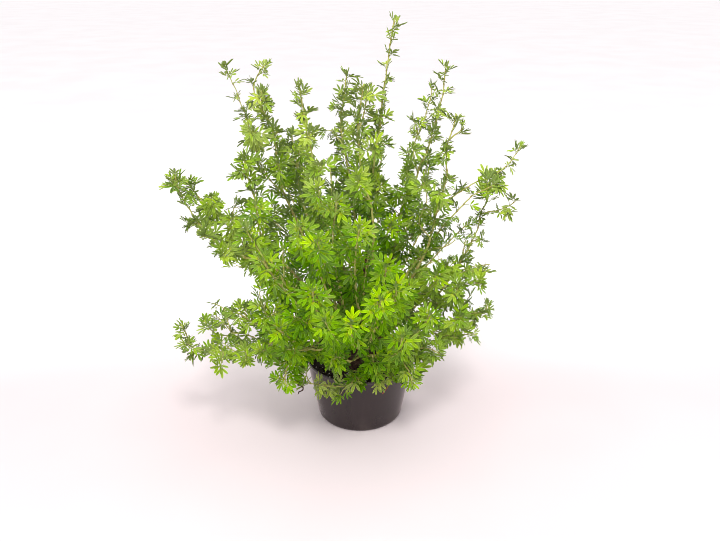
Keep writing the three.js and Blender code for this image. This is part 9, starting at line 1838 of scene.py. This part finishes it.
bark = Look("shoot_bark", Specular_IOR_Level=0.25)
ba = bark.split(bark.attribute("tone_a").outputs["Vector"])
bb = bark.split(bark.attribute("tone_b").outputs["Vector"])
streak_at = bark.node("CombineXYZ")
bark.put(streak_at.inputs[0], bark.math("MULTIPLY", ba[2], 5.0))
bark.put(streak_at.inputs[1], bark.math("MULTIPLY", bb[0], 7.0))
bark.put(streak_at.inputs[2], bark.math("MULTIPLY", bb[1], 40.0))
streak = bark.noise(streak_at.outputs[0], 2.2, 4.0, 0.65, 0.4)
grain = bark.noise(bark.place(), 900.0, 3.0, 0.6)
old_c = bark.ramp(streak, [(0.28, (0.018, 0.009, 0.006)), (0.50, (0.055, 0.026, 0.015)), (0.68, (0.13, 0.075, 0.040)), (0.85, (0.25, 0.165, 0.095))])
new_c = bark.ramp(streak, [(0.25, (0.30, 0.30, 0.06)), (0.5, (0.47, 0.49, 0.13)), (0.75, (0.64, 0.64, 0.24))])
wood = bark.mix(bark.band(bark.math("ADD", ba[0], bark.math("MULTIPLY", bark.math("SUBTRACT", grain, 0.5), 0.35)), 0.14, 0.48), old_c, new_c)
wood = bark.mix(bark.math("MULTIPLY", ba[1], 0.55), wood, (0.20, 0.075, 0.028))
wood = bark.mix(bark.band(grain, 0.55, 0.75, 0.0, 0.35), wood, bark.shift(wood, value=0.6))
bark.bump(bark.math("ADD", bark.math("MULTIPLY", streak, 0.7), bark.math("MULTIPLY", grain, 0.3)), 0.5, 0.0004)
bark_mat = bark.finish(wood, bark.band(streak, 0.3, 0.7, 0.85, 0.6))

for name in sorted(leaf_soups):
    leaf_soups[name].build(name + "_foliage", [leaf_mat, stalk_mat], "leaf", [name])
for name in sorted(stem_soups):
    stem_soups[name].build(name + "_wood", [bark_mat], "straw_stem" if name == "stem_trailing" else "bark", [name])


# ---------------------------------------------------------------- pot
def lathe(profile, seg):
    """Closed body of revolution; the profile starts and ends on the axis."""
    inner = np.array(profile[1:-1], float)
    a = 2 * np.pi * np.arange(seg) / seg
    co = np.stack([inner[:, None, 0] * np.cos(a), inner[:, None, 0] * np.sin(a), np.repeat(inner[:, 1:2], seg, 1)], -1).reshape(-1, 3)
    co = np.concatenate([co, [[0, 0, profile[0][1]], [0, 0, profile[-1][1]]]])
    k = np.arange(seg)
    q = np.concatenate([np.stack([i * seg + k, i * seg + (k + 1) % seg, (i + 1) * seg + (k + 1) % seg, (i + 1) * seg + k], 1) for i in range(len(inner) - 1)])
    m, last = len(inner) * seg, (len(inner) - 1) * seg
    t = np.concatenate([np.stack([np.full(seg, m), (k + 1) % seg, k], 1), np.stack([last + k, last + (k + 1) % seg, np.full(seg, m + 1)], 1)])
    return co, q, t


def plain_object(name, co, quads, tris):
    me = bpy.data.meshes.new(name)
    me.from_pydata([tuple(p) for p in np.asarray(co) * MM], [], [tuple(int(i) for i in f) for f in (*quads, *tris)])
    me.update()
    o = bpy.data.objects.new(name, me)
    scene.collection.objects.link(o)
    return o


def wall_r(z):
    return 64.4 + 15 * (z - 9) / 86


pot_profile = [(0, 0.0), (16.2, 0.0), (16.8, 0.25), (17.0, 0.8), (17.2, 2.6), (17.8, 3.0), (52.4, 3.0), (52.9, 2.7), (53.1, 0.6), (53.6, 0.0), (59.6, 0.0), (60.5, 0.35)]
pot_profile += [(60.5 + 3.9 * math.sin(x) , 0.35 + 8.65 * (1 - math.cos(x)) ) for x in np.radians([18, 36, 54, 72])]
pot_profile += [(wall_r(z), z) for z in (9.0, 11.0, 22, 36, 50, 64, 76, 86, 90.2)]
pot_profile += [(wall_r(90.9) + 0.10, 90.9), (wall_r(91.3) + 0.5, 91.3), (wall_r(92) + 0.6, 92.0), (wall_r(94) + 0.6, 94.0), (80.0, 94.6), (79.6, 94.95), (79.0, 95.0), (78.3, 94.8), (77.85, 94.3)]
pot_profile += [(wall_r(z) - 1.6, z) for z in (93, 84, 70, 50, 30, 14, 9.6)]
pot_profile += [(61.6, 7.0), (60.2, 5.6), (58.0, 5.0), (40, 5.0), (20, 5.0), (0, 5.0)]
co, quads, tris = lathe(pot_profile, 176)
pot = plain_object("nursery_pot_body", co, quads, tris)


def cutter(name, co, quads, tris):
    o = plain_object(name, co, quads, tris)
    m = pot.modifiers.new(name, "BOOLEAN")
    m.operation, m.solver, m.object = "DIFFERENCE", "EXACT", o
    bpy.context.view_layer.objects.active = pot
    bpy.ops.object.modifier_apply(modifier=m.name)
    bpy.data.objects.remove(o)


def many(parts):
    co, q, t, n = [], [], [], 0
    for c, a, b in parts:
        co.append(c)
        q.append(a + n)
        t.append(b + n)
        n += len(c)
    return np.concatenate(co), np.concatenate(q), np.concatenate(t)


drains = []
for i in range(8):
    a = 2 * math.pi * i / 8
    c, q, t = lathe([(0, 1.0), (4.5, 1.0), (4.5, 8.0), (0, 8.0)], 28)
    drains.append((c + np.array([41 * math.cos(a), 41 * math.sin(a), 0]), q, t))
cutter("drains", *many(drains))
slots = []
for i in range(8):
    a = 2 * math.pi * (i + 0.5) / 8
    pts = np.array([(x, y, z) for z in (-1.0, 2.4) for x, y in ((50, -4), (63.5, -4), (63.5, 4), (50, 4))], float)
    c = np.stack([pts[:, 0] * math.cos(a) - pts[:, 1] * math.sin(a), pts[:, 0] * math.sin(a) + pts[:, 1] * math.cos(a), pts[:, 2]], 1)
    q = np.array([(3, 2, 1, 0), (4, 5, 6, 7), (0, 1, 5, 4), (1, 2, 6, 5), (2, 3, 7, 6), (3, 0, 4, 7)])
    slots.append((c, q, np.zeros((0, 3), int)))
cutter("foot_slots", *many(slots))
for p in pot.data.polygons:
    p.use_smooth = True
pot.data.set_sharp_from_angle(angle=math.radians(38))

plastic = Look("pot_plastic", Specular_IOR_Level=0.5, Sheen_Weight=0.9, Sheen_Roughness=0.22, Sheen_Tint=(1.0, 0.84, 0.86, 1.0))
pp = plastic.place()
pxyz = plastic.split(pp)
haze = plastic.noise(plastic.scaled(pp, (1.0, 1.0, 0.25)), 30.0, 4.0, 0.6, 0.6)
fine = plastic.noise(pp, 1500.0, 2.0, 0.6)
flow = plastic.noise(plastic.scaled(pp, (1.0, 1.0, 6.0)), 22.0, 3.0)
dust = plastic.math("MULTIPLY", plastic.band(pxyz[2], 0.034, 0.0, 0.0, 0.9), plastic.band(haze, 0.42, 0.72))
base_c = plastic.ramp(haze, [(0.25, (0.012, 0.005, 0.0055)), (0.55, (0.017, 0.008, 0.0085)), (0.8, (0.028, 0.016, 0.017))])
base_c = plastic.mix(plastic.math("MULTIPLY", dust, 0.35), base_c, (0.13, 0.105, 0.09))
scuff = plastic.cells(plastic.scaled(pp, (1.0, 1.0, 0.12)), 190.0)
base_c = plastic.mix(plastic.math("MULTIPLY", plastic.band(scuff, 0.10, 0.02), plastic.band(haze, 0.52, 0.66, 0.0, 0.5)), base_c, (0.12, 0.10, 0.10))
# Painted highlight: the top face of the rim is painted lighter.
rim_painted_highlight = plastic.band(pxyz[2], 0.0942, 0.0949, 0.0, 0.35)
base_c = plastic.mix(rim_painted_highlight, base_c, (0.085, 0.07, 0.07))
plastic.bump(plastic.math("ADD", plastic.math("MULTIPLY", fine, 0.5), plastic.math("MULTIPLY", flow, 0.5)), 0.16, 0.0003)
plastic_mat = plastic.finish(base_c, plastic.math("ADD", plastic.band(haze, 0.3, 0.7, 0.26, 0.36), plastic.math("MULTIPLY", dust, 0.2)))
pot.data.materials.append(plastic_mat)
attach(pot, "root")
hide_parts("nursery_pot")


# ---------------------------------------------------------------- compost
def fbm(x, y, z, scale, octaves=4):
    return mnoise.fractal(Vector((x * scale, y * scale, z * scale)), 0.9, 2.1, octaves)


def soil_height(r, a):
    h = float(np.interp(r, [0, 34, 54, 71, 76], [85, 84, 84.6, 83, 82.4]))
    h += 0.9 * math.sin(3 * a + r * 0.11) + 0.6 * math.sin(7 * a + 1.3)
    x, y = r * math.cos(a), r * math.sin(a)
    return h + 1.1 * fbm(x, y, 0, 0.10) + 0.85 * fbm(x, y, 9, 0.36, 3) - 0.4


SEG, RINGS = 150, 40
soil_soup = Soup()
rr = [75.9 * ((i + 1) / RINGS) ** 0.85 for i in range(RINGS)]
soil_co = []
for r in rr:
    for j in range(SEG):
        a = 2 * math.pi * j / SEG
        soil_co.append((r * math.cos(a), r * math.sin(a), soil_height(r, a)))
low_z = [76, 55, 30, 12, 6.5, 5.3, 5.3]
low_r = [wall_r(z) - 1.95 for z in low_z[:4]] + [60.6, 57.0, 30.0]
for r, z in zip(low_r, low_z):
    for j in range(SEG):
        a = 2 * math.pi * j / SEG
        soil_co.append((r * math.cos(a), r * math.sin(a), z))
soil_co = np.array(soil_co)
rows = RINGS + len(low_z)
k = np.arange(SEG)
sq = np.concatenate([np.stack([i * SEG + k, (i + 1) * SEG + k, (i + 1) * SEG + (k + 1) % SEG, i * SEG + (k + 1) % SEG], 1) for i in range(rows - 1)])
m = rows * SEG
last = (rows - 1) * SEG
st = np.concatenate([np.stack([np.full(SEG, m), k, (k + 1) % SEG], 1), np.stack([last + (k + 1) % SEG, last + k, np.full(SEG, m + 1)], 1)])
soil_co = np.concatenate([soil_co, [[0, 0, soil_height(0.1, 0)], [0, 0, 5.3]]])
soil_soup.add(soil_co, sq, st, (0, 0, 0), (0, 0, 0))

ico_cache = {}


def ico(level):
    if level not in ico_cache:
        import bmesh

        bm = bmesh.new()
        bmesh.ops.create_icosphere(bm, subdivisions=level, radius=1.0)
        bm.verts.ensure_lookup_table()
        ico_cache[level] = (np.array([v.co[:] for v in bm.verts]), np.array([[v.index for v in f.verts] for f in bm.faces]))
        bm.free()
    return ico_cache[level]


def rotation(r):
    q = unit(r.normal(size=4))
    w, x, y, z = q
    return np.array(
        [[1 - 2 * (y * y + z * z), 2 * (x * y - z * w), 2 * (x * z + y * w)], [2 * (x * y + z * w), 1 - 2 * (x * x + z * z), 2 * (y * z - x * w)], [2 * (x * z - y * w), 2 * (y * z + x * w), 1 - 2 * (x * x + y * y)]]
    )


def lump(soup, r, at, radii, rough, level=2, tone=(0, 0, 0), flat=0.0):
    v, f = ico(level)
    seed = r.uniform(0, 50, 3)
    k = np.array([1 + rough * mnoise.noise(Vector((p * 1.7 + seed).tolist())) + 0.5 * rough * mnoise.noise(Vector((p * 3.9 + seed).tolist())) for p in v])
    c = (v * k[:, None] * np.asarray(radii)) @ rotation(r).T if not flat else (v * k[:, None] * np.asarray(radii)) @ np.array(flat)
    soup.add(c + np.asarray(at), np.zeros((0, 4), int), f, (tone[0], tone[1], r.uniform(0, 1)), (r.uniform(0, 1), 0, 0))


lr = np.random.default_rng(5)
clods = Soup()
for _ in range(430):
    rad, a = 75.0 * math.sqrt(lr.uniform(0.0, 1)), lr.uniform(0, 2 * math.pi)
    s = lr.choice([1.0, 1.5, 2.2], p=[0.5, 0.35, 0.15]) * lr.uniform(0.8, 1.25)
    rad = min(rad, 74.6 - s)
    lump(clods, lr, (rad * math.cos(a), rad * math.sin(a), soil_height(rad, a) + 0.15 * s), (s, s * lr.uniform(0.6, 0.95), s * lr.uniform(0.5, 0.8)), 0.55, 2 if s > 1.3 else 1)
perlite = Soup()
for _ in range(120):
    rad, a = 73.0 * math.sqrt(lr.uniform(0.02, 1)), lr.uniform(0, 2 * math.pi)
    s = lr.uniform(0.55, 1.35)
    lump(perlite, lr, (rad * math.cos(a), rad * math.sin(a), soil_height(rad, a) + 0.45 * s), (s, s * 0.85, s * 0.7), 0.5, 2)
chips = Soup()
for _ in range(80):
    rad, a = 70.0 * math.sqrt(lr.uniform(0.02, 1)), lr.uniform(0, 2 * math.pi)
    s = lr.uniform(2.0, 5.2)
    yaw, tilt = lr.uniform(0, 6.28), lr.uniform(-0.35, 0.35)
    m3 = np.array([[math.cos(yaw), math.sin(yaw), 0], [-math.sin(yaw), math.cos(yaw), 0], [math.sin(tilt), 0, 1]])
    rad = min(rad, 73.5 - s)
    lump(chips, lr, (rad * math.cos(a), rad * math.sin(a), soil_height(rad, a) + 0.9), (s, s * lr.uniform(0.12, 0.35), s * 0.13 + 0.25), 0.4, 2, flat=m3.tolist())

soil = Look("potting_compost", Specular_IOR_Level=0.2)
sp = soil.place()
g1 = soil.noise(sp, 260.0, 5.0, 0.7)
g2 = soil.noise(sp, 1300.0, 3.0, 0.7)
crumb = soil.cells(sp, 620.0)
soil_c = soil.ramp(g1, [(0.28, (0.0045, 0.0030, 0.0022)), (0.5, (0.014, 0.0085, 0.0058)), (0.66, (0.032, 0.019, 0.012)), (0.82, (0.070, 0.043, 0.026))])
soil_c = soil.mix(soil.band(g2, 0.55, 0.78, 0.0, 0.5), soil_c, (0.055, 0.033, 0.020))
soil_c = soil.mix(soil.band(crumb, 0.25, 0.0, 0.0, 0.5), soil_c, (0.006, 0.004, 0.003))
soil.bump(soil.math("ADD", soil.math("MULTIPLY", crumb, 0.6), soil.math("MULTIPLY", g2, 0.5)), 0.8, 0.0012)
soil_mat = soil.finish(soil_c, soil.band(g1, 0.3, 0.7, 0.95, 0.78))
soil_soup.build("compost_fill", [soil_mat], "compost", ["compost"])
clods.build("compost_crumbs", [soil_mat], "compost")
white = Look("perlite", Specular_IOR_Level=0.3)
wn = white.noise(white.place(), 1800.0, 3.0)
white.bump(wn, 0.6, 0.0003)
white_mat = white.finish(white.ramp(wn, [(0.3, (0.34, 0.30, 0.27)), (0.6, (0.72, 0.70, 0.67)), (0.8, (0.86, 0.85, 0.83))]), white.band(wn, 0.3, 0.7, 0.9, 0.75))
perlite.build("compost_perlite", [white_mat], "compost")
chip = Look("bark_chip", Specular_IOR_Level=0.25)
cn = chip.noise(chip.scaled(chip.place(), (1.0, 1.0, 3.0)), 500.0, 4.0, 0.65)
chip.bump(cn, 0.7, 0.0005)
chip_mat = chip.finish(chip.ramp(cn, [(0.3, (0.012, 0.007, 0.004)), (0.5, (0.05, 0.026, 0.014)), (0.7, (0.12, 0.065, 0.034)), (0.85, (0.20, 0.12, 0.07))]), chip.band(cn, 0.3, 0.7, 0.92, 0.75))
chips.build("compost_bark_chips", [chip_mat], "compost")

# ---------------------------------------------------------------- root crown: the knot of old wood that the stems rise from
crown = Soup()
v, f = ico(5)
starts = [sh.q[0] for sh in shoots if sh.kind == 0]
c = []
for p in v:
    k = 1 + 0.10 * fbm(p[0], p[1], p[2], 1.6, 3) + 0.045 * math.sin(9 * math.atan2(p[1], p[0]) + 3 * p[2]) + 0.03 * fbm(p[0] * 1.0, p[1], p[2] * 0.3, 7.0, 3)
    c.append((1 + p[0] * k * 25.2, p[1] * k * 26.2, 80.5 + p[2] * k * 11.2))
crown.add(np.array(c), np.zeros((0, 4), int), f, (0, 0, 0), (0, 0, 0))
cr = np.random.default_rng(9)
for _ in range(26):
    a, h = cr.uniform(0, 2 * math.pi), cr.uniform(0.15, 0.75)
    rr_ = math.sqrt(1 - h * h)
    lump(crown, cr, (1 + 24.5 * rr_ * math.cos(a), 25.5 * rr_ * math.sin(a), 80.5 + 10.5 * h), (cr.uniform(2.2, 4.6), cr.uniform(2.0, 3.6), cr.uniform(1.8, 3.2)), 0.4, 3)
old = Look("old_wood", Specular_IOR_Level=0.22)
op_ = old.place()
on1 = old.noise(old.scaled(op_, (1.0, 1.0, 0.3)), 210.0, 5.0, 0.7, 0.8)
on2 = old.noise(op_, 900.0, 3.0, 0.65)
old_col = old.ramp(on1, [(0.28, (0.010, 0.006, 0.004)), (0.48, (0.045, 0.024, 0.015)), (0.64, (0.11, 0.062, 0.038)), (0.82, (0.22, 0.14, 0.09))])
old_col = old.mix(old.band(on2, 0.52, 0.75, 0.0, 0.5), old_col, (0.02, 0.012, 0.008))
old.bump(old.math("ADD", old.math("MULTIPLY", on1, 0.7), old.math("MULTIPLY", on2, 0.3)), 0.9, 0.0015)
crown.build("root_crown_wood", [old.finish(old_col, old.band(on1, 0.3, 0.7, 0.95, 0.75))], "old_bark", ["root_crown"])

# ---------------------------------------------------------------- dry, curled bits
def dry_curl(line, r0, r1):
    """A dry, slightly knobbly curl along the points of line (mm), r0 thick at its start and r1 at its end."""
    dl = halved(halved(halved(np.array(line, float))))
    dt, du, dv = grown_frames(dl)
    da = 2 * np.pi * np.arange(8) / 8
    dx = np.linspace(0, 1, len(dl))
    dr = (r0 + (r1 - r0) * dx) * (1 + 0.12 * np.sin(dx * 41))
    across_ = np.cos(da)[None, :, None] * du[:, None] + np.sin(da)[None, :, None] * dv[:, None]
    dco = dl[:, None] + across_ * (dr[:, None] * (1 + 0.08 * np.sin(3 * da + 1))[None])[..., None]
    dq, dtr = tube_faces(len(dl), 8)
    out = Soup()
    tone = np.zeros((len(dl), 8, 3))
    tone[..., 2] = np.abs(((da / (2 * np.pi)) * 2) % 2 - 1)[None]
    oth = np.zeros((len(dl), 8, 3))
    oth[..., 0] = dx[:, None]
    ends_ = np.zeros((2, 3))
    co = np.concatenate([dco.reshape(-1, 3), dl[:1], dl[-1:] + dt[-1:] * 0.5])
    out.add(co, dq, dtr, np.concatenate([tone.reshape(-1, 3), ends_]), np.concatenate([oth.reshape(-1, 3), ends_]))
    return out


def dry_look(name, colours):
    look = Look(name, Specular_IOR_Level=0.25)
    dn = look.noise(look.place(), 700.0, 4.0, 0.65)
    look.bump(dn, 0.7, 0.0005)
    return look.finish(look.ramp(dn, colours), look.band(dn, 0.3, 0.7, 0.85, 0.7))


# the coppery twig that hangs over the rim
twig = dry_curl([(33, -40, 89), (39, -57, 94.5), (42, -72, 100.5), (43, -80, 102.5), (40.5, -86, 98.5), (36.5, -88.5, 91), (31, -89.5, 83.5)], 1.1, 0.7)
twig_mat = dry_look("dry_twig_bark", [(0.3, (0.10, 0.030, 0.015)), (0.5, (0.28, 0.090, 0.045)), (0.7, (0.46, 0.18, 0.10)), (0.85, (0.60, 0.32, 0.20))])
twig.build("dry_twig_bark", [twig_mat], "dry_bark", ["dry_twig"])
# the dead, curled tip of the straw-coloured shoot at the left
curl = dry_curl([(-80.5, -103.6, 110.6), (-84.0, -104.6, 108.0), (-81.5, -105.4, 107.4), (-77.2, -105.6, 104.6), (-78.0, -105.4, 99.6), (-82.8, -104.9, 96.8), (-83.6, -104.5, 93.6)], 1.05, 0.75)
curl_mat = dry_look("dry_curl_skin", [(0.3, (0.016, 0.008, 0.006)), (0.5, (0.045, 0.020, 0.013)), (0.7, (0.10, 0.045, 0.028)), (0.85, (0.20, 0.11, 0.07))])
curl.build("dry_shoot_tip", [curl_mat], "dry_bark")

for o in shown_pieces():
    if o.type == "MESH":
        n = len(o.data.loops) - 2 * len(o.data.polygons)
        if n > 150000:
            print("large", o.name, n)
